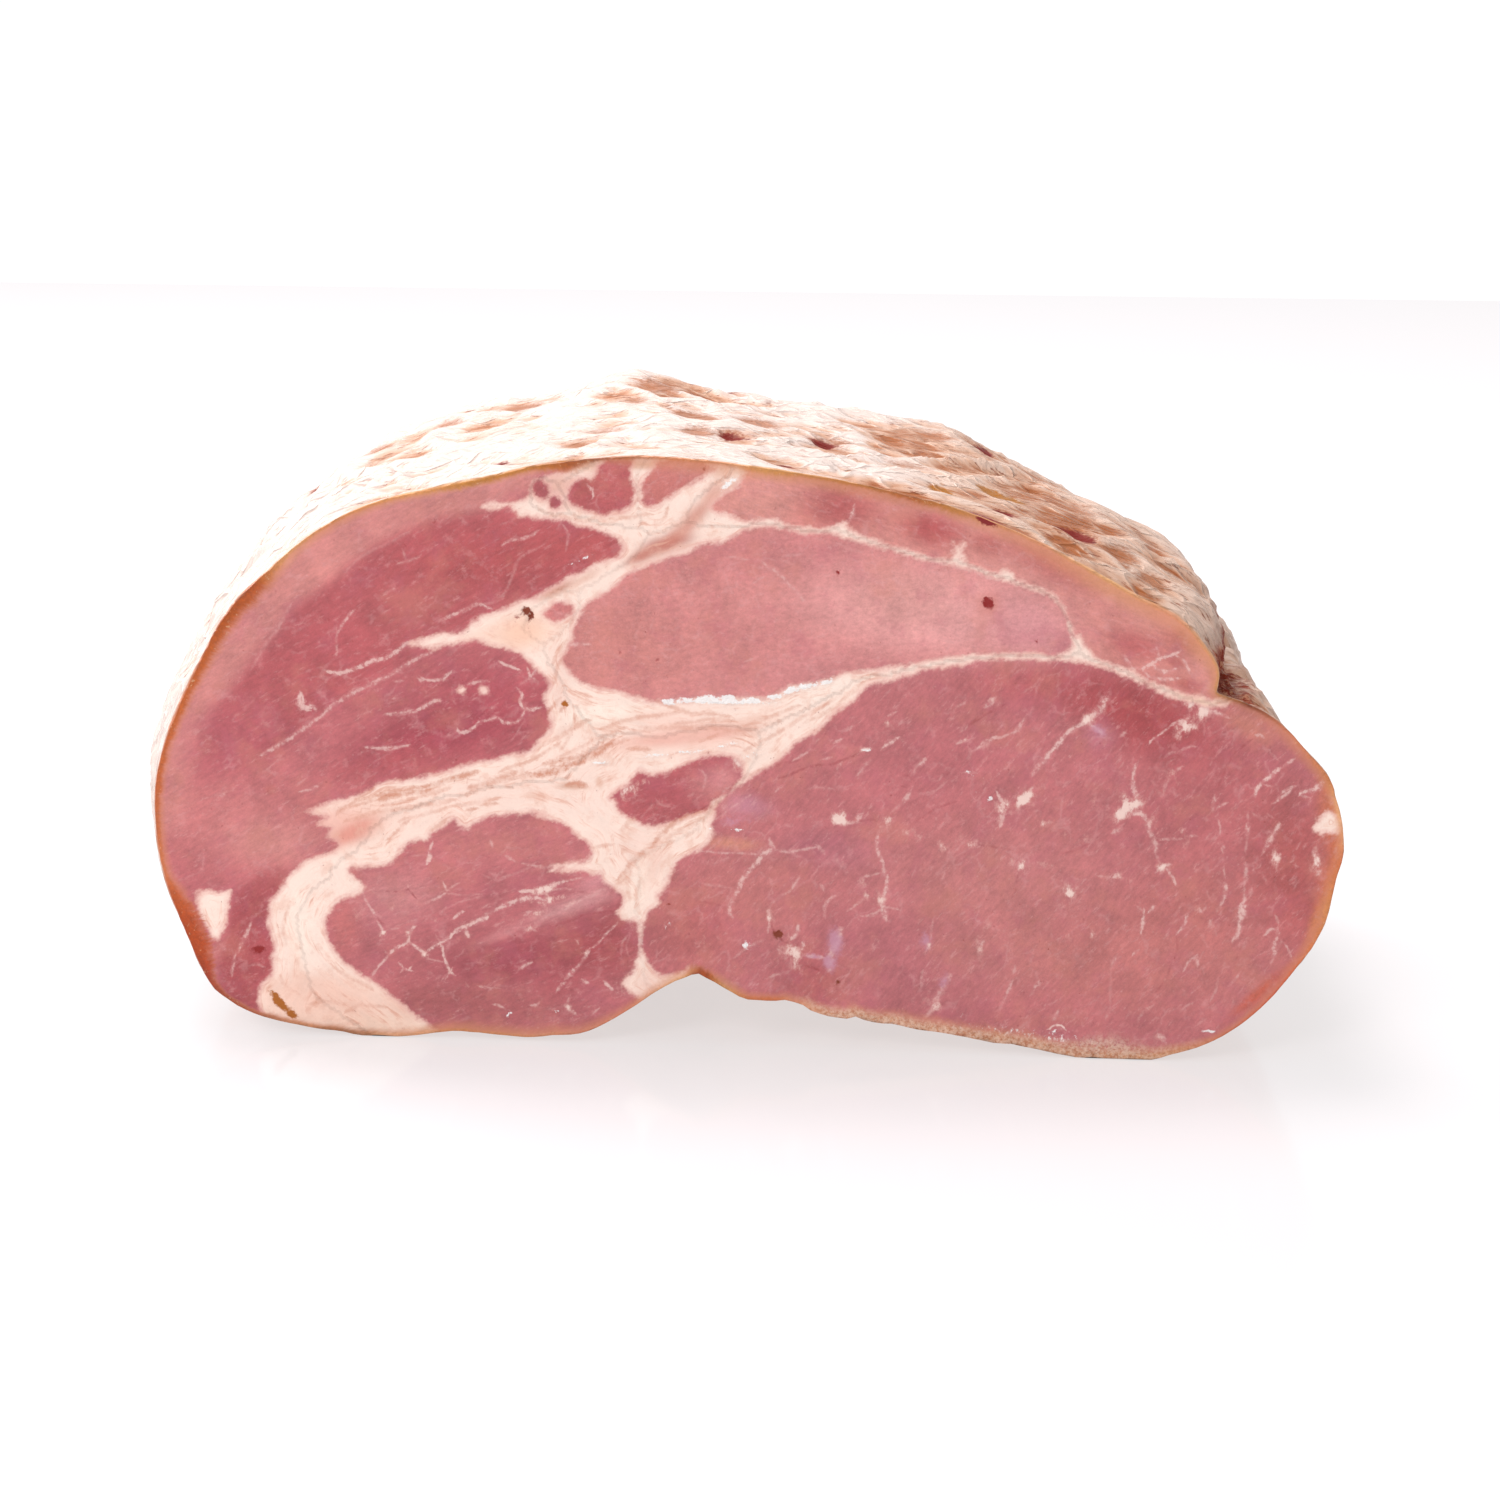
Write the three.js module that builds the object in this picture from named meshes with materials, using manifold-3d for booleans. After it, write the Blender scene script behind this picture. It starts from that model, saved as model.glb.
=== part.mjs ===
// Half of a smoked boneless ham, cut straight across, in millimetres, +Z up.
// It is one solid piece of meat. X runs along the cut face, left to right as the face is looked at,
// Y runs from the cut face into the meat, Z is up, and the piece stands on its own underside.
// The origin is the middle of the bottom of the piece's bounding box.

import * as THREE from "three";
import { mergeVertices } from "three/addons/utils/BufferGeometryUtils.js";
import Module from "manifold-3d";

// ---------------------------------------------------------------- driving dimensions
const LENGTH = 146; // cut face to the rounded far end
const CORE_HEIGHT = 46; // the height that the outline's radii are measured from
const HALF_LEFT = 106.7; // the bare oval: half width on the left
const HALF_RIGHT = 107.9; // ... on the right
const ABOVE = 61.6; // ... above the core
const BELOW = 50.9; // ... below the core
const CORNER_TOP_RIGHT = 1.6; // squareness of each quarter of the oval, 2 is a true ellipse
const CORNER_TOP_LEFT = 3.6;
const CORNER_LOW_LEFT = 3.56;
const CORNER_LOW_RIGHT = 1.82;
const SETTLE = 0.9; // how far the soft underside is pressed flat where it stands
const SETTLE_REACH = 16; // the height up to which the pressing is felt
const CUT_SLANT = 6; // degrees between the cut and a square cut
const FRAME_X = 5.754; // puts the middle of the bounding box on the origin
const FRAME_Y = -LENGTH / 2;

// What makes the oval a ham: swells and hollows on the outline. Where each sits (degrees
// anticlockwise from the right), how far it stands out, how wide it is, how pointed it is.
const LOBES = {
  crown: { at: 122.5, out: 6.6, wide: 30, form: 2 },
  leftShoulder: { at: 147, out: -11.85, wide: 30, form: 2 },
  leftBrow: { at: 142.85, out: 3.35, wide: 9.85, form: 2 },
  leftCheek: { at: 179.5, out: 6.55, wide: 12.3, form: 2 },
  leftHeel: { at: -156.8, out: 5.2, wide: 6.3, form: 2 },
  leftToe: { at: -147.5, out: 2.9, wide: 4.25, form: 2 },
  leftFoot: { at: -139.9, out: -6.45, wide: 14.5, form: 2 },
  hollow: { at: -111.55, out: -12.45, wide: 12.5, form: 2 },
  hollowPeak: { at: -99.8, out: -7.6, wide: 15.55, form: 1.2 },
  hollowStep: { at: -78.55, out: -11.85, wide: 23.75, form: 2 },
  rightFoot: { at: -50.6, out: -3.55, wide: 15.4, form: 2 },
  rightHeel: { at: -30.35, out: 8.45, wide: 10.2, form: 2 },
  rightLowCheek: { at: -19.35, out: 12, wide: 13.6, form: 2 },
  rightCheek: { at: 3.65, out: 1.1, wide: 2.5, form: 2 },
  crease: { at: 15.2, out: -5.65, wide: 2.4, form: 1.3 },
  creaseLip: { at: 24.5, out: 1.35, wide: 3.75, form: 2 },
  rightShoulder: { at: 42.8, out: 3, wide: 22.9, form: 2 },
};

// Swells of the flank and the back behind the cut: direction, distance from the cut, height, spreads.
const SWELLS = {
  leftFlank: { at: 175.7, y: 53, out: 4.2, wide: 25.6, long: 53 },
  leftShoulder: { at: 131.2, y: 93, out: 3.7, wide: 10.1, long: 39 },
  crownRidge: { at: 108.3, y: 93, out: 4.6, wide: 10.6, long: 35 },
  saddle: { at: 93.4, y: 95, out: 0.75, wide: 10, long: 35 },
  rightSlope: { at: 63.8, y: 87, out: 2.3, wide: 15.8, long: 35 },
  knuckle: { at: 27.6, y: 35, out: 5.65, wide: 13.1, long: 51 },
  rightDip: { at: 3.3, y: 49, out: -6.2, wide: 8.3, long: 53.5 },
  rearRight: { at: 53.2, y: 78, out: 1.25, wide: 7, long: 30 },
};

// The far end: where it starts to close, and how full it is.
const END = { from: 66, square: 2.72, full: 2.24, centre: 49.6, taper: 0.0035 };

// The smoked skin was cooked in a net: soft cushions in slanting rows, with finer wrinkles
// that follow the outline and wander.
const NET = { across: 28, along: 26, height: 1.1, fullness: 0.6 };
const WRINKLES = [
  { pitch: 15.5, height: 0.4, sway: 5.0, swayLength: 47, phase: 0.4 },
  { pitch: 9.7, height: 0.22, sway: 3.2, swayLength: 26, phase: 2.1 },
];
const WRINKLE_START = 7; // the skin is drawn tight next to the cut
const CREASE_FADE = { from: 25, to: 125, left: 0.3, climb: 5 }; // the fold in the right flank gets shallower and climbs
const HOLLOW_FADE = { from: 15, to: 120, left: 1.05 }; // the arch under the piece runs right through
const PEAK_FADE = { from: 5, to: 70, left: 0.55 }; // and its peak gets softer away from the cut

// How fine the facets are.
const AROUND = 108;
const UNDERSIDE_SHARE = 0.6; // facets are longer on the underside
const STEP_FLANK = 5.0;
const FLANK_TO = 104;
const STEPS_END = 12;
const WAIST_FOR_END = 0.16; // the last ring's size before the end closes in a point

const COLOUR = 0xc98784; // cured pink of the cut with the tan of the skin
const ROUGHNESS = 0.42;
const METALNESS = 0;

// ---------------------------------------------------------------- the outline of the cut
const rad = (d) => (d * Math.PI) / 180;
const turn = (d) => ((((d + 180) % 360) + 360) % 360) - 180;

function ovalRadius(deg) {
  const c = Math.cos(rad(deg));
  const s = Math.sin(rad(deg));
  const a = c >= 0 ? HALF_RIGHT : HALF_LEFT;
  const b = s >= 0 ? ABOVE : BELOW;
  const n =
    s >= 0
      ? c >= 0
        ? CORNER_TOP_RIGHT
        : CORNER_TOP_LEFT
      : c >= 0
        ? CORNER_LOW_RIGHT
        : CORNER_LOW_LEFT;
  return Math.pow(
    Math.pow(Math.abs(c / a), n) + Math.pow(Math.abs(s / b), n),
    -1 / n,
  );
}

const ease = (y, fade) =>
  1 - (1 - fade.left) * THREE.MathUtils.smoothstep(y, fade.from, fade.to);

function outlineRadius(deg, y = 0) {
  const strength = {
    hollow: ease(y, HOLLOW_FADE),
    hollowStep: ease(y, HOLLOW_FADE),
    hollowPeak: ease(y, PEAK_FADE),
    crease: ease(y, CREASE_FADE),
  };
  const climb =
    CREASE_FADE.climb *
    THREE.MathUtils.smoothstep(y, CREASE_FADE.from, CREASE_FADE.to);
  let r = ovalRadius(deg);
  for (const [name, lobe] of Object.entries(LOBES)) {
    const at = lobe.at + (name === "crease" ? climb : 0);
    r +=
      (strength[name] ?? 1) *
      lobe.out *
      Math.exp(-Math.pow(Math.abs(turn(deg - at) / lobe.wide), lobe.form));
  }
  return r;
}

// ---------------------------------------------------------------- the skin behind it
function swell(deg, y) {
  let out = 0;
  for (const s of Object.values(SWELLS)) {
    const across = Math.exp(-Math.pow(turn(deg - s.at) / s.wide, 2));
    const along =
      Math.exp(-Math.pow((y - s.y) / s.long, 2)) -
      Math.exp(-Math.pow(s.y / s.long, 2)) * Math.exp(-y / 8);
    out += s.out * across * along;
  }
  return out;
}

function netCushion(arc, y) {
  const u = (arc + 3 * Math.sin(y / 21 + 1) + 2 * Math.sin(arc / 37)) / NET.across;
  const v = (y + 2.5 * Math.sin(arc / 29 + 0.5) + 1.5 * Math.sin(y / 17)) / NET.along;
  const q = Math.abs(Math.sin(Math.PI * (u + v)) * Math.sin(Math.PI * (u - v)));
  return NET.height * (Math.pow(q, NET.fullness) - 0.5);
}

function wrinkle(deg, y, arc, height) {
  const awayFromCut = 1 - Math.exp(-Math.pow(y / WRINKLE_START, 2));
  const aboveStand = THREE.MathUtils.smoothstep(height, 4, 16);
  let out = netCushion(arc, y);
  for (const w of WRINKLES)
    out +=
      w.height *
      Math.sin(
        (2 * Math.PI * (y + w.sway * Math.sin(arc / w.swayLength + w.phase))) /
          w.pitch +
          w.phase,
      );
  return out * awayFromCut * aboveStand;
}

function endScale(y) {
  const e = Math.max(0, (y - END.from) / (LENGTH - END.from));
  const closing = Math.pow(
    Math.max(0, 1 - Math.pow(e, END.square)),
    1 / END.full,
  );
  return (1 - (END.taper * y) / 100) * closing;
}

// A point of the surface, before the underside is pressed flat.
function surfacePoint(deg, y, arc) {
  const scale = endScale(y);
  const bare = outlineRadius(deg, y) + swell(deg, y);
  const flatHeight = CORE_HEIGHT + bare * Math.sin(rad(deg));
  const r = bare + wrinkle(deg, y, arc, flatHeight);
  const x = r * Math.cos(rad(deg)) * scale - Math.tan(rad(CUT_SLANT)) * y;
  let z =
    END.centre + (CORE_HEIGHT + r * Math.sin(rad(deg)) - END.centre) * scale;
  z -= SETTLE * THREE.MathUtils.clamp(1 - z / SETTLE_REACH, 0, 1.2);
  return new THREE.Vector3(x + FRAME_X, y + FRAME_Y, z);
}

// Directions spaced evenly along the outline, closer where it bends sharply.
function directions(count) {
  const fine = 2880;
  const length = [0];
  const at = [];
  const point = (i) => {
    const d = -180 + (360 * i) / fine;
    const r = outlineRadius(d);
    return [r * Math.cos(rad(d)), r * Math.sin(rad(d)), d];
  };
  for (let i = 0; i <= fine; i++) at.push(point(i));
  for (let i = 1; i <= fine; i++) {
    const [x0, z0] = at[i - 1];
    const [x1, z1] = at[i];
    const [x2, z2] = at[i === fine ? 1 : i + 1];
    const bend = Math.abs(
      Math.atan2(
        (x1 - x0) * (z2 - z1) - (z1 - z0) * (x2 - x1),
        (x1 - x0) * (x2 - x1) + (z1 - z0) * (z2 - z1),
      ),
    );
    const under = CORE_HEIGHT + z1 < 16 ? UNDERSIDE_SHARE : 1;
    length.push(
      length[i - 1] + under * Math.hypot(x1 - x0, z1 - z0) + 10 * bend,
    );
  }
  const total = length[fine];
  const out = [];
  let i = 0;
  for (let k = 0; k < count; k++) {
    const want = (total * k) / count;
    while (length[i + 1] < want) i++;
    const share = (want - length[i]) / (length[i + 1] - length[i]);
    out.push(at[i][2] + share * (at[i + 1][2] - at[i][2]));
  }
  return out;
}

// Distances from the cut: small steps at the cut, even ones along the flank, and an end
// whose rings shrink evenly down to WAIST_FOR_END of full size.
function stations() {
  const out = [0, 2.2, 5.2];
  for (let y = 9.4; y < FLANK_TO; y += STEP_FLANK) out.push(y);
  const start = endScale(out[out.length - 1] + STEP_FLANK);
  for (let i = 0; i <= STEPS_END; i++) {
    // the angle of a round end goes evenly from where the flank stops to the last ring
    const a0 = Math.acos(start);
    const a1 = Math.acos(WAIST_FOR_END);
    const scale = Math.cos(a0 + ((a1 - a0) * i) / STEPS_END);
    out.push(
      END.from +
        (LENGTH - END.from) *
          Math.pow(1 - Math.pow(scale, END.full), 1 / END.square),
    );
  }
  return out;
}

// ---------------------------------------------------------------- the closed body
function bodyGeometry() {
  const dirs = directions(AROUND);
  const ys = stations();
  let arc = 0;
  const lengths = dirs.map((d, i) => {
    if (i > 0) arc += rad(d - dirs[i - 1]) * outlineRadius(d);
    return arc;
  });
  const whole =
    arc + rad(dirs[0] + 360 - dirs[AROUND - 1]) * outlineRadius(dirs[0]);
  // the wrinkles' pattern starts and ends under the piece, where it doesn't show
  const arcs = dirs.map((d, i) => lengths[i] + (d < -90 ? whole : 0));
  const positions = [];
  const add = (v) => positions.push(v.x, v.y, v.z) / 3 - 1;
  const rings = ys.map((y) => dirs.map((d, i) => add(surfacePoint(d, y, arcs[i]))));
  const faces = [];
  for (let j = 0; j + 1 < rings.length; j++)
    for (let i = 0; i < AROUND; i++) {
      const k = (i + 1) % AROUND;
      const a = rings[j][i];
      const b = rings[j][k];
      const c = rings[j + 1][k];
      const d = rings[j + 1][i];
      if ((i + j) % 2) faces.push(a, c, b, a, d, c);
      else faces.push(a, d, b, b, d, c);
    }
  // the cut is one flat face, closed from a point inside it
  const middle = add(new THREE.Vector3(FRAME_X, FRAME_Y, CORE_HEIGHT));
  const first = rings[0];
  for (let i = 0; i < AROUND; i++)
    faces.push(middle, first[i], first[(i + 1) % AROUND]);
  // the far end closes in a low dome
  const last = rings[rings.length - 1];
  const tip = add(
    new THREE.Vector3(
      FRAME_X - Math.tan(rad(CUT_SLANT)) * LENGTH,
      FRAME_Y + LENGTH,
      END.centre,
    ),
  );
  for (let i = 0; i < AROUND; i++)
    faces.push(tip, last[(i + 1) % AROUND], last[i]);
  const geometry = new THREE.BufferGeometry();
  geometry.setAttribute(
    "position",
    new THREE.Float32BufferAttribute(positions, 3),
  );
  geometry.setIndex(faces);
  return geometry;
}

// ---------------------------------------------------------------- pressed flat where it stands
const wasm = await Module();
wasm.setup();

function solidOf(geometry) {
  const bare = geometry.clone();
  bare.deleteAttribute("normal");
  bare.deleteAttribute("uv");
  const merged = mergeVertices(bare, 1e-4);
  return new wasm.Manifold(
    new wasm.Mesh({
      numProp: 3,
      vertProperties: merged.attributes.position.array,
      triVerts: new Uint32Array(merged.index.array),
    }),
  );
}

function geometryOf(solid) {
  const { vertProperties, triVerts, numProp } = solid.getMesh();
  const positions = new Float32Array((vertProperties.length / numProp) * 3);
  for (let i = 0; i < positions.length / 3; i++)
    positions.set(
      vertProperties.subarray(i * numProp, i * numProp + 3),
      i * 3,
    );
  const indexed = new THREE.BufferGeometry();
  indexed.setAttribute("position", new THREE.BufferAttribute(positions, 3));
  indexed.setIndex(new THREE.BufferAttribute(new Uint32Array(triVerts), 1));
  const flat = indexed.toNonIndexed();
  flat.computeVertexNormals();
  return flat;
}

const belowStand = new THREE.BoxGeometry(400, 400, 60);
belowStand.translate(0, 0, -30);
const pressed = solidOf(bodyGeometry()).subtract(solidOf(belowStand));

const material = new THREE.MeshStandardMaterial({
  color: COLOUR,
  roughness: ROUGHNESS,
  metalness: METALNESS,
});
const hamPiece = new THREE.Mesh(geometryOf(pressed), material);
hamPiece.name = "ham_piece";

const ham = new THREE.Group();
ham.name = "smoked_ham";
ham.add(hamPiece);

export default ham;
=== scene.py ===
import math

import bpy
import numpy as np
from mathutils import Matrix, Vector, noise
from mathutils.geometry import delaunay_2d_cdt


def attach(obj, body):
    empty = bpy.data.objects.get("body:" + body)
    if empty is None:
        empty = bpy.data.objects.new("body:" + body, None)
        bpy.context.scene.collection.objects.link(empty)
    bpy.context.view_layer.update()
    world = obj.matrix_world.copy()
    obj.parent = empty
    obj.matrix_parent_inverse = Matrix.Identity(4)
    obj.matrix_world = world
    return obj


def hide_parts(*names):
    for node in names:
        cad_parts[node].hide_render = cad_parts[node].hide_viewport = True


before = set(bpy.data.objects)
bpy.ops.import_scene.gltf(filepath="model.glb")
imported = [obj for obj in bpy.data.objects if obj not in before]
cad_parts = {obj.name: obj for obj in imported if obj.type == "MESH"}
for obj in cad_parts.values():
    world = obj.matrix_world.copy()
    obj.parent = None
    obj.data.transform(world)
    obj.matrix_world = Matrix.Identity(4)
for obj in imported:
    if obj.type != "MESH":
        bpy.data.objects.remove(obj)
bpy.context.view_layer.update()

# ================================================================ dimensions, in millimetres
LENGTH, CORE_HEIGHT = 146.0, 46.0
HALF_LEFT, HALF_RIGHT, ABOVE, BELOW = 106.7, 107.9, 61.6, 50.9
CORNER_TOP_RIGHT, CORNER_TOP_LEFT, CORNER_LOW_LEFT, CORNER_LOW_RIGHT = 1.6, 3.6, 3.56, 1.82
SETTLE, SETTLE_REACH = 0.9, 16.0
CUT_SLANT = 6.0
FRAME_X, FRAME_Y = 5.754, -LENGTH / 2
# direction in degrees anticlockwise from the right, how far it stands out, how wide, how pointed
LOBES = {
    "crown": (122.5, 6.6, 30, 2), "left_shoulder": (147, -11.85, 30, 2), "left_brow": (142.85, 3.35, 9.85, 2),
    "left_cheek": (179.5, 6.55, 12.3, 2), "left_heel": (-156.8, 5.2, 6.3, 2), "left_toe": (-147.5, 2.9, 4.25, 2),
    "left_foot": (-139.9, -6.45, 14.5, 2), "hollow": (-111.55, -12.45, 12.5, 2), "hollow_peak": (-99.8, -7.6, 15.55, 1.2),
    "hollow_step": (-78.55, -11.85, 23.75, 2), "right_foot": (-50.6, -3.55, 15.4, 2), "right_heel": (-30.35, 8.45, 10.2, 2),
    "right_low_cheek": (-19.35, 12, 13.6, 2), "right_cheek": (3.65, 1.1, 2.5, 2), "crease": (15.2, -5.65, 2.4, 1.3),
    "crease_lip": (24.5, 1.35, 3.75, 2), "right_shoulder": (42.8, 3, 22.9, 2),
}
# direction, distance from the cut, height, spreads
SWELLS = (
    (175.7, 53, 4.2, 25.6, 53), (131.2, 93, 3.7, 10.1, 39), (108.3, 93, 4.6, 10.6, 35), (93.4, 95, 0.75, 10, 35),
    (63.8, 87, 2.3, 15.8, 35), (27.6, 35, 5.65, 13.1, 51), (3.3, 49, -6.2, 8.3, 53.5), (53.2, 78, 1.25, 7, 30),
)
END_FROM, END_SQUARE, END_FULL, END_CENTRE, END_TAPER = 66.0, 2.72, 2.24, 49.6, 0.0035
AROUND = 456  # points round the skin
ROW_FRONT, ROW_BACK = 1.5, 2.1  # rows of the skin, near the cut and at the far end
FACE_STEP = 0.69  # points of the cut
EDGE = 0.45  # rounding of the cut's edge
VEIN_REACH = 1.5  # how far a vein's distance is kept
VEIN_LAYERS, SEAM_LAYERS, THREAD_LAYERS = 7, 2, 3

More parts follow.
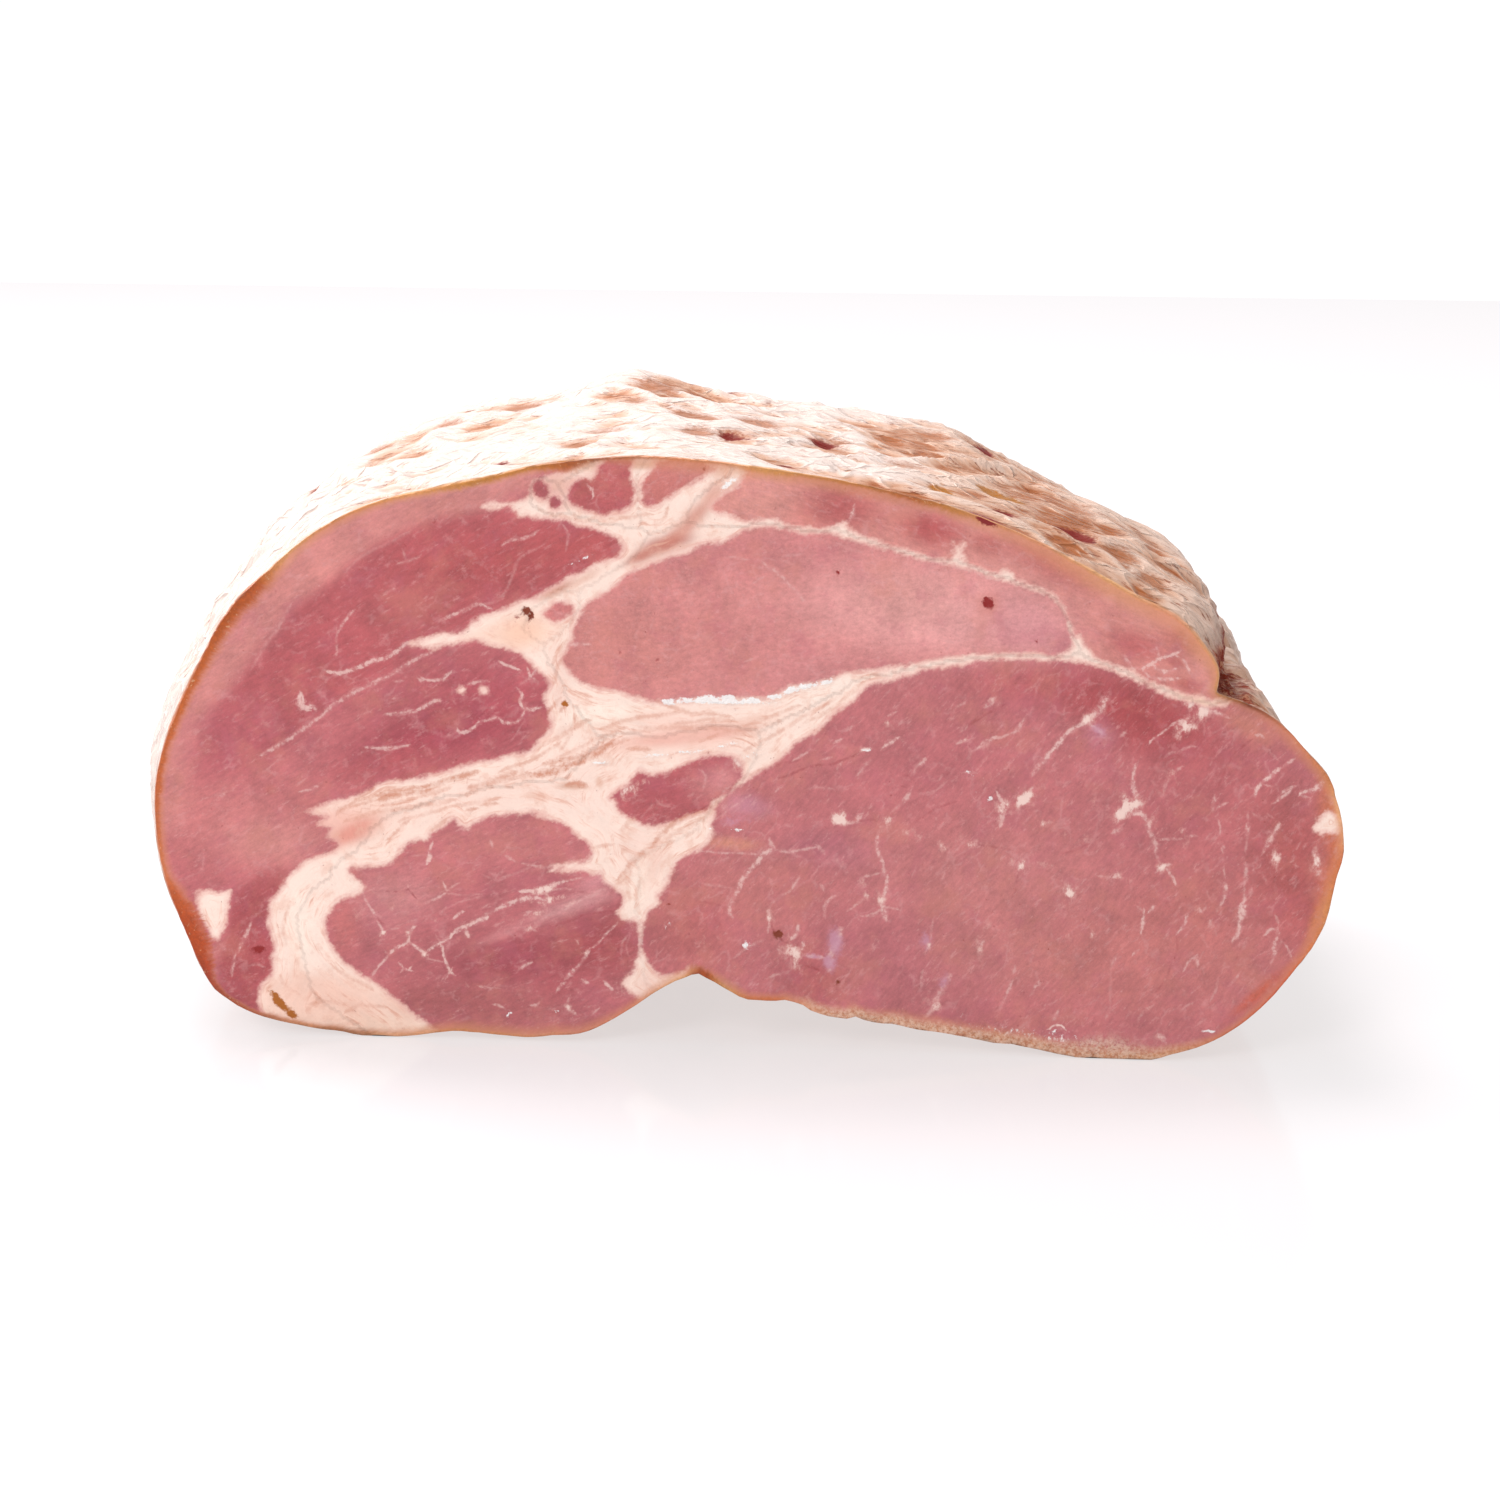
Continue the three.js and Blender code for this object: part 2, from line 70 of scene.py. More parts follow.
# ---- shapes of the cut, in millimetres
# Closed outlines of the muscles.
MUSCLES = {
    "left_flank": [(-29.7, 112.2), (-30.7, 108.9), (-33.8, 107.4), (-36.5, 106.8), (-38.4, 105.4), (-39, 103.6), (-40.4, 102.5), (-43.2, 102), (-46, 102), (-47.3, 101.1), (-45.6, 100.3), (-42.3, 101), (-40.5, 99.5), (-36.8, 99), (-33.1, 98.7), (-29.5, 97.9), (-26.7, 97.2), (-24, 96.1), (-22.5, 95.1), (-21.8, 94), (-22.6, 92.7), (-24, 92.1), (-25.9, 91.5), (-27.7, 90.5), (-30.5, 89.2), (-33.3, 87.8), (-35.1, 86.5), (-37, 85.3), (-38.8, 84.4), (-40.7, 83.8), (-43.5, 82.4), (-45.3, 82), (-47.2, 81.4), (-48.5, 80.5), (-50, 79.3), (-51.9, 78.1), (-53.7, 77.7), (-55, 77.5), (-57.5, 76.9), (-59.7, 76.1), (-62.1, 75.1), (-59.7, 74.8), (-57.5, 74.5), (-55.6, 74.7), (-51.9, 75.3), (-48.2, 75.8), (-44.5, 74.7), (-41.7, 74.2), (-39.9, 73.2), (-38.1, 71.3), (-37.1, 70.4), (-36.2, 69.1), (-35.7, 68.4), (-36.3, 66.9), (-36.6, 65.4), (-35.9, 63.9), (-35.4, 62.4), (-35.6, 60.7), (-36.3, 59.2), (-37.7, 57.8), (-39.2, 56.3), (-41, 55.5), (-44.8, 54.4), (-48.5, 53.8), (-52.3, 52.7), (-56, 51.5), (-60.7, 50.2), (-63.6, 49.8), (-67.3, 49.1), (-69.2, 48.1), (-71.1, 46.9), (-74, 46.1), (-76.8, 45.1), (-79.1, 44.2), (-81.6, 43.2), (-79.7, 42.5), (-77.7, 42.4), (-79.6, 41.2), (-78.5, 40.2), (-76.6, 39.9), (-78.1, 38.5), (-76.6, 37.8), (-75.5, 36.9), (-76.7, 35.7), (-78, 35.1), (-80.5, 34.4), (-82.4, 33.4), (-83.6, 32.4), (-84.7, 31.2), (-85.7, 30.2), (-86.5, 28.8), (-87.5, 27.3), (-88.7, 25.9), (-89.3, 23.9), (-89.5, 22), (-89, 20.1), (-88.5, 18.1), (-88.4, 16.2), (-88.8, 14.2), (-89, 12.3), (-89.8, 10.7), (-91, 9.7), (-91.6, 8.3), (-91.9, 6.3), (-91.7, 0.4), (-102.7, 4), (-113.5, 25.2), (-114.5, 52.1), (-104.2, 78.9), (-82.9, 101.7), (-56.9, 110.4)],
    "top_strip": [(1.9, 113.2), (1.2, 108), (-0.4, 105.6), (-3.2, 103.9), (-4.8, 102.5), (-5.2, 101.4), (-3.5, 100.9), (-1.4, 100.4), (-0.1, 99.7), (2.5, 99.6), (5.7, 100), (8.1, 98.9), (11.5, 98.6), (14.1, 98.3), (17.1, 98.9), (18.8, 99.7), (20, 98.2), (22.4, 96.8), (26, 95.8), (28.7, 95.1), (34.2, 93.6), (37.4, 93.1), (38.9, 94.2), (40.1, 93), (44.1, 91.4), (46.8, 90.7), (48.3, 91.5), (50.4, 89.5), (54.1, 88.3), (56.8, 86.7), (58.2, 84.9), (59.5, 82.3), (60.5, 80.2), (61.4, 78.7), (63.2, 77.3), (65.1, 75.5), (70.5, 73.7), (73.2, 72.1), (76, 70.9), (79.6, 69.7), (83.2, 68.9), (87.1, 68.6), (92.1, 72), (91.8, 83), (73.7, 93.6), (46.6, 107.6), (19.6, 112.6)],
    "island": [(-35.5, 82.2), (-34.2, 83.4), (-32.4, 83.6), (-31.1, 83), (-31.5, 81.6), (-32.8, 80.4), (-34.8, 80.2), (-36.1, 81.1)],
    "eye": [(-32.9, 72.9), (-32.3, 74.5), (-31, 76.7), (-30.8, 78.6), (-30, 80.1), (-29.3, 81.8), (-27.8, 83.3), (-25.9, 84.6), (-23.7, 86.5), (-21.3, 88.4), (-18.6, 90), (-14.9, 91.7), (-11.2, 92.9), (-7.6, 94.6), (-3.9, 95.2), (-1.2, 96.4), (0.6, 97.5), (3.4, 97.9), (6.1, 98), (10.6, 97.3), (16.1, 97.1), (19.7, 96), (25.1, 94.9), (28.8, 94), (34.2, 92.5), (39.6, 91.7), (46.8, 89.4), (54.1, 87.2), (56.8, 85.6), (58.3, 83.8), (59.2, 81.4), (60, 78.7), (59.3, 76.8), (57.9, 76), (55.2, 75.8), (53.3, 76.3), (47, 76.2), (39.8, 75.5), (32.6, 74), (25.3, 72.7), (21.7, 72.3), (18.9, 71.9), (16.2, 70.7), (12.5, 69.8), (8.9, 69), (6.1, 67.5), (3.4, 66.8), (-4, 66.7), (-11.3, 66.1), (-14.6, 65.7), (-17.8, 66), (-20.5, 66.9), (-22.4, 67.6), (-26.1, 68), (-27.9, 68.6), (-29.8, 69.3), (-31.6, 70.7)],
    "oval_a": [(-38, 105.6), (-36.7, 106.4), (-35.5, 105.3), (-35.3, 103.7), (-36.4, 102.7), (-37.7, 103.6)],
    "oval_b": [(-35.1, 102.6), (-34.2, 103.3), (-33.1, 102.6), (-33.1, 101.3), (-34.4, 100.9)],
    "spiral": [(-31.3, 102.6), (-31.3, 104.8), (-30, 106.1), (-28.5, 106.7), (-27.2, 106.4), (-26.5, 107.8), (-25.4, 109.5), (-22.8, 110.6), (-19.9, 110.3), (-20.6, 108.3), (-20.5, 106.7), (-19.7, 105.4), (-19.4, 103.9), (-19.8, 102.5), (-20.9, 101.5), (-23.1, 100.8), (-25.8, 100.3), (-27.6, 100.7), (-29.5, 101.4)],
    "snout": [(-18.1, 104.3), (-18.1, 106), (-17, 107.5), (-15.7, 108.8), (-14.8, 109.9), (-11.9, 110.6), (-7.9, 110), (-4.6, 109.3), (-7.5, 107.6), (-9.3, 106.3), (-11.2, 105.4), (-12.6, 103.9), (-14.8, 102.7), (-16.7, 102), (-17.9, 102.7)],
    "right": [(-5.5, 43.1), (-4.7, 45.4), (-4, 47.1), (-0.3, 50), (4.3, 53), (7.1, 54.7), (8.9, 57), (10.7, 58.6), (13.5, 60), (15.3, 61.9), (17.1, 63.8), (19.9, 65.7), (21.3, 67.1), (22.6, 68.6), (24.4, 69.6), (27.1, 70.4), (29.9, 71.2), (32.6, 72), (36.2, 72.8), (39.8, 73.6), (43.4, 74.4), (47, 74.9), (54.3, 74.7), (61.5, 74.6), (65.1, 73.8), (67.8, 72.9), (70.5, 71.9), (73.3, 70.5), (76, 69.1), (79.6, 67.9), (83.2, 67), (87.2, 66.7), (94.3, 70.2), (110.2, 61.4), (116.2, 44.8), (111.6, 20.2), (94, 0.6), (66.6, -4.2), (38.8, -1.2), (10.9, 1.8), (-4.1, 5.2), (-11.5, 10.7), (-9.6, 15.1), (-11.5, 14.2), (-13.8, 13.4), (-16.2, 14.5), (-17.5, 16.4), (-18.4, 18.3), (-18.6, 21.1), (-18, 24), (-17.1, 25.6), (-15.2, 27), (-15.2, 28.9), (-13.7, 30.9), (-12.9, 33.4), (-11.4, 35.3), (-9.6, 36.7), (-6.8, 38.7), (-5.1, 41.2)],
    "small_centre": [(-18.8, 52.2), (-16.9, 51.7), (-13.2, 52.2), (-11.4, 53.2), (-9.5, 54.3), (-4.9, 55.4), (-2.1, 55.5), (-0.3, 54.6), (0.1, 52.7), (-1.2, 50.2), (-3.1, 48.3), (-5.5, 47.3), (-6.8, 45.7), (-9.6, 44.3), (-13.3, 42.9), (-17, 42.2), (-19.8, 43.1), (-22.2, 44.6), (-23.5, 46.8), (-24.4, 47.4), (-22.5, 48.7), (-20.3, 50.3)],
    "low_left": [(-78, 20.4), (-77.7, 22.7), (-76.7, 24.7), (-75.4, 25.9), (-73.5, 26.7), (-71.2, 27.7), (-70.6, 29.3), (-71.9, 30.6), (-73, 31.5), (-73, 32.5), (-68.6, 32.8), (-65.2, 33.9), (-63.5, 36.2), (-61, 38), (-58.5, 38.1), (-57.6, 39.8), (-54.9, 41.4), (-53.8, 42.2), (-52.8, 41.1), (-51.5, 40.4), (-49.3, 41.9), (-45.5, 43.2), (-41.9, 43.3), (-39.3, 43.9), (-36.2, 42.7), (-34.1, 42.2), (-31.5, 40.5), (-28.9, 38.5), (-28.2, 37.2), (-28.2, 35.8), (-29.5, 35), (-32.9, 34.6), (-36.1, 33.9), (-33.8, 33.4), (-31, 33.1), (-26.9, 33), (-26.7, 31.5), (-25.4, 30.6), (-23.6, 29.6), (-22.3, 28.3), (-22.7, 26.8), (-23.6, 25.4), (-21.2, 23.8), (-19.9, 23.6), (-19.3, 22.1), (-19, 19.2), (-19.6, 16.3), (-20.5, 14.3), (-21.8, 12.8), (-22.4, 11.4), (-21.3, 9.9), (-19, 8), (-22.8, 2.6), (-32.3, -1.6), (-51.3, -2.2), (-58.8, 2.7), (-61.6, 4.7), (-63.5, 6.2), (-65.3, 7.5), (-67.2, 9), (-69.1, 10.5), (-72.3, 12.4), (-75.3, 15), (-77.5, 18.5)],
}
# Fat that lies inside them.
FAT_INSIDE = {
    "pad": [(-102.8, 26.5), (-102, 27.3), (-100.4, 27.7), (-98.2, 27.4), (-96.1, 27.6), (-96.3, 25.7), (-96.6, 22.2), (-97.2, 20.8), (-98, 19.4), (-98.8, 18.2), (-99.8, 17.8), (-100.7, 19.3), (-101.6, 20.7), (-102.3, 22.6), (-102.8, 24.1)],
    "wedge": [(-26, 35.1), (-28.2, 34.5), (-31, 34), (-33.8, 33.6), (-36.6, 33.1), (-33.8, 33), (-30.5, 32.9), (-26.4, 32.6)],
    "spot_r": [(106.2, 48.6), (108, 47.9), (109.5, 46.5), (109.4, 44.2), (107.2, 43.6), (105.1, 43.8), (104, 44.8), (105.3, 46.4)],
    "gap_1": [(38, 92.7), (38.7, 94.4), (37.8, 95.7), (38.1, 96.4), (39.2, 95.5), (40.1, 96.6), (40.5, 96.1), (39.9, 94.6), (40.7, 93)],
    "gap_2": [(46.5, 90.3), (47.4, 91.8), (48.4, 90.9), (49.5, 89.7)],
    "junction": [(58.9, 75.7), (60, 77.2), (60.7, 79.1), (61.6, 80), (62.1, 78.5), (62.9, 77.3), (64, 75.8), (62.4, 75.2), (60.8, 75.2)],
    "knot_a": [(-52.8, 66.9), (-51.7, 67.7), (-50.9, 66.9), (-51.9, 66.1)],
    "knot_b": [(-49.1, 67), (-48.1, 68.1), (-47, 67.2), (-47.6, 66.1), (-48.7, 66.2)],
}
# Marbling and seams: width, strength, the line.
VEINS = [
    (0.41, 0.35, [(-83.1, 82.4), (-85.8, 77.8), (-88.9, 73.6), (-90.9, 70.2)]),
    (0.37, 0.3, [(-60.8, 96.2), (-65.5, 93.7), (-69.8, 91.6), (-73, 88.5)]),
    (0.93, 0.85, [(-82, 65.5), (-82.2, 64.1), (-81.5, 63), (-79.8, 63.2), (-79.2, 62.7)]),
    (0.41, 0.6, [(-70, 55.7), (-65.7, 55.6), (-61.6, 56.3)]),
    (0.41, 0.6, [(-66.1, 61.7), (-63.3, 62.1), (-60.9, 62.9)]),
    (0.41, 0.6, [(-58.6, 63.9), (-56.9, 64.9), (-55.8, 64.9)]),
    (0.37, 0.6, [(-55.7, 68.7), (-54.2, 69.8), (-52.9, 70.3)]),
    (0.34, 0.55, [(-59.8, 69.2), (-59.1, 68.4), (-58.5, 68.8)]),
    (0.37, 0.55, [(-82.5, 46.6), (-80.9, 47.2), (-79, 48.1)]),
    (0.56, 0.5, [(-98.4, 45.8), (-97.2, 45.9), (-96.5, 46.5)]),
    (0.41, 0.6, [(-74.6, 77.3), (-72.9, 79.9), (-71.7, 81.5)]),
    (0.34, 0.45, [(-74.8, 78), (-74.9, 72.8)]),
    (0.34, 0.45, [(-69.6, 68.4), (-68.5, 67.6), (-66.9, 68.4)]),
    (0.37, 0.55, [(-43.7, 94.1), (-42.4, 95.1), (-38.7, 95.7), (-37.2, 97)]),
    (0.34, 0.35, [(-36.9, 93.9), (-40.6, 91.9), (-41.5, 89.5), (-42.5, 87.3), (-43.4, 85.4), (-44.7, 83.9), (-46.8, 83.3), (-48.1, 83.4)]),
    (0.37, 0.4, [(-32.6, 98), (-31.7, 96.2), (-32.1, 93.4)]),
    (0.48, 0.65, [(-55.6, 79.6), (-53.3, 80.7), (-50.9, 81.9), (-48.5, 83.2), (-45.9, 82.4)]),
    (0.34, 0.45, [(-63.2, 90.2), (-60, 91.2), (-59, 92)]),
    (0.34, 0.4, [(-65.9, 84.4), (-64.7, 85.3), (-63.8, 85.7)]),
    (0.30, 0.4, [(-62.2, 92.8), (-61.7, 90.6)]),
    (0.60, 0.5, [(3.4, 92.2), (4.5, 91.3), (6.3, 90.1), (7.9, 88.6)]),
    (0.48, 0.45, [(7.9, 88.6), (9.8, 86.8), (10.7, 85.6), (11.8, 84.5)]),
    (0.37, 0.4, [(1.9, 88), (3, 88.7), (4.1, 89.1)]),
    (0.37, 0.35, [(7.4, 92.9), (9.4, 93.3), (11, 93.7)]),
    (0.37, 0.4, [(-3, 92.5), (-1.2, 92.7), (1.2, 92.2)]),
    (0.63, 0.6, [(-32.5, 75.8), (-30.6, 76), (-27.8, 75.9)]),
    (0.30, 0.35, [(-11.3, 83.6), (-9.4, 84.2), (-8.5, 83.7)]),
    (0.30, 0.35, [(-16.8, 79.4), (-16.2, 80.8)]),
    (0.30, 0.4, [(0.6, 73.3), (1.9, 73.7), (2.8, 74.1)]),
    (0.37, 0.35, [(18.8, 94.9), (20.1, 94.2), (21.9, 94.1)]),
    (0.34, 0.25, [(-26, 76.8), (-23.8, 74.6), (-22, 73.2)]),
    (0.48, 0.7, [(20.6, 102.6), (20.2, 101.4), (19.5, 99.9)]),
    (0.63, 0.5, [(34.2, 92.7), (37.8, 92), (42.3, 90.6), (46.8, 89.4)]),
    (0.48, 0.6, [(65.1, 74.9), (68.7, 73.9), (71.4, 72.8), (74.1, 71.6)]),
    (0.56, 0.7, [(70.9, 73.7), (72.7, 73.8), (74.4, 74.6), (75.5, 75.3)]),
    (0.48, 0.7, [(74.4, 74.6), (75.8, 75.7), (78, 76.3), (79.4, 77.2)]),
    (0.45, 0.7, [(74.4, 74.6), (75.9, 73.3), (77.3, 73.2), (78.8, 73.6)]),
    (0.45, 0.65, [(72.7, 73.8), (74.1, 72.3), (76.3, 71.7), (79.5, 72.1)]),
    (0.37, 0.6, [(75.4, 77.5), (75.8, 76.1), (75.9, 75)]),
    (0.37, 0.5, [(69.4, 76.1), (70.5, 74.5), (70.9, 73.7)]),
    (0.37, 0.6, [(78.7, 76.3), (80.3, 75.1), (81.3, 73.2)]),
    (0.37, 0.3, [(49.5, 93.1), (50.4, 94.2), (51.8, 94.3), (52.9, 93.2), (52.6, 91.9), (51.1, 91.5)]),
    (0.75, 0.9, [(-18.9, 24.4), (-19, 21.1), (-18.8, 18.3), (-19, 15.4), (-18.8, 12.8)]),
    (1.12, 0.9, [(-18.8, 13.4), (-18.3, 11.7), (-17.2, 10.2), (-15.9, 9.1)]),
    (0.37, 0.5, [(-3.6, 47.3), (-3.3, 48.8), (-2.1, 50)]),
    (0.37, 0.4, [(-7.7, 52.9), (-6.6, 51.4), (-6.9, 49.5)]),
    (0.34, 0.35, [(-16, 47), (-14.7, 45.9), (-13.3, 45.9)]),
    (0.56, 0.6, [(-92.4, 21.3), (-93.2, 19.5), (-94, 17.8), (-94.9, 15.8)]),
    (0.45, 0.5, [(-95.5, 15), (-96.1, 13), (-96.5, 11.1)]),
    (0.34, 0.4, [(-92.8, 13.1), (-91.3, 13.4), (-90.2, 12.8)]),
    (0.41, 0.7, [(-28, 105.4), (-27.2, 104.5), (-27.1, 103.3)]),
    (0.37, 0.4, [(-18.4, 109.6), (-16.6, 109.3), (-15.9, 109.8)]),
    (0.56, 0.55, [(5.2, 40.3), (5.6, 39.2), (6, 38.2)]),
    (0.93, 0.75, [(6, 38.4), (4.6, 37.5), (3.6, 36.9), (2.9, 35.7), (2.1, 34.7)]),
    (0.75, 0.7, [(2.1, 34.7), (1.2, 33.2), (0.3, 32.5), (-0.5, 30.9), (-1.1, 29.6)]),
    (0.68, 0.65, [(-1.1, 29.6), (-1.7, 28), (-2.3, 26.3), (-1.7, 25)]),
    (0.25, 0.5, [(-7.7, 37.6), (-4, 37.4), (0, 37.4), (3.6, 37.3)]),
    (0.44, 0.5, [(6.2, 38.2), (9.6, 37.9), (11.4, 38.4), (13.9, 38.9)]),
    (0.62, 0.5, [(13.9, 39.3), (14.5, 38.6), (15.2, 37.5)]),
    (0.31, 0.4, [(-6.8, 31.2), (-4.9, 31.1), (-2.8, 30.5)]),
    (0.25, 0.35, [(-7.7, 31.4), (-6.5, 31.3)]),
    (0.56, 0.6, [(25.2, 42.1), (24.9, 39.9), (25.1, 38.3), (26.2, 36.4)]),
    (0.37, 0.5, [(26.2, 36.4), (26.5, 34.9), (26.5, 33.9), (27.2, 33.6)]),
    (0.56, 0.65, [(27.2, 33.9), (26.9, 32), (26.2, 29.8), (25.8, 28.8)]),
    (0.81, 0.7, [(25.9, 29.1), (26.1, 27.2), (26.6, 25.2)]),
    (0.37, 0.5, [(22.1, 25.8), (24.7, 26.7), (26.8, 27.6), (29.3, 27.3)]),
    (0.28, 0.4, [(23.2, 25.9), (25, 26.4)]),
    (0.37, 0.5, [(22, 33), (23.1, 33.6), (25.6, 34.3)]),
    (0.31, 0.5, [(19.6, 26.6), (21, 28), (22.8, 29.5)]),
    (0.50, 0.7, [(16.9, 43.7), (19.1, 43.4), (21.2, 43.8)]),
    (0.56, 0.6, [(21.2, 43.8), (21.6, 44.7), (22.1, 45.4)]),
    (0.44, 0.55, [(10.7, 33), (9.6, 31.5), (8.7, 30.2)]),
    (0.37, 0.45, [(8.7, 30.2), (7.1, 28.9), (5.9, 27.9)]),
    (0.44, 0.55, [(5.7, 27.9), (5.2, 26.5), (4.9, 24.7)]),
    (0.37, 0.6, [(5, 24.4), (4.9, 22.5)]),
    (0.50, 0.55, [(14.7, 31.7), (15.3, 30.9)]),
    (0.50, 0.6, [(17, 29.7), (16.1, 28.9), (15.4, 27.6), (15.3, 25.5)]),
    (0.68, 0.65, [(10.5, 24.1), (10.2, 22.8), (9.2, 21.3)]),
    (0.68, 0.7, [(9.6, 18.8), (11.2, 19.5), (11.5, 21)]),
    (0.62, 0.6, [(9.6, 18.5), (7.7, 18.7), (6.8, 19.2)]),
    (0.37, 0.45, [(4.7, 13.5), (6.2, 14.3), (8.7, 15.1)]),
    (0.31, 0.4, [(-1.6, 17.2), (1.5, 19.5), (4.3, 21)]),
    (1.24, 0.6, [(18.5, 23.5), (17.5, 20.6), (16.7, 18), (16.2, 15.4)]),
    (0.62, 0.6, [(12.1, 18), (13.9, 17.9), (15.6, 17.7)]),
    (0.31, 0.5, [(35.5, 25.6), (35.3, 24), (35.1, 22.4)]),
    (0.31, 0.45, [(33.7, 15.7), (33.4, 13.7)]),
    (1.06, 0.5, [(38.6, 15.3), (37.4, 12.6), (35.6, 9.3), (34.1, 7)]),
    (0.28, 0.45, [(7.7, 50.4), (6.2, 49.1)]),
    (0.28, 0.35, [(13.5, 50.1), (15.7, 50), (16.9, 49.7)]),
    (0.37, 0.5, [(10.5, 44.5), (11.4, 45.1)]),
    (0.25, 0.45, [(-4.8, 43.7), (-2.1, 45.8), (1.5, 48.2)]),
    (0.50, 0.55, [(30.6, 49.4), (29.6, 47.9)]),
    (0.37, 0.5, [(33, 55.8), (31.8, 53.9), (31.2, 52.7)]),
    (0.50, 0.45, [(23.9, 55.5), (22.5, 54.1), (21.5, 52.5)]),
    (0.44, 0.45, [(29.6, 47.7), (27.6, 45.9)]),
    (0.25, 0.35, [(32, 35.6), (31.5, 34)]),
    (0.31, 0.4, [(37.4, 34.5), (36.9, 33.2)]),
    (1.43, 0.85, [(66.4, 68), (65.2, 66.2), (64.1, 64.7)]),
    (1.24, 0.85, [(64.1, 64.9), (62.7, 63.8), (61.7, 63.1)]),
    (0.93, 0.8, [(61.7, 63.3), (60.5, 62.2), (59.3, 61.4)]),
    (0.68, 0.8, [(59.3, 61.4), (58.1, 60), (56.8, 58.2)]),
    (0.62, 0.7, [(56.8, 58.2), (55.8, 56.8), (54.6, 55.5)]),
    (0.81, 0.5, [(54.6, 55.5), (53.8, 54.4), (53.2, 53.3)]),
    (0.62, 0.6, [(63.3, 63.3), (64.6, 62.4), (65.9, 61.4)]),
    (0.50, 0.7, [(46.8, 50), (47.5, 48.6), (48.1, 47.4)]),
    (0.44, 0.6, [(52.5, 50.5), (53.2, 51)]),
    (0.37, 0.45, [(53.5, 46.7), (54.1, 47.1)]),
    (0.62, 0.6, [(48.2, 45.8), (47.5, 43.6)]),
    (0.62, 0.55, [(51.7, 63.7), (50.8, 62.4), (50.1, 61.5)]),
    (0.37, 0.5, [(50.1, 61.5), (47.8, 60.5), (46, 59.9)]),
    (0.81, 0.6, [(46, 59.9), (44.8, 59.1), (43.6, 58.2)]),
    (0.37, 0.4, [(51.3, 59.9), (50.3, 58.8)]),
    (0.44, 0.4, [(40.7, 62.5), (40, 61.2)]),
    (0.56, 0.5, [(40, 59.6), (41.2, 59.5)]),
    (0.75, 0.6, [(46.4, 67.3), (44.7, 66), (44.4, 65.8)]),
    (0.50, 0.65, [(72.1, 56.2), (71.8, 54.5), (71.5, 53.1)]),
    (0.75, 0.75, [(71.5, 53.1), (71.6, 51.7), (71.7, 50.2)]),
    (0.93, 0.8, [(71.1, 46.7), (73.2, 46.5), (74.1, 45.4)]),
    (0.87, 0.7, [(74.1, 45.6), (74.7, 43.7), (75.4, 42.2)]),
    (0.62, 0.55, [(75.4, 42.2), (76.1, 40.6), (76, 39.5)]),
    (0.31, 0.4, [(76.1, 39), (76.5, 37.5)]),
    (0.44, 0.6, [(77, 36.9), (78.5, 37.4)]),
    (0.44, 0.6, [(77, 36.9), (76.1, 35.9)]),
    (0.44, 0.6, [(77.8, 36.4), (79, 35.2), (79.8, 33.5)]),
    (0.68, 0.6, [(69.6, 43.9), (68.7, 43.4), (67.9, 43.1)]),
    (0.44, 0.5, [(80.3, 55.7), (79.3, 54.9)]),
    (0.37, 0.4, [(77.3, 52.5), (77.2, 50.8)]),
    (0.31, 0.5, [(76.3, 42.2), (78.1, 42.2), (80.5, 42.3)]),
    (0.44, 0.5, [(81.7, 42.6), (83.2, 42.7)]),
    (0.62, 0.5, [(86.4, 49.9), (86.1, 48.1)]),
    (0.62, 0.7, [(68.4, 34.7), (69, 35.4), (69.6, 34.8)]),
    (0.31, 0.5, [(65.5, 34.6), (67.7, 34.7)]),
    (0.37, 0.4, [(62.3, 31.7), (62.9, 32.4)]),
    (0.44, 0.7, [(73.9, 28.5), (73.9, 26.7), (73.7, 24.2)]),
    (0.50, 0.65, [(75.8, 29.3), (74.9, 28.2)]),
    (0.37, 0.5, [(73.4, 28.5), (72.6, 28.9)]),
    (0.44, 0.65, [(81.8, 27.6), (81.4, 26), (80.3, 24.3)]),
    (0.37, 0.5, [(73, 21), (72.2, 20.2)]),
    (0.31, 0.35, [(69.8, 19.6), (68.6, 19.3)]),
    (0.37, 0.5, [(83.6, 20.3), (83.2, 19.5)]),
    (0.31, 0.4, [(82.2, 59.5), (80.1, 58.8), (78.3, 58.1)]),
    (0.25, 0.35, [(69.5, 56.3), (69.1, 55.4)]),
    (0.44, 0.5, [(70, 62.1), (69, 61.1)]),
    (0.43, 0.75, [(81.2, 64.6), (79.8, 64), (78.2, 63.1)]),
    (0.29, 0.7, [(78.2, 63.1), (76.4, 61.7), (74.4, 60)]),
    (0.62, 0.65, [(84.9, 66.1), (86.2, 65.9), (87.6, 65.5)]),
    (0.38, 0.5, [(87.6, 65.5), (88.6, 64.9)]),
    (0.48, 0.55, [(93.4, 61.9), (94.2, 61.8), (94.8, 61.5)]),
    (0.29, 0.4, [(77.2, 57.5), (78.1, 58.3), (79.2, 58.5)]),
    (0.29, 0.4, [(79.2, 58.5), (80.4, 58.9)]),
    (0.29, 0.45, [(81, 59), (82, 59.5), (82.8, 59.4)]),
    (0.24, 0.35, [(77.6, 56.1), (78.4, 56.8)]),
    (0.33, 0.4, [(78, 53.2), (77.5, 52.3), (77.1, 50.7)]),
    (0.19, 0.35, [(86.9, 58.9), (86.4, 58.2)]),
    (0.22, 0.35, [(95.9, 58.9), (97, 58), (97.5, 57.5)]),
    (0.38, 0.6, [(100.3, 57.8), (99.5, 57.1), (98.5, 56.1)]),
    (0.67, 0.85, [(97.8, 55.9), (96.2, 54.6), (95, 53.2)]),
    (0.62, 0.8, [(95, 53.2), (94, 52), (93.6, 50.6)]),
    (0.24, 0.45, [(95.1, 52.7), (96.5, 52.3)]),
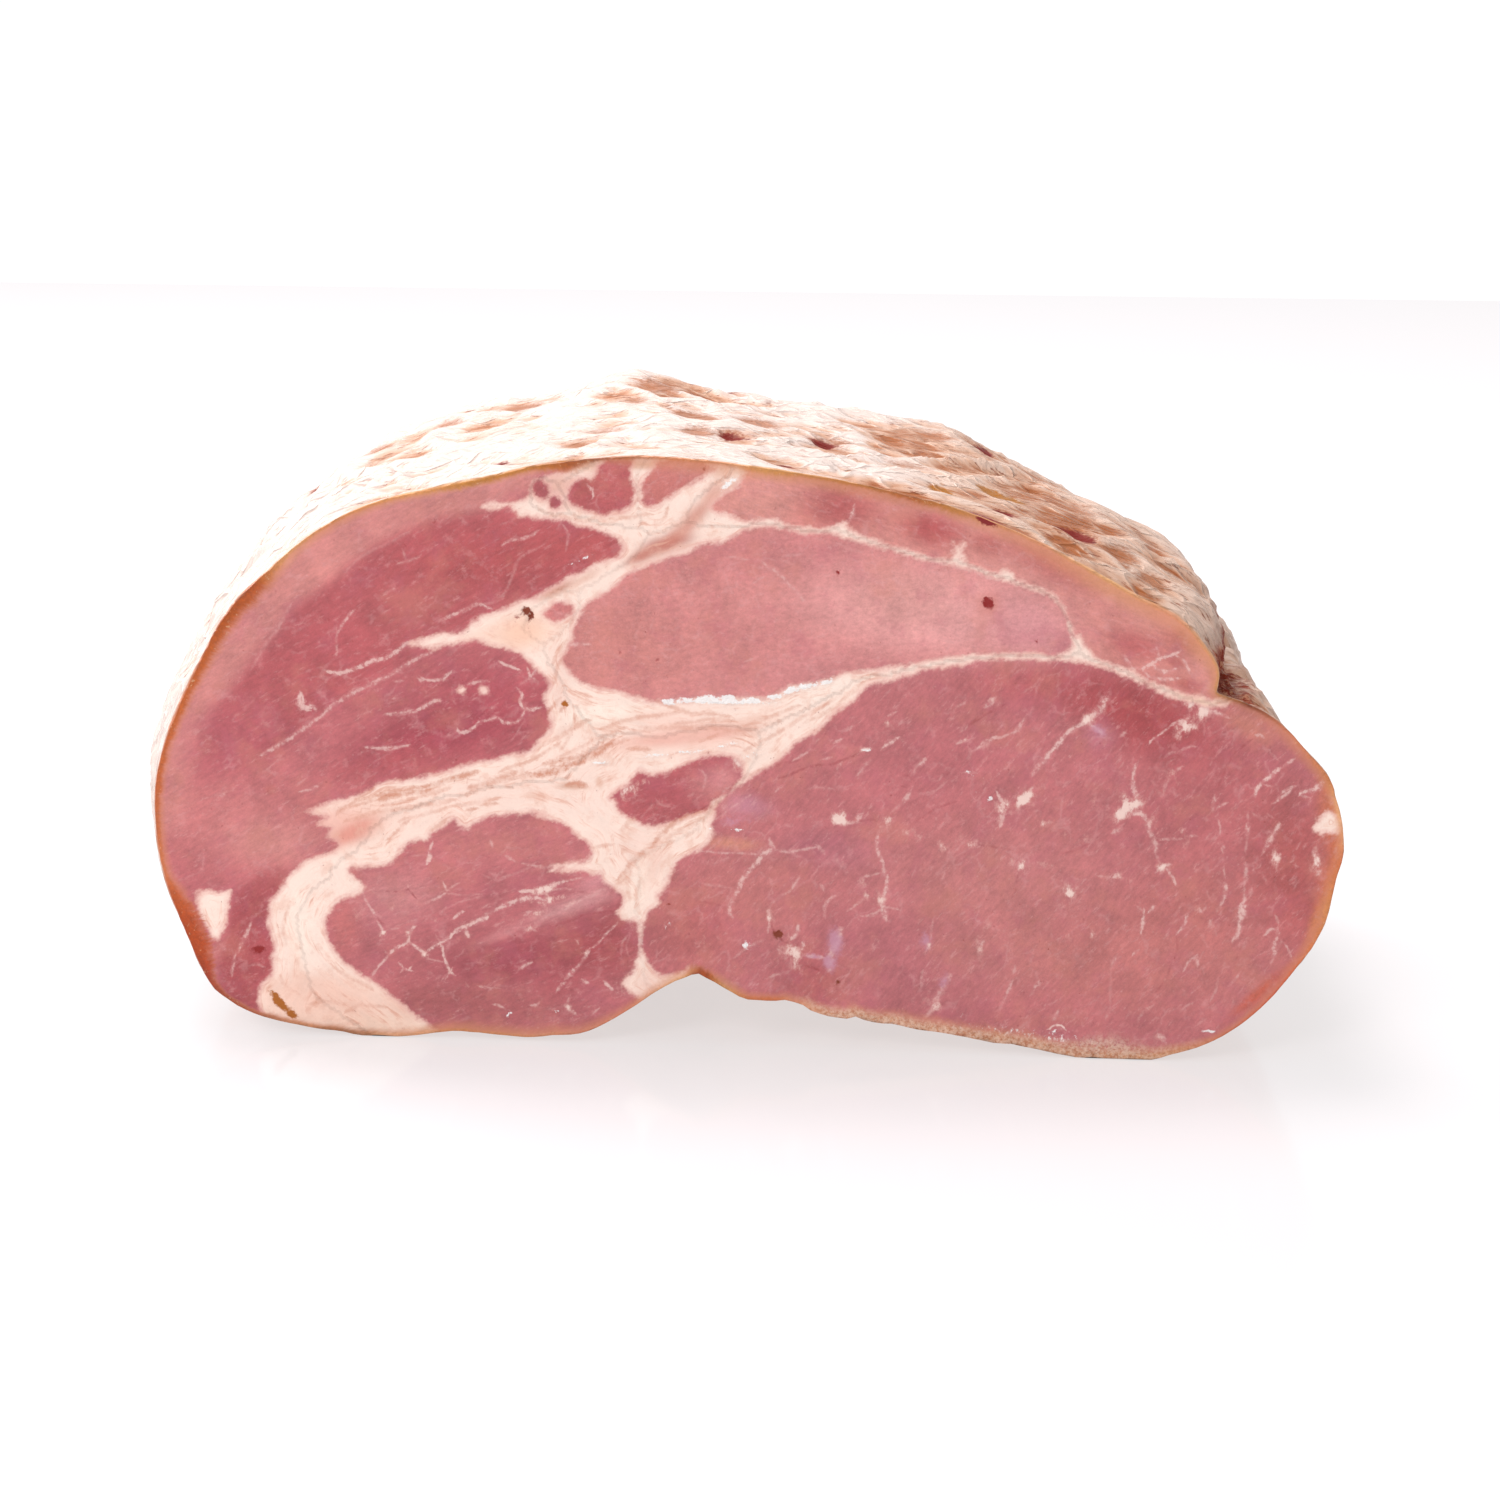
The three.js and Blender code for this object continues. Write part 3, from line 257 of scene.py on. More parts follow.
    (0.38, 0.65, [(100.9, 52.4), (99.5, 52), (98.4, 51)]),
    (0.33, 0.6, [(100.2, 51.9), (99.1, 50.9), (97.4, 49.5)]),
    (0.22, 0.4, [(96.8, 49.2), (97.3, 49.4)]),
    (1.05, 0.85, [(105.7, 53.5), (105.2, 52.7), (104.3, 52.1)]),
    (0.57, 0.75, [(104.3, 52.1), (103.2, 51.6), (101.7, 50.9)]),
    (0.29, 0.5, [(101.8, 50.7), (103.2, 50.4)]),
    (0.48, 0.65, [(86.5, 50.5), (86.4, 49.1)]),
    (0.38, 0.55, [(87, 48.3), (87.8, 48.9), (88.6, 49.2)]),
    (0.33, 0.5, [(87.1, 46), (87.4, 44.6), (87.4, 43.2)]),
    (0.48, 0.6, [(88.1, 40.9), (87.9, 39.8)]),
    (0.29, 0.45, [(88.3, 36.9), (88.4, 35.3)]),
    (0.53, 0.65, [(88.7, 33.8), (88.6, 32.4), (88.5, 30.9)]),
    (0.24, 0.4, [(86.7, 46.6), (87.3, 47.1)]),
    (0.62, 0.6, [(92.5, 45.5), (92.5, 44.3), (92.3, 42.6)]),
    (0.33, 0.4, [(92.3, 42.6), (92.2, 40.2)]),
    (0.53, 0.55, [(92.2, 37.8), (92.2, 35.8), (92.1, 34.1)]),
    (0.48, 0.55, [(92.1, 33.2), (92.3, 31.7)]),
    (0.38, 0.45, [(93.5, 33.1), (93.1, 31.8)]),
    (0.29, 0.4, [(92.6, 47.6), (92.5, 46.2)]),
    (0.29, 0.4, [(93.3, 47.4), (93.7, 46.8)]),
    (0.33, 0.4, [(96, 47.2), (96.8, 46.7)]),
    (0.24, 0.35, [(95.4, 35.7), (95.9, 34.5)]),
    (0.53, 0.7, [(97.9, 45.6), (97.5, 44.4), (97.1, 43.4)]),
    (0.81, 0.7, [(97.1, 43.4), (96.4, 42.2), (95.8, 41.1)]),
    (0.33, 0.5, [(95.8, 41.1), (95, 39.8)]),
    (0.53, 0.65, [(97.2, 40.3), (97.5, 39.1)]),
    (0.38, 0.6, [(98.5, 39.9), (98, 38.6), (97.9, 36.6)]),
    (0.22, 0.4, [(101.9, 42.1), (101.4, 40.9)]),
    (0.43, 0.45, [(101, 39.6), (100.6, 38.4)]),
    (0.24, 0.4, [(101.4, 37.8), (101.3, 37.2)]),
    (0.29, 0.35, [(103, 41.9), (102.6, 41.2)]),
    (0.48, 0.4, [(104.3, 40.7), (104.6, 39.5)]),
    (0.48, 0.4, [(108.4, 41.1), (108.3, 39.4)]),
    (0.60, 0.7, [(88.8, 33.6), (88.7, 32.4), (88.5, 31)]),
    (0.36, 0.55, [(88.5, 31), (87.9, 30), (87.2, 28.9)]),
    (0.48, 0.45, [(92.2, 37.6), (92.2, 36.1), (92.1, 34.5)]),
    (0.54, 0.6, [(92.2, 32.8), (92.3, 31.3), (92, 30.1)]),
    (1.31, 0.8, [(92, 30.4), (91.8, 28.6), (91.4, 27)]),
    (0.72, 0.7, [(91.4, 27), (91.3, 25.2), (91.1, 24.8)]),
    (0.66, 0.6, [(91.1, 24.9), (90.7, 24), (90.2, 23.1)]),
    (0.48, 0.4, [(93.5, 33.1), (93.1, 31.6)]),
    (0.54, 0.35, [(92.5, 23.3), (92.1, 21.6)]),
    (0.36, 0.5, [(98, 28.1), (98.4, 26.6)]),
    (0.42, 0.6, [(96.1, 24.3), (96.9, 25.2), (98.2, 25.8)]),
    (0.42, 0.6, [(98.2, 25.8), (98.5, 24.5), (98.1, 23.3)]),
    (0.90, 0.65, [(98.1, 23.3), (97.8, 21.8), (97.7, 20.5)]),
    (0.36, 0.5, [(97.7, 20.5), (97.2, 19)]),
    (0.27, 0.5, [(99.4, 23.3), (100.5, 21.8), (101, 20)]),
    (0.36, 0.45, [(99.1, 23.6), (98.5, 22.2)]),
    (0.42, 0.55, [(82, 27.8), (81.6, 26.6), (81.1, 25.4)]),
    (0.42, 0.6, [(81.1, 25.4), (80.2, 24.2)]),
    (0.48, 0.6, [(84, 29.2), (84.4, 28.5)]),
    (0.36, 0.5, [(86.1, 27.2), (85.7, 25.7)]),
    (0.36, 0.45, [(85.3, 29.3), (84.8, 28.7)]),
    (0.42, 0.6, [(73.1, 21), (72.1, 20)]),
    (0.60, 0.5, [(69.2, 19.8), (68.5, 18.4), (68.3, 17.6)]),
    (0.36, 0.55, [(83.7, 20.4), (82.5, 19.2), (81.6, 17.2)]),
    (0.42, 0.5, [(83.7, 20.1), (84, 18.2)]),
    (0.30, 0.45, [(91.6, 17.2), (90.8, 15.9), (89.9, 14.8)]),
    (0.36, 0.4, [(88, 16.1), (87.5, 14.4), (86.6, 12)]),
    (0.30, 0.4, [(83.2, 11.2), (81.9, 10.4), (81, 9.5)]),
    (0.30, 0.35, [(81.9, 10), (81.9, 8)]),
    (0.30, 0.4, [(74.4, 9.1), (73.4, 7.3)]),
    (0.66, 0.7, [(77.1, 5.1), (77.9, 4.5), (78.3, 3.6)]),
    (0.36, 0.3, [(68.2, 17.2), (68.1, 10.5)]),
    (0.30, 0.3, [(87, 25.7), (87.2, 24.2)]),
    (0.30, 0.3, [(84.7, 24.1), (85.4, 22.6)]),
    (0.30, 0.3, [(90.7, 12.1), (90.6, 10.6)]),
    (0.48, 0.4, [(101.2, 37.7), (101.6, 37.4)]),
    (0.44, 0.45, [(33.7, 15.8), (33.5, 14.1), (33.4, 12.9)]),
    (0.75, 0.55, [(44.8, 21.7), (44.3, 20.4), (43.9, 18.2)]),
    (0.44, 0.45, [(50.6, 17), (50.2, 15.8)]),
    (0.56, 0.55, [(50.1, 14.4), (49.6, 12.9), (49.1, 11.8)]),
    (0.37, 0.4, [(49.1, 11.8), (48.5, 10.4), (48, 9.1)]),
    (0.56, 0.55, [(54.9, 14.5), (54.3, 13.1)]),
    (0.37, 0.4, [(54.3, 13.1), (53.7, 11.5)]),
    (0.56, 0.5, [(58.8, 8.9), (57.9, 7.3)]),
    (0.50, 0.45, [(68.9, 19.6), (68.4, 18.1)]),
    (0.44, 0.4, [(68.1, 10), (67.6, 7.8)]),
    (0.68, 0.35, [(52.9, 6.6), (51.4, 5)]),
    (0.16, 1, [(56.9, 5.2), (57.8, 6), (59.2, 6.1), (60.1, 5.3)]),
    (0.31, 0.3, [(22.5, 16), (22, 15)]),
    (0.37, 0.5, [(20.5, 61.8), (19.7, 61.1), (19.1, 60.6)]),
    (0.47, 0.55, [(18.2, 59.2), (17.4, 58.7), (16.9, 58.5)]),
    (0.32, 0.5, [(12.2, 56.9), (11, 56.1), (9.5, 55.1)]),
    (0.26, 0.45, [(16.5, 56), (15.1, 55.5)]),
    (0.32, 0.5, [(28.2, 64.6), (26.8, 63.9)]),
    (0.37, 0.4, [(29.5, 63.2), (28.7, 62.4)]),
    (0.42, 0.7, [(28.8, 59.9), (27.7, 59.1), (26.1, 57.9)]),
    (0.37, 0.9, [(22.1, 57.3), (23.6, 57.6)]),
    (0.42, 0.5, [(23.6, 55.3), (22.6, 54.2), (21.3, 52.5)]),
    (0.53, 0.5, [(18.5, 54.9), (17.6, 54)]),
    (0.58, 0.6, [(33.9, 56.1), (33.2, 55.5), (32.3, 54.6)]),
    (0.37, 0.45, [(31.9, 53.6), (31.3, 52.7)]),
    (0.58, 0.6, [(31, 49.5), (30.5, 48.7), (29.8, 47.7)]),
    (0.32, 0.45, [(40.8, 66.7), (39, 65.4)]),
    (0.63, 0.65, [(46.4, 67.8), (45.5, 67), (44.5, 66)]),
    (0.32, 0.5, [(39.3, 59), (41.4, 59.7)]),
    (0.53, 0.6, [(46.6, 60.4), (45.2, 59.4), (43.4, 58)]),
    (0.37, 0.4, [(41.2, 62.3), (40.8, 61.7)]),
    (0.26, 0.4, [(14.2, 59), (13.5, 58.6)]),
    (0.32, 0.35, [(12.5, 49.8), (15.4, 50.2)]),
    (0.26, 0.45, [(40.4, 53.6), (43, 53.5)]),
    (0.26, 0.35, [(34.3, 49.7), (35.8, 50.3)]),
    (0.32, 0.35, [(35.8, 50.4), (37.6, 51.9)]),
    (0.77, 0.85, [(-47.4, 23.7), (-49.3, 23), (-50.9, 22.1)]),
    (0.68, 0.85, [(-50.9, 22.1), (-52.5, 21.4), (-53.9, 20.4)]),
    (0.45, 0.85, [(-53.9, 20.4), (-55.5, 19.2), (-56.6, 18.6)]),
    (0.41, 0.8, [(-56.6, 18.6), (-57.9, 17.8), (-59.2, 16.7)]),
    (0.55, 0.8, [(-51.8, 21.6), (-51.5, 20.6), (-51, 19.8)]),
    (0.36, 0.85, [(-59.5, 16.3), (-60.9, 17.2), (-62.2, 18.4), (-62.7, 18.9)]),
    (0.41, 0.8, [(-62.6, 18.7), (-62.5, 20.1)]),
    (0.32, 0.7, [(-62.3, 20.5), (-61.8, 21.1), (-61.3, 21.5)]),
    (0.41, 0.75, [(-62.8, 18.5), (-64.6, 17.4), (-66.1, 16)]),
    (0.36, 0.65, [(-66.1, 16), (-67.2, 14.7), (-68.3, 13.3)]),
    (0.32, 0.5, [(-68.3, 13.3), (-69.2, 12), (-69.8, 10.8)]),
    (0.27, 0.6, [(-66.1, 15.9), (-66.9, 16.4)]),
    (0.36, 0.8, [(-56.5, 18.7), (-56.1, 17.6), (-56.1, 16.5)]),
    (0.45, 0.85, [(-56.1, 16.5), (-55.6, 15), (-54.9, 13.4)]),
    (0.27, 0.75, [(-54.9, 13.1), (-53.9, 12.2)]),
    (0.27, 0.7, [(-54.9, 13.1), (-55.5, 11.7)]),
    (0.27, 0.65, [(-54.7, 13.4), (-54.4, 13.8)]),
    (0.27, 0.45, [(-56, 14.9), (-57.7, 15), (-58.8, 15.3)]),
    (0.23, 0.45, [(-55.4, 12.5), (-56.4, 11.6)]),
    (0.32, 0.7, [(-64.3, 14.5), (-63.5, 13.4)]),
    (0.32, 0.7, [(-63.5, 13.4), (-64.1, 12.8)]),
    (0.32, 0.7, [(-63.4, 13.4), (-62.6, 13.1), (-62, 13.6)]),
    (0.27, 0.6, [(-62.6, 13.1), (-61.8, 12.9)]),
    (0.23, 0.5, [(-72.2, 30.2), (-71.5, 28.7), (-71, 27.3)]),
    (0.36, 0.5, [(-71, 27.3), (-70.2, 25.9), (-69.4, 24.6)]),
    (0.50, 0.6, [(-69.4, 24.6), (-68.9, 23.7)]),
    (0.32, 0.6, [(-67.3, 20.6), (-67.9, 21.5), (-68.4, 22.3)]),
    (0.23, 0.4, [(-66.7, 20.7), (-64.5, 21.1)]),
    (0.64, 0.85, [(-58.5, 36), (-58.5, 34.8), (-58.8, 33.6)]),
    (0.36, 0.7, [(-57.7, 37.9), (-58.2, 36.9), (-58.5, 36)]),
    (0.20, 0.35, [(-61.5, 35.3), (-58.7, 35.5)]),
    (0.36, 0.6, [(-56, 30.1), (-55.5, 29.1), (-55.3, 28.4)]),
    (0.36, 0.55, [(-55.5, 28.2), (-56.8, 27.4), (-58.2, 26.7)]),
    (0.27, 0.45, [(-58.2, 26.7), (-59.3, 26.1)]),
    (0.27, 0.45, [(-55.1, 28.6), (-54, 29.4), (-52.8, 30.2)]),
    (0.23, 0.35, [(-55.2, 28), (-52.4, 27.9), (-48.3, 28.2)]),
    (0.23, 0.35, [(-52.7, 26.4), (-50.6, 27.2), (-48.5, 27.8)]),
    (0.32, 0.7, [(-52.2, 24.8), (-53.2, 24.3), (-54.1, 23.4)]),
    (0.18, 0.4, [(-57, 20.1), (-56.6, 18.9)]),
    (0.20, 0.3, [(-69.9, 28.5), (-68, 27.4), (-66.2, 27)]),
    (0.32, 0.55, [(-49.3, 10.4), (-48.1, 10)]),
    (0.20, 0.35, [(-56.4, 34.9), (-55, 36.1)]),
    (0.20, 0.4, [(-56.1, 24.5), (-55.5, 25.4)]),
    (0.60, 0.6, [(-49, 23.2), (-47.6, 24.2), (-46.3, 24.8)]),
    (0.66, 0.75, [(-46.3, 24.8), (-44.5, 25.9), (-42.3, 26.9)]),
    (0.82, 0.8, [(-42.3, 26.9), (-40, 27.5), (-37.8, 27.7)]),
    (0.49, 0.7, [(-37.8, 27.7), (-36, 27.5)]),
    (0.71, 0.85, [(-41.3, 28.8), (-39.2, 29.1), (-37, 29.6)]),
    (0.55, 0.7, [(-37, 29.6), (-34.5, 30.5), (-32.3, 31.3)]),
    (0.27, 0.55, [(-32.3, 31.3), (-29.8, 31.7)]),
    (0.38, 0.6, [(-39.2, 28.4), (-37, 28.6), (-35.1, 29.3)]),
    (0.27, 0.5, [(-35.1, 29.3), (-33.4, 29.7), (-31.7, 29.6)]),
    (0.71, 0.4, [(-38.7, 22.8), (-36.5, 24.1), (-34, 25.5)]),
    (0.82, 0.45, [(-34, 25.5), (-31.8, 26.5), (-29.5, 27.7)]),
    (0.71, 0.4, [(-29.5, 27.7), (-27.3, 28.9), (-25.4, 29.8)]),
    (0.33, 0.5, [(-40.6, 24.6), (-39.2, 25)]),
    (0.38, 0.6, [(-39.8, 24.6), (-40.6, 24.3)]),
    (0.38, 0.55, [(-38.7, 21.4), (-39.8, 21.9)]),
    (0.33, 0.4, [(-46.5, 22), (-44.5, 22.8)]),
    (0.33, 0.45, [(-48.4, 25.6), (-47.3, 26.2)]),
    (0.27, 0.65, [(-23, 23.5), (-24.3, 22.1), (-26, 20.2)]),
    (0.22, 0.5, [(-26, 20.2), (-27.1, 19.1), (-28, 18.4)]),
    (0.49, 0.7, [(-28.6, 18.1), (-29.2, 16.9), (-29.7, 16.1)]),
    (0.33, 0.5, [(-29.7, 16.1), (-30.8, 14.5)]),
    (0.60, 0.75, [(-31, 14.2), (-31.9, 13.4), (-32.5, 12.9)]),
    (0.33, 0.5, [(-32.5, 12.9), (-33.2, 12)]),
    (0.55, 0.65, [(-33.4, 11.4), (-34, 10.8), (-34.8, 9.9)]),
    (0.27, 0.5, [(-31, 19.7), (-30.7, 19.2)]),
    (0.27, 0.45, [(-34.1, 19.4), (-32.9, 19.8)]),
    (0.22, 0.4, [(-21, 21.3), (-22.3, 19.6), (-22.6, 17.3)]),
    (0.22, 0.3, [(-21, 21), (-21.6, 19), (-21.3, 17.3)]),
    (0.49, 0.7, [(-39.5, 15.2), (-40.8, 14.5), (-41.9, 13.8)]),
    (0.27, 0.45, [(-49.2, 10.5), (-47.2, 10.2), (-45.3, 10)]),
    (0.49, 0.7, [(-30, 12.2), (-29, 11.6)]),
    (0.55, 0.75, [(-25.7, 11.8), (-25, 11.2), (-24.4, 10.5)]),
    (0.55, 0.7, [(-32.7, 7.1), (-32.4, 6.3), (-31.3, 5.5)]),
    (0.27, 0.45, [(-32.2, 8.9), (-32.6, 7.8), (-33.1, 7.1)]),
    (0.33, 0.5, [(-26.8, 6.9), (-27.5, 6.1), (-28.1, 5.4)]),
    (0.33, 0.55, [(-39.6, 6.8), (-38.5, 7), (-38, 7.4)]),
    (0.33, 0.55, [(-46.4, 6.9), (-45.6, 6.6), (-44.6, 6)]),
    (0.55, 0.5, [(-46.8, 38.3), (-46.4, 37.4)]),
    (0.33, 0.5, [(-43.8, 35.7), (-42.2, 34.7)]),
    (0.38, 0.6, [(-40.8, 34.3), (-39.4, 34)]),
    (0.33, 0.5, [(-39.4, 34), (-37.8, 33.8), (-35.8, 33.8)]),
    (0.25, 0.35, [(-45, 31.4), (-42.2, 32.3), (-39.4, 33.8)]),
    (0.25, 0.3, [(-48.3, 31.9), (-46.1, 31.1)]),
    (0.45, 0.7, [(-44.7, 72.2), (-42.9, 71.5), (-40.9, 71.1)]),
    (0.41, 0.7, [(-39.2, 71.3), (-38.8, 69.8), (-37.7, 68.9)]),
    (0.37, 0.65, [(-37.7, 71.3), (-38.3, 70.2), (-39.2, 69.2)]),
    (0.41, 0.75, [(-41.4, 67.5), (-40.4, 66.1), (-41, 65), (-39.9, 63.5), (-36.9, 63.9)]),
    (0.41, 0.7, [(-39.9, 63.3), (-41.5, 61.1), (-43.8, 60.9), (-45.2, 61.8), (-48.3, 60.9)]),
    (0.41, 0.7, [(-48.3, 60.9), (-49.9, 59.4), (-52.2, 58.8), (-52.9, 59.5)]),
    (0.37, 0.6, [(-46.7, 68.7), (-48.7, 68.5), (-50.5, 68.1)]),
    (0.41, 0.7, [(-48.3, 66.6), (-47, 66.6), (-46.8, 67.8)]),
    (0.37, 0.65, [(-53.5, 70.3), (-55.1, 68.9), (-57.4, 68.6), (-59.3, 69.2)]),
    (0.41, 0.7, [(-55.9, 65), (-57.5, 64.6), (-60.5, 62.6)]),
    (0.37, 0.6, [(-60.5, 62.6), (-62.8, 62.3), (-66.3, 61.7)]),
    (0.37, 0.65, [(-69.5, 55.6), (-65.7, 55.8), (-61.8, 56.2)]),
    (0.34, 0.5, [(-64.6, 65), (-63.5, 65.1)]),
    (0.34, 0.45, [(-64, 68.3), (-62.8, 68.4)]),
    (0.56, 0.6, [(-57.3, 73.9), (-62.2, 71.4), (-66.6, 68.6), (-74.3, 64.6), (-78.2, 61.4), (-82.2, 58.3), (-86, 55.9), (-89.5, 53.5)]),
    (0.56, 0.75, [(-58.8, 75.8), (-61.8, 75.3), (-65.4, 72.7), (-68.4, 71.9), (-73.5, 69.6), (-76.9, 69.9)]),
    (0.45, 0.8, [(-81.6, 65.3), (-81.3, 62.9), (-80.2, 62.5)]),
]
# Darker threads in the fat: width, strength, the line.
THREADS = [
    (0.48, 0.8, [(-37.4, 51.6), (-33.6, 52.6), (-29.9, 53.8), (-26.2, 55.8), (-23.4, 57.8)]),
    (0.56, 0.7, [(-32.2, 49.2), (-30.7, 49.7), (-28.8, 49.3)]),
    (0.45, 0.6, [(-71.2, 45.6), (-67.4, 46.6), (-63.6, 47.7), (-59.8, 48.3)]),
    (0.48, 0.75, [(-59.8, 48.3), (-56.1, 49.2), (-52.3, 50.6), (-48.9, 51.7)]),
    (0.37, 0.5, [(-67.4, 44.5), (-63.7, 45.4), (-58.9, 46.8), (-54.2, 48.3)]),
    (0.34, 0.45, [(-74.6, 43.6), (-71.2, 44.8), (-68.2, 45.7)]),
    (0.37, 0.5, [(-50.5, 48), (-44.8, 49.9), (-39.2, 51.3), (-35.9, 52.2)]),
    (0.34, 0.45, [(-44.8, 51.6), (-41.1, 53.2), (-36.4, 55.2), (-33.6, 57.5)]),
    (0.34, 0.4, [(-33.6, 54.7), (-29.9, 56.5), (-26.1, 58.6), (-21.5, 60.5)]),
    (0.34, 0.4, [(-26.1, 60.3), (-22.4, 61.6), (-16.9, 62.8), (-11.3, 63.5)]),
    (0.30, 0.35, [(-22.4, 59.1), (-16.9, 60.2), (-9.5, 61.9), (-4, 62.7)]),
    (0.34, 0.4, [(-7.7, 58.2), (-0.3, 61), (6.1, 63.4), (10.7, 65.5)]),
    (0.34, 0.35, [(0.6, 56.8), (6.1, 59.8), (11.6, 63.5), (17.1, 66.6)]),
    (0.34, 0.35, [(-63.7, 41.6), (-58.1, 43.6), (-52.4, 45.1), (-44.9, 46.6)]),
    (0.34, 0.4, [(-58.1, 40.2), (-56.2, 41.4), (-54.7, 42.6)]),
    (0.34, 0.5, [(-35.9, 62.9), (-34.4, 64.5), (-33.5, 65.8)]),
    (0.34, 0.5, [(-32.4, 64.3), (-33.5, 63.2)]),
    (0.34, 0.4, [(-24, 99.4), (-20.3, 99.7), (-16.7, 100.3)]),
    (0.37, 0.5, [(-13.4, 101.7), (-14.1, 100), (-14.8, 98.9)]),
    (0.34, 0.4, [(-33.4, 72.9), (-34.2, 70.7), (-34.6, 68.4)]),
    (0.34, 0.35, [(-32.3, 76.7), (-33.8, 74.8), (-34.7, 72.2)]),
    (0.30, 0.35, [(-30.7, 62.5), (-31.7, 58.9), (-33.6, 56)]),
    (0.56, 0.35, [(-4, 47.3), (-7.7, 43.4), (-15.1, 39), (-18.9, 35.9), (-20.8, 33.6)]),
    (0.37, 0.3, [(-84.9, 26), (-85.7, 23.1), (-86.4, 20.1), (-86, 17.2)]),
    (0.37, 0.35, [(-77.6, 13.6), (-74.8, 11.7), (-71.9, 10.4), (-69.7, 9)]),
    (0.37, 0.35, [(-87.2, 11.4), (-86.3, 9.4), (-83.4, 7.6)]),
    (0.34, 0.35, [(-81.6, 5.7), (-78.7, 6.3), (-74.9, 5.9)]),
    (0.34, 0.35, [(-74.9, 4.5), (-72, 6), (-67.3, 5.5)]),
    (0.34, 0.35, [(-25.8, 102.7), (-27.6, 99), (-33.1, 99.7), (-36.8, 100.7)]),
    (0.30, 0.35, [(-4, 27.3), (-4.8, 24.8), (-3.7, 22.9)]),
    (0.34, 0.3, [(-18.9, 31.7), (-19.7, 27.8), (-18.9, 25)]),
    (0.34, 0.3, [(-20.4, 34.3), (-21.1, 30.9), (-20.8, 27.8)]),
    (0.56, 0.7, [(-48.8, 51.7), (-55.4, 49.5), (-59.3, 47.4), (-63.9, 46.9), (-67.8, 45.7)]),
    (0.45, 0.5, [(-68.5, 48), (-75.6, 42.8)]),
    (0.45, 0.65, [(-22.4, 57.7), (-28.6, 55.2), (-34.3, 53.9), (-37, 53.1)]),
    (0.65, 0.85, [(-32.4, 52.5), (-38.1, 51.1), (-40, 51.5)]),
    (0.93, 0.6, [(-42, 51.5), (-47.7, 48.9), (-50.8, 48.4)]),
    (0.34, 0.5, [(-48.6, 45.4), (-45.5, 45.5)]),
    (0.34, 0.6, [(-51.3, 44), (-49.3, 44.6)]),
    (0.34, 0.5, [(-66.1, 38.3), (-61.8, 42)]),
    (0.47, 0.7, [(-33.6, 52.1), (-26.7, 56.2), (-21, 58.2)]),
    (0.37, 0.5, [(-20.7, 56.7), (-16.9, 56.4)]),
    (0.30, 0.35, [(-5.5, 62.2), (-1, 62.2)]),
    (0.56, 0.6, [(-5.7, 46.1), (-12.3, 42.9), (-14.7, 40.1), (-19.2, 36.1), (-23.2, 31.4)]),
    (0.30, 0.35, [(-28.1, 37.6), (-23.9, 38.2)]),
    (0.37, 0.35, [(22.5, 70), (16.6, 64.9), (11.6, 62.2)]),
    (0.41, 0.4, [(-15.9, 65.8), (-9.5, 63.7), (-2.1, 63.2)]),
    (0.48, 0.4, [(-74.1, 41.3), (-67.5, 43.4), (-60.8, 44.7), (-53.3, 46)]),
    (0.45, 0.45, [(-28, 61.8), (-33.6, 58.8), (-38.2, 55.9)]),
    (0.63, 0.4, [(-50.4, 53.7), (-57.9, 52), (-64.5, 49.6)]),
    (0.48, 0.4, [(-18.7, 60.5), (-9.5, 60.9), (-0.3, 60.6), (7.1, 62.3)]),
    (0.56, 0.35, [(-22.6, 41.1), (-18.8, 44.1), (-15.1, 45.9)]),
    (0.45, 0.4, [(-24.5, 28.7), (-21.9, 32), (-19.6, 35.9)]),
]
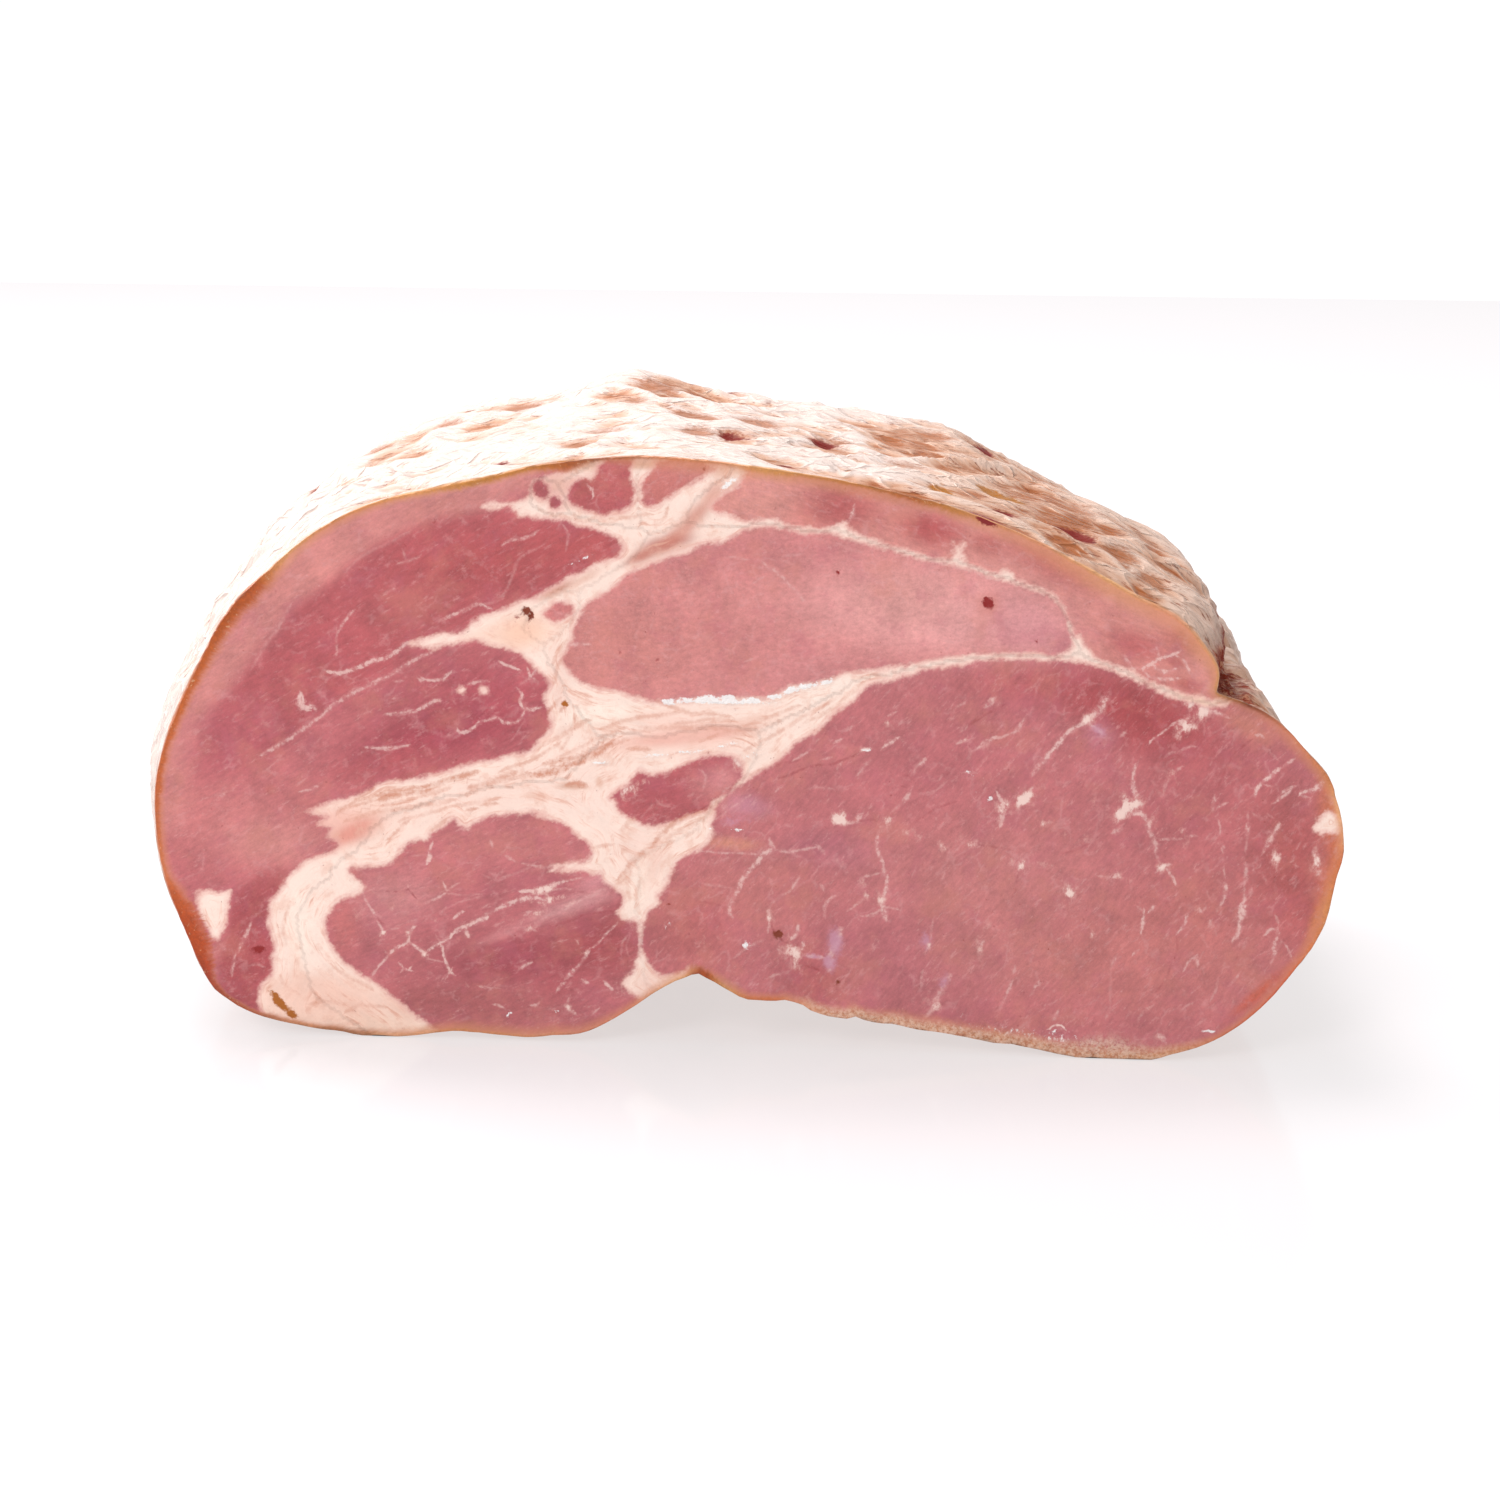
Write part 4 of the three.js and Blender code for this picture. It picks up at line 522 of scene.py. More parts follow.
# The tone of each muscle, then the patches that vary it, the meat's own tones and also painted light, brighter on the
# eye's right: tone, middle, half sizes, turn, share.
MUSCLE_TONE = {
    "left_flank": (196, 112, 116),
    "top_strip": (219, 147, 139),
    "island": (218, 134, 132),
    "eye": (215, 141, 138),
    "oval_a": (182, 99, 102),
    "oval_b": (180, 97, 100),
    "spiral": (191, 102, 104),
    "snout": (205, 125, 119),
    "right": (196, 118, 121),
    "small_centre": (191, 103, 107),
    "low_left": (194, 114, 118),
}
SOFT_AREAS = {
    "rim_zone": ((214, 141, 136), 0.95, 2.2, [(-33, 111.8), (-35.8, 107.7), (-38.6, 104), (-44.1, 101.5), (-47.8, 100.1), (-55.2, 98.7), (-60.8, 96.6), (-66.4, 94), (-71.1, 91.4), (-74.9, 88.1), (-78.7, 84.9), (-82.3, 82.4), (-84.6, 79.7), (-87.3, 76.3), (-90.1, 73), (-93.2, 69.4), (-95.9, 65.9), (-98.6, 62.4), (-100.3, 59), (-101.5, 55.3), (-102.8, 49.6), (-103.3, 44.8), (-105.4, 38.9), (-113.1, 38.7), (-114.5, 52.1), (-104.2, 78.9), (-82.9, 101.7), (-56.9, 111.4)]),
    "spindle": ((188, 99, 103), 0.95, 1.6, [(-21.8, 94), (-25.8, 96.8), (-33.1, 98.7), (-40.5, 99.5), (-44.1, 100.7), (-47.8, 99.8), (-55.2, 98.5), (-60.8, 96.2), (-66.4, 93.5), (-70.6, 90.8), (-74.4, 87.6), (-78.2, 84.3), (-81.6, 81.8), (-83.9, 79), (-86.2, 75.9), (-88.9, 72.5), (-92.1, 68.6), (-94.8, 65.2), (-97.5, 61.7), (-99.1, 58.2), (-100, 54.8), (-97.1, 51.6), (-91.8, 51.7), (-86, 55.5), (-82.2, 59), (-78.3, 62.3), (-74.5, 64.9), (-70.7, 66.8), (-66.9, 69.4), (-63.2, 71.3), (-57.5, 73.9), (-59.3, 75.7), (-55, 77.5), (-50, 79.3), (-45.3, 82), (-38.8, 84.4), (-33.3, 87.8), (-25.9, 91.5)]),
    "dark_strip": ((178, 90, 94), 0.95, 0.9, [(-90.1, 31.3), (-85.7, 32.1), (-86.1, 30.4), (-86.5, 28.8), (-87.5, 27.3), (-88.7, 25.9), (-89.3, 23.9), (-89.5, 22), (-89, 20.1), (-88.3, 17.2), (-88.7, 12.3), (-91, 9.3), (-91.7, 5.3), (-95.1, 2.3), (-99.1, 7.7), (-98.6, 11), (-98.4, 13.9), (-97.7, 16.9), (-96.9, 19.4), (-96.2, 21.8), (-95.7, 25.1), (-95.1, 27.1), (-93.6, 28.5), (-91.6, 30.1)]),
}
LEAN_PATCHES = [
    ((206, 128, 127), -94, 41.2, 15.85, 9.32, 0, 0.9),
    ((212, 142, 137), -87.4, 37.1, 9.32, 4.10, 0, 0.8),
    ((202, 121, 124), -78.1, 53.4, 11.19, 4.47, 30, 0.8),
    ((192, 104, 112), -94.3, 56.8, 9.32, 6.34, 35, 0.85),
    ((189, 106, 110), -58.6, 68.1, 11.19, 3.73, 20, 0.8),
    ((180, 90, 99), -47.4, 64.2, 13.05, 7.83, 10, 0.85),
    ((175, 85, 95), -58.7, 57.7, 15.29, 4.47, 12, 0.9),
    ((186, 96, 100), -67.3, 52.3, 9.32, 2.61, 10, 0.6),
    ((214, 142, 136), -75.8, 90.7, 11.19, 2.98, 35, 0.6),
    ((186, 94, 96), -44.3, 91.3, 17.71, 5.22, 6, 0.8),
    ((192, 98, 99), -28.6, 94.4, 6.53, 2.98, -5, 0.8),
    ((189, 104, 106), -62.9, 82, 8.39, 4.85, 20, 0.6),
    ((189, 99, 104), -78, 73.5, 9.32, 4.47, 40, 0.7),
    ((223, 152, 143), 5.2, 103.8, 6.53, 2.80, -8, 0.5),
    ((189, 101, 101), 16.6, 102.4, 7.83, 3.73, -6, 0.95),
    ((187, 94, 95), 34.5, 98.3, 5.59, 2.80, -14, 0.95),
    ((186, 96, 92), 44.6, 95.6, 2.61, 1.86, -20, 0.8),
    ((190, 101, 98), 55.8, 92.2, 8.20, 2.42, -24, 0.9),
    ((216, 139, 131), 64.9, 83.9, 7.46, 4.10, -30, 0.6),
    ((194, 107, 107), 71.3, 78, 5.22, 2.42, -18, 0.9),
    ((186, 104, 98), 78.9, 75, 1.68, 1.12, -20, 0.8),
    ((188, 106, 98), 81, 71, 2.42, 0.93, -20, 0.8),
    ((215, 150, 135), 73.9, 84.5, 7.46, 2.24, -35, 0.5),
    ((209, 133, 134), 5.2, 93.7, 16.78, 4.10, 0, 0.7),
    ((210, 137, 129), -23.2, 75.4, 11.19, 7.08, 0, 0.6),
    ((231, 166, 164), 34.3, 83.3, 22.37, 7.83, -4, 0.95),
    ((221, 153, 156), 52.4, 80.3, 7.08, 4.66, -20, 0.8),
    ((214, 141, 142), 10.7, 71.7, 14.92, 4.10, 8, 0.6),
    ((226, 160, 152), 28.8, 85.4, 9.32, 5.22, 0, 0.5),
    ((186, 100, 104), 58, 69.4, 16.78, 3.73, -6, 0.8),
    ((175, 84, 87), 74.3, 63.8, 15.85, 6.34, -26, 0.95),
    ((194, 114, 119), 38.2, 56.8, 16.78, 6.71, 30, 0.5),
    ((202, 130, 128), 44.9, 32.5, 23.31, 11.19, 0, 0.8),
    ((188, 108, 111), 83.7, 49.6, 11.19, 10.25, 0, 0.8),
    ((185, 100, 99), 101.3, 36.5, 7.83, 14.92, 10, 0.9),
    ((201, 126, 122), 75.3, 19.1, 22.37, 8.95, -5, 0.8),
    ((189, 114, 120), 27.5, 18.7, 17.71, 8.58, -8, 0.8),
    ((196, 123, 120), 2.5, 30.4, 11.19, 9.69, 0, 0.7),
    ((194, 112, 110), -9.6, 22.4, 7.46, 7.46, 0, 0.7),
    ((207, 122, 90), 107, 50.2, 2.05, 8.58, 0, 0.8),
    ((203, 148, 168), 0.1, 46.7, 4.85, 1.86, -10, 0.5),
    ((190, 118, 130), 16.3, 38.4, 9.32, 3.73, -5, 0.5),
    ((200, 140, 160), 65.3, 61.2, 2.98, 2.24, 0, 0.35),
    ((205, 134, 128), 47.8, 18.3, 11.19, 5.59, 0, 0.5),
    ((198, 120, 112), 84.1, 29.8, 11.19, 8.39, 0, 0.4),
    ((207, 128, 128), -5.5, 49.9, 4.47, 3.17, 0, 0.9),
    ((184, 95, 102), -14.7, 48.9, 4.85, 2.61, 0, 0.6),
    ((203, 124, 126), -45, 38.2, 13.98, 4.85, 5, 0.8),
    ((212, 141, 141), -64.4, 26.6, 7.83, 5.59, 0, 0.9),
    ((206, 122, 119), -74.7, 21.2, 2.61, 4.85, 0, 0.7),
    ((170, 88, 96), -41.5, 16, 14.54, 4.66, 8, 0.95),
    ((175, 91, 95), -26.8, 19.6, 7.83, 6.71, 0, 0.9),
    ((179, 104, 105), -52.1, 7.2, 14.92, 3.36, -3, 0.8),
    ((188, 106, 111), -58.4, 21.9, 5.59, 3.36, 20, 0.5),
    ((206, 134, 134), -28.2, 34.9, 3.73, 2.98, 0, 0.5),
    ((172, 84, 88), -28.7, 105.1, 2.05, 1.68, 0, 0.85),
    ((222, 150, 140), -7.5, 108.2, 5.59, 1.68, -5, 0.5),
    ((228, 160, 130), -1.8, 39.2, 4.85, 1.12, 0, 0.6),
    ((205, 140, 115), 92.3, 63.5, 4.85, 2.24, -30, 0.5),
    ((205, 95, 70), 95.5, 13.7, 6.34, 0.93, 45, 0.8),
    ((215, 140, 95), 105.5, 28.4, 0.93, 4.85, -20, 0.7),
    ((203, 120, 80), 108.1, 51.1, 1.12, 7.46, 0, 0.6),
    ((186, 106, 96), 79.4, 79.1, 4.10, 2.24, -20, 0.6),
    ((176, 90, 92), 13.1, 13.4, 5.59, 6.34, 0, 0.5),
    ((168, 84, 90), -34.1, 11, 3.73, 2.98, 0, 0.4),
    ((216, 120, 80), 108.7, 42.7, 1.31, 9.32, 0, 0.6),
    ((214, 122, 84), 107.1, 35.2, 1.49, 7.46, -14, 0.6),
    ((228, 172, 172), -31.1, 26.6, 8.20, 1.68, 20, 0.55),
    ((222, 164, 168), -26.4, 31.5, 4.85, 1.31, 24, 0.45),
    ((218, 146, 146), -3.6, 51.5, 4.10, 2.24, 8, 0.7),
    ((226, 158, 158), -45.3, 20.4, 5.59, 0.93, 26, 0.4),
    ((214, 150, 142), 48.6, 93.1, 11.19, 2.98, -12, 0.3),
    ((236, 166, 156), 5.2, 103.3, 8.58, 4.47, 8, 0.5),
]
FAT_PATCHES = [
    ((250, 218, 205), -50.5, 46.1, 22.37, 4.47, 14, 0.6),
    ((242, 196, 178), -73.2, 40.6, 9.32, 3.73, 24, 0.6),
    ((222, 146, 132), -72.8, 39.2, 5.03, 1.86, 26, 0.8),
    ((236, 172, 160), -76.9, 41.2, 5.59, 2.24, 20, 0.5),
    ((226, 158, 146), -9.1, 59.4, 9.32, 1.31, 7, 0.85),
    ((238, 184, 168), -16.9, 57.9, 11.19, 1.49, 10, 0.5),
    ((185, 108, 98), -13.4, 95, 4.47, 1.49, 16, 0.95),
    ((200, 126, 112), -18.2, 92.6, 3.36, 1.12, 28, 0.9),
    ((208, 138, 122), -9.4, 99, 7.08, 1.49, 46, 0.8),
    ((214, 148, 132), -5, 104.6, 2.24, 1.31, 50, 0.6),
    ((224, 168, 158), -33.6, 105.2, 4.47, 2.61, 0, 0.7),
    ((222, 165, 150), -39.5, 104.7, 4.47, 1.86, 0, 0.7),
    ((216, 160, 132), -18.4, 109.1, 16.78, 0.75, 2, 0.7),
    ((188, 118, 98), -34, 86, 3.36, 0.75, 28, 0.8),
    ((215, 160, 140), -28.7, 88.3, 3.36, 0.75, 28, 0.5),
    ((246, 198, 172), -40.4, 78, 5.22, 2.98, 10, 0.8),
    ((248, 208, 188), -48.2, 76.7, 4.47, 1.49, 20, 0.4),
    ((240, 194, 175), -78.7, 6.7, 11.56, 3.36, -12, 0.7),
    ((244, 206, 184), -74, 2.6, 16.78, 2.05, -3, 0.7),
    ((232, 178, 158), -64.4, 5.6, 3.73, 1.49, -30, 0.5),
    ((244, 208, 196), -18.9, 37.4, 4.47, 4.10, 0, 0.4),
    ((238, 196, 184), -33.5, 67.3, 1.68, 7.46, 8, 0.4),
    ((250, 222, 210), -26.2, 46.7, 11.19, 2.61, 8, 0.4),
    ((228, 170, 150), 76.8, 73.1, 5.59, 2.61, -15, 0.5),
    ((236, 190, 160), 83.2, 68.1, 4.85, 0.93, -15, 0.6),
    ((240, 196, 182), -17.5, 11.5, 2.61, 2.61, 0, 0.5),
    ((214, 150, 130), -27.6, 101.2, 6.71, 0.93, -8, 0.4),
    ((205, 150, 125), -31.4, 49.1, 2.61, 0.56, 0, 0.8),
    ((215, 165, 140), -26.3, 50, 0.56, 0.93, 0, 0.7),
    ((226, 154, 140), -73.4, 39.2, 4.85, 1.12, 28, 0.75),
    ((234, 172, 158), -9.5, 59, 8.58, 0.84, 6, 0.65),
    ((228, 180, 160), -38.3, 47.2, 2.24, 0.56, 0, 0.5),
    ((240, 190, 172), -41, 56.8, 7.46, 0.75, 14, 0.5),
    ((236, 186, 168), -24.3, 61.5, 9.32, 0.75, 10, 0.5),
    ((238, 190, 172), -0.3, 62.1, 7.46, 0.75, 8, 0.5),
    ((240, 196, 180), -17, 34, 1.86, 4.47, -18, 0.5),
    ((242, 200, 182), -84, 14.4, 1.12, 7.46, 4, 0.5),
    ((238, 190, 170), -77.7, 8.7, 6.34, 1.12, -24, 0.55),
    ((255, 238, 224), -26.1, 62.8, 7.46, 1.86, 8, 0.8),
    ((255, 238, 226), 14.4, 68, 5.59, 1.31, 24, 0.7),
    ((255, 236, 222), -83.1, 20.2, 2.61, 7.46, 4, 0.7),
    ((255, 236, 222), -18.9, 31.7, 1.49, 5.59, -10, 0.6),
    ((246, 200, 186), -9.5, 59.4, 8.58, 3.73, -12, 0.6),
    ((244, 200, 182), -79.6, 6.7, 11.19, 4.47, 8, 0.55),
    ((250, 212, 196), -79.6, 6.7, 11.19, 4.85, 8, 0.55),
]
# Marks: kind, middle, half sizes, turn, strength.
MARKS = [
    ("brown", 44.7, 85.2, 0.93, 0.82, 20, 1),
    ("brown", 44.2, 85.9, 0.48, 0.41, 0, 0.9),
    ("brown", 45.5, 84.6, 0.52, 0.41, 0, 0.9),
    ("halo", 44.7, 85.2, 2.42, 2.24, 0, 0.5),
    ("brown", 17.6, 90.1, 0.60, 0.41, 0, 0.7),
    ("brown", 37.9, 78.9, 0.41, 0.37, 0, 0.5),
    ("brown", 53.5, 78.5, 0.48, 0.41, 0, 0.6),
    ("brown", -15.7, 73.3, 0.41, 0.37, 0, 0.6),
    ("ochre", -32.6, 64.7, 0.71, 0.60, 0, 0.9),
    ("brown", -6.8, 108.9, 0.34, 0.45, 0, 0.7),
    ("halo", -87.9, 47.1, 1.12, 0.93, 0, 0.5),
    ("brown", -88.5, 47, 0.30, 0.30, 0, 0.4),
    ("brown", -91.2, 16.1, 1.49, 0.67, 5, 0.75),
    ("hole", 6.8, 21.9, 1.12, 0.84, 20, 0.8),
    ("hole", 17.9, 13.4, 0.48, 0.41, 0, 0.8),
    ("brown", -56.2, 98.3, 0.75, 0.30, 0, 0.5),
    ("hole", -39.6, 81.9, 0.86, 0.78, 0, 1),
    ("hole", -38.7, 80.8, 0.45, 1.04, -32, 0.9),
    ("brown", -41.1, 81, 0.93, 0.56, 30, 0.4),
    ("ochre", -87.5, 6.1, 0.84, 2.42, 38, 0.95),
    ("ochre", -85.2, 3.8, 1.31, 0.93, -40, 0.8),
    ("brown", 58.3, 93.3, 0.37, 0.37, 0, 0.3),
    ("brown", 74.7, 78.8, 0.37, 0.30, 0, 0.4),
    ("brown", -22.3, 74.7, 0.30, 0.30, 0, 0.3),
    ("brown", -25.2, 83.4, 0.37, 0.30, 0, 0.4),
    ("brown", -76, 79.5, 0.30, 0.30, 0, 0.4),
    ("brown", -61.8, 93.6, 0.34, 0.26, 0, 0.4),
    ("brown", -44.2, 94.1, 0.34, 0.26, 0, 0.3),
    ("brown", -93.3, 64.1, 0.30, 0.26, 0, 0.3),
    ("brown", -105.5, 36.4, 0.37, 0.34, 0, 0.5),
    ("brown", -103.2, 31.3, 0.34, 0.34, 0, 0.4),
    ("brown", -65.5, 83.1, 0.34, 0.26, 0, 0.3),
    ("brown", -80.5, 66.2, 0.30, 0.26, 0, 0.3),
    # wet: damp ridges, raised and glossier, and also given near-white paint: a painted highlight
    ("wet_and_painted_highlight", -4.3, 65.9, 10.81, 0.60, 0, 1),
    ("wet_and_painted_highlight", 10.7, 68.5, 4.47, 0.48, 20, 0.9),
    ("wet_and_painted_highlight", -2.4, 106.1, 2.61, 0.60, 38, 0.8),
    ("wet_and_painted_highlight", -7.7, 56.5, 4.10, 0.45, 8, 0.6),
    ("wet_and_painted_highlight", 1.5, 55.6, 2.61, 0.75, 20, 0.5),
    ("wet_and_painted_highlight", -29.9, 91.4, 3.73, 0.30, 26, 0.7),
    ("wet_and_painted_highlight", -36.5, 45.3, 3.73, 0.37, 8, 0.3),
    ("wet_and_painted_highlight", 75.1, 29.6, 5.59, 5.59, 0, 0.2),
    ("wet_and_painted_highlight", 1.5, 19.8, 2.61, 1.49, 0, 0.5),
    ("wet_and_painted_highlight", -13.7, 23.2, 1.12, 1.49, 0, 0.5),
    ("wet_and_painted_highlight", 42.8, 50, 5.22, 4.85, 0, 0.25),
    ("wet_and_painted_highlight", 48, 4.1, 24.24, 1.86, -3, 0.5),
    ("wet_and_painted_highlight", 29.5, 5.8, 11.19, 1.12, -8, 0.4),
    ("wet_and_painted_highlight", -83.2, 16.3, 4.10, 9.32, 10, 0.15),
    ("blood", 44.2, 100.1, 2.05, 0.60, -22, 1),
    ("wet_and_painted_highlight", -13.5, 65.5, 1.68, 0.56, -8, 1),
    ("wet_and_painted_highlight", -10.6, 66, 1.12, 0.56, 0, 1),
    ("wet_and_painted_highlight", -6.5, 66.4, 2.24, 0.56, 4, 1),
    ("wet_and_painted_highlight", -2.5, 66.7, 1.68, 0.56, 0, 1),
    ("wet_and_painted_highlight", 1.9, 66.4, 1.86, 0.56, -6, 1),
    ("wet_and_painted_highlight", 6.1, 66.9, 1.68, 0.56, 8, 1),
    ("wet_and_painted_highlight", 8.9, 68.3, 1.49, 0.56, 30, 1),
    ("wet_and_painted_highlight", 12.2, 69.1, 1.86, 0.56, 6, 1),
    ("wet_and_painted_highlight", 15.6, 70, 1.68, 0.56, 20, 1),
    ("wet_and_painted_highlight", -26, 53.8, 2.98, 0.37, 8, 0.8),
    ("wet_and_painted_highlight", -16.2, 55.4, 3.73, 0.37, 6, 0.8),
    ("wet_and_painted_highlight", -10.1, 56.2, 2.98, 0.37, 4, 0.8),
    ("wet_and_painted_highlight", -3.2, 57.5, 2.98, 0.37, 14, 0.8),
    ("wet_and_painted_highlight", -1.2, 41.7, 1.86, 0.37, 2, 0.8),
    ("wet_and_painted_highlight", -5.5, 41.6, 0.75, 0.37, 0, 0.8),
    ("wet_and_painted_highlight", 22.8, 57.5, 1.31, 0.37, 0, 0.8),
    ("wet_and_painted_highlight", 0.6, 19.8, 1.12, 0.37, 0, 0.8),
    ("wet_and_painted_highlight", 41.1, 7.4, 0.56, 0.37, 60, 0.8),
    ("wet_and_painted_highlight", 86.5, 5.9, 2.24, 0.37, -10, 0.8),
    ("wet_and_painted_highlight", 45.6, 48.6, 0.93, 0.37, 60, 0.8),
    ("wet_and_painted_highlight", 41.5, 53.5, 1.49, 0.37, 0, 0.8),
    ("wet_and_painted_highlight", -43.6, 5.3, 0.56, 0.37, 0, 0.8),
    ("wet_and_painted_highlight", -34.9, 5.8, 0.56, 0.37, 0, 0.8),
    ("wet_and_painted_highlight", 58.1, 5, 1.49, 0.37, 10, 0.8),
]
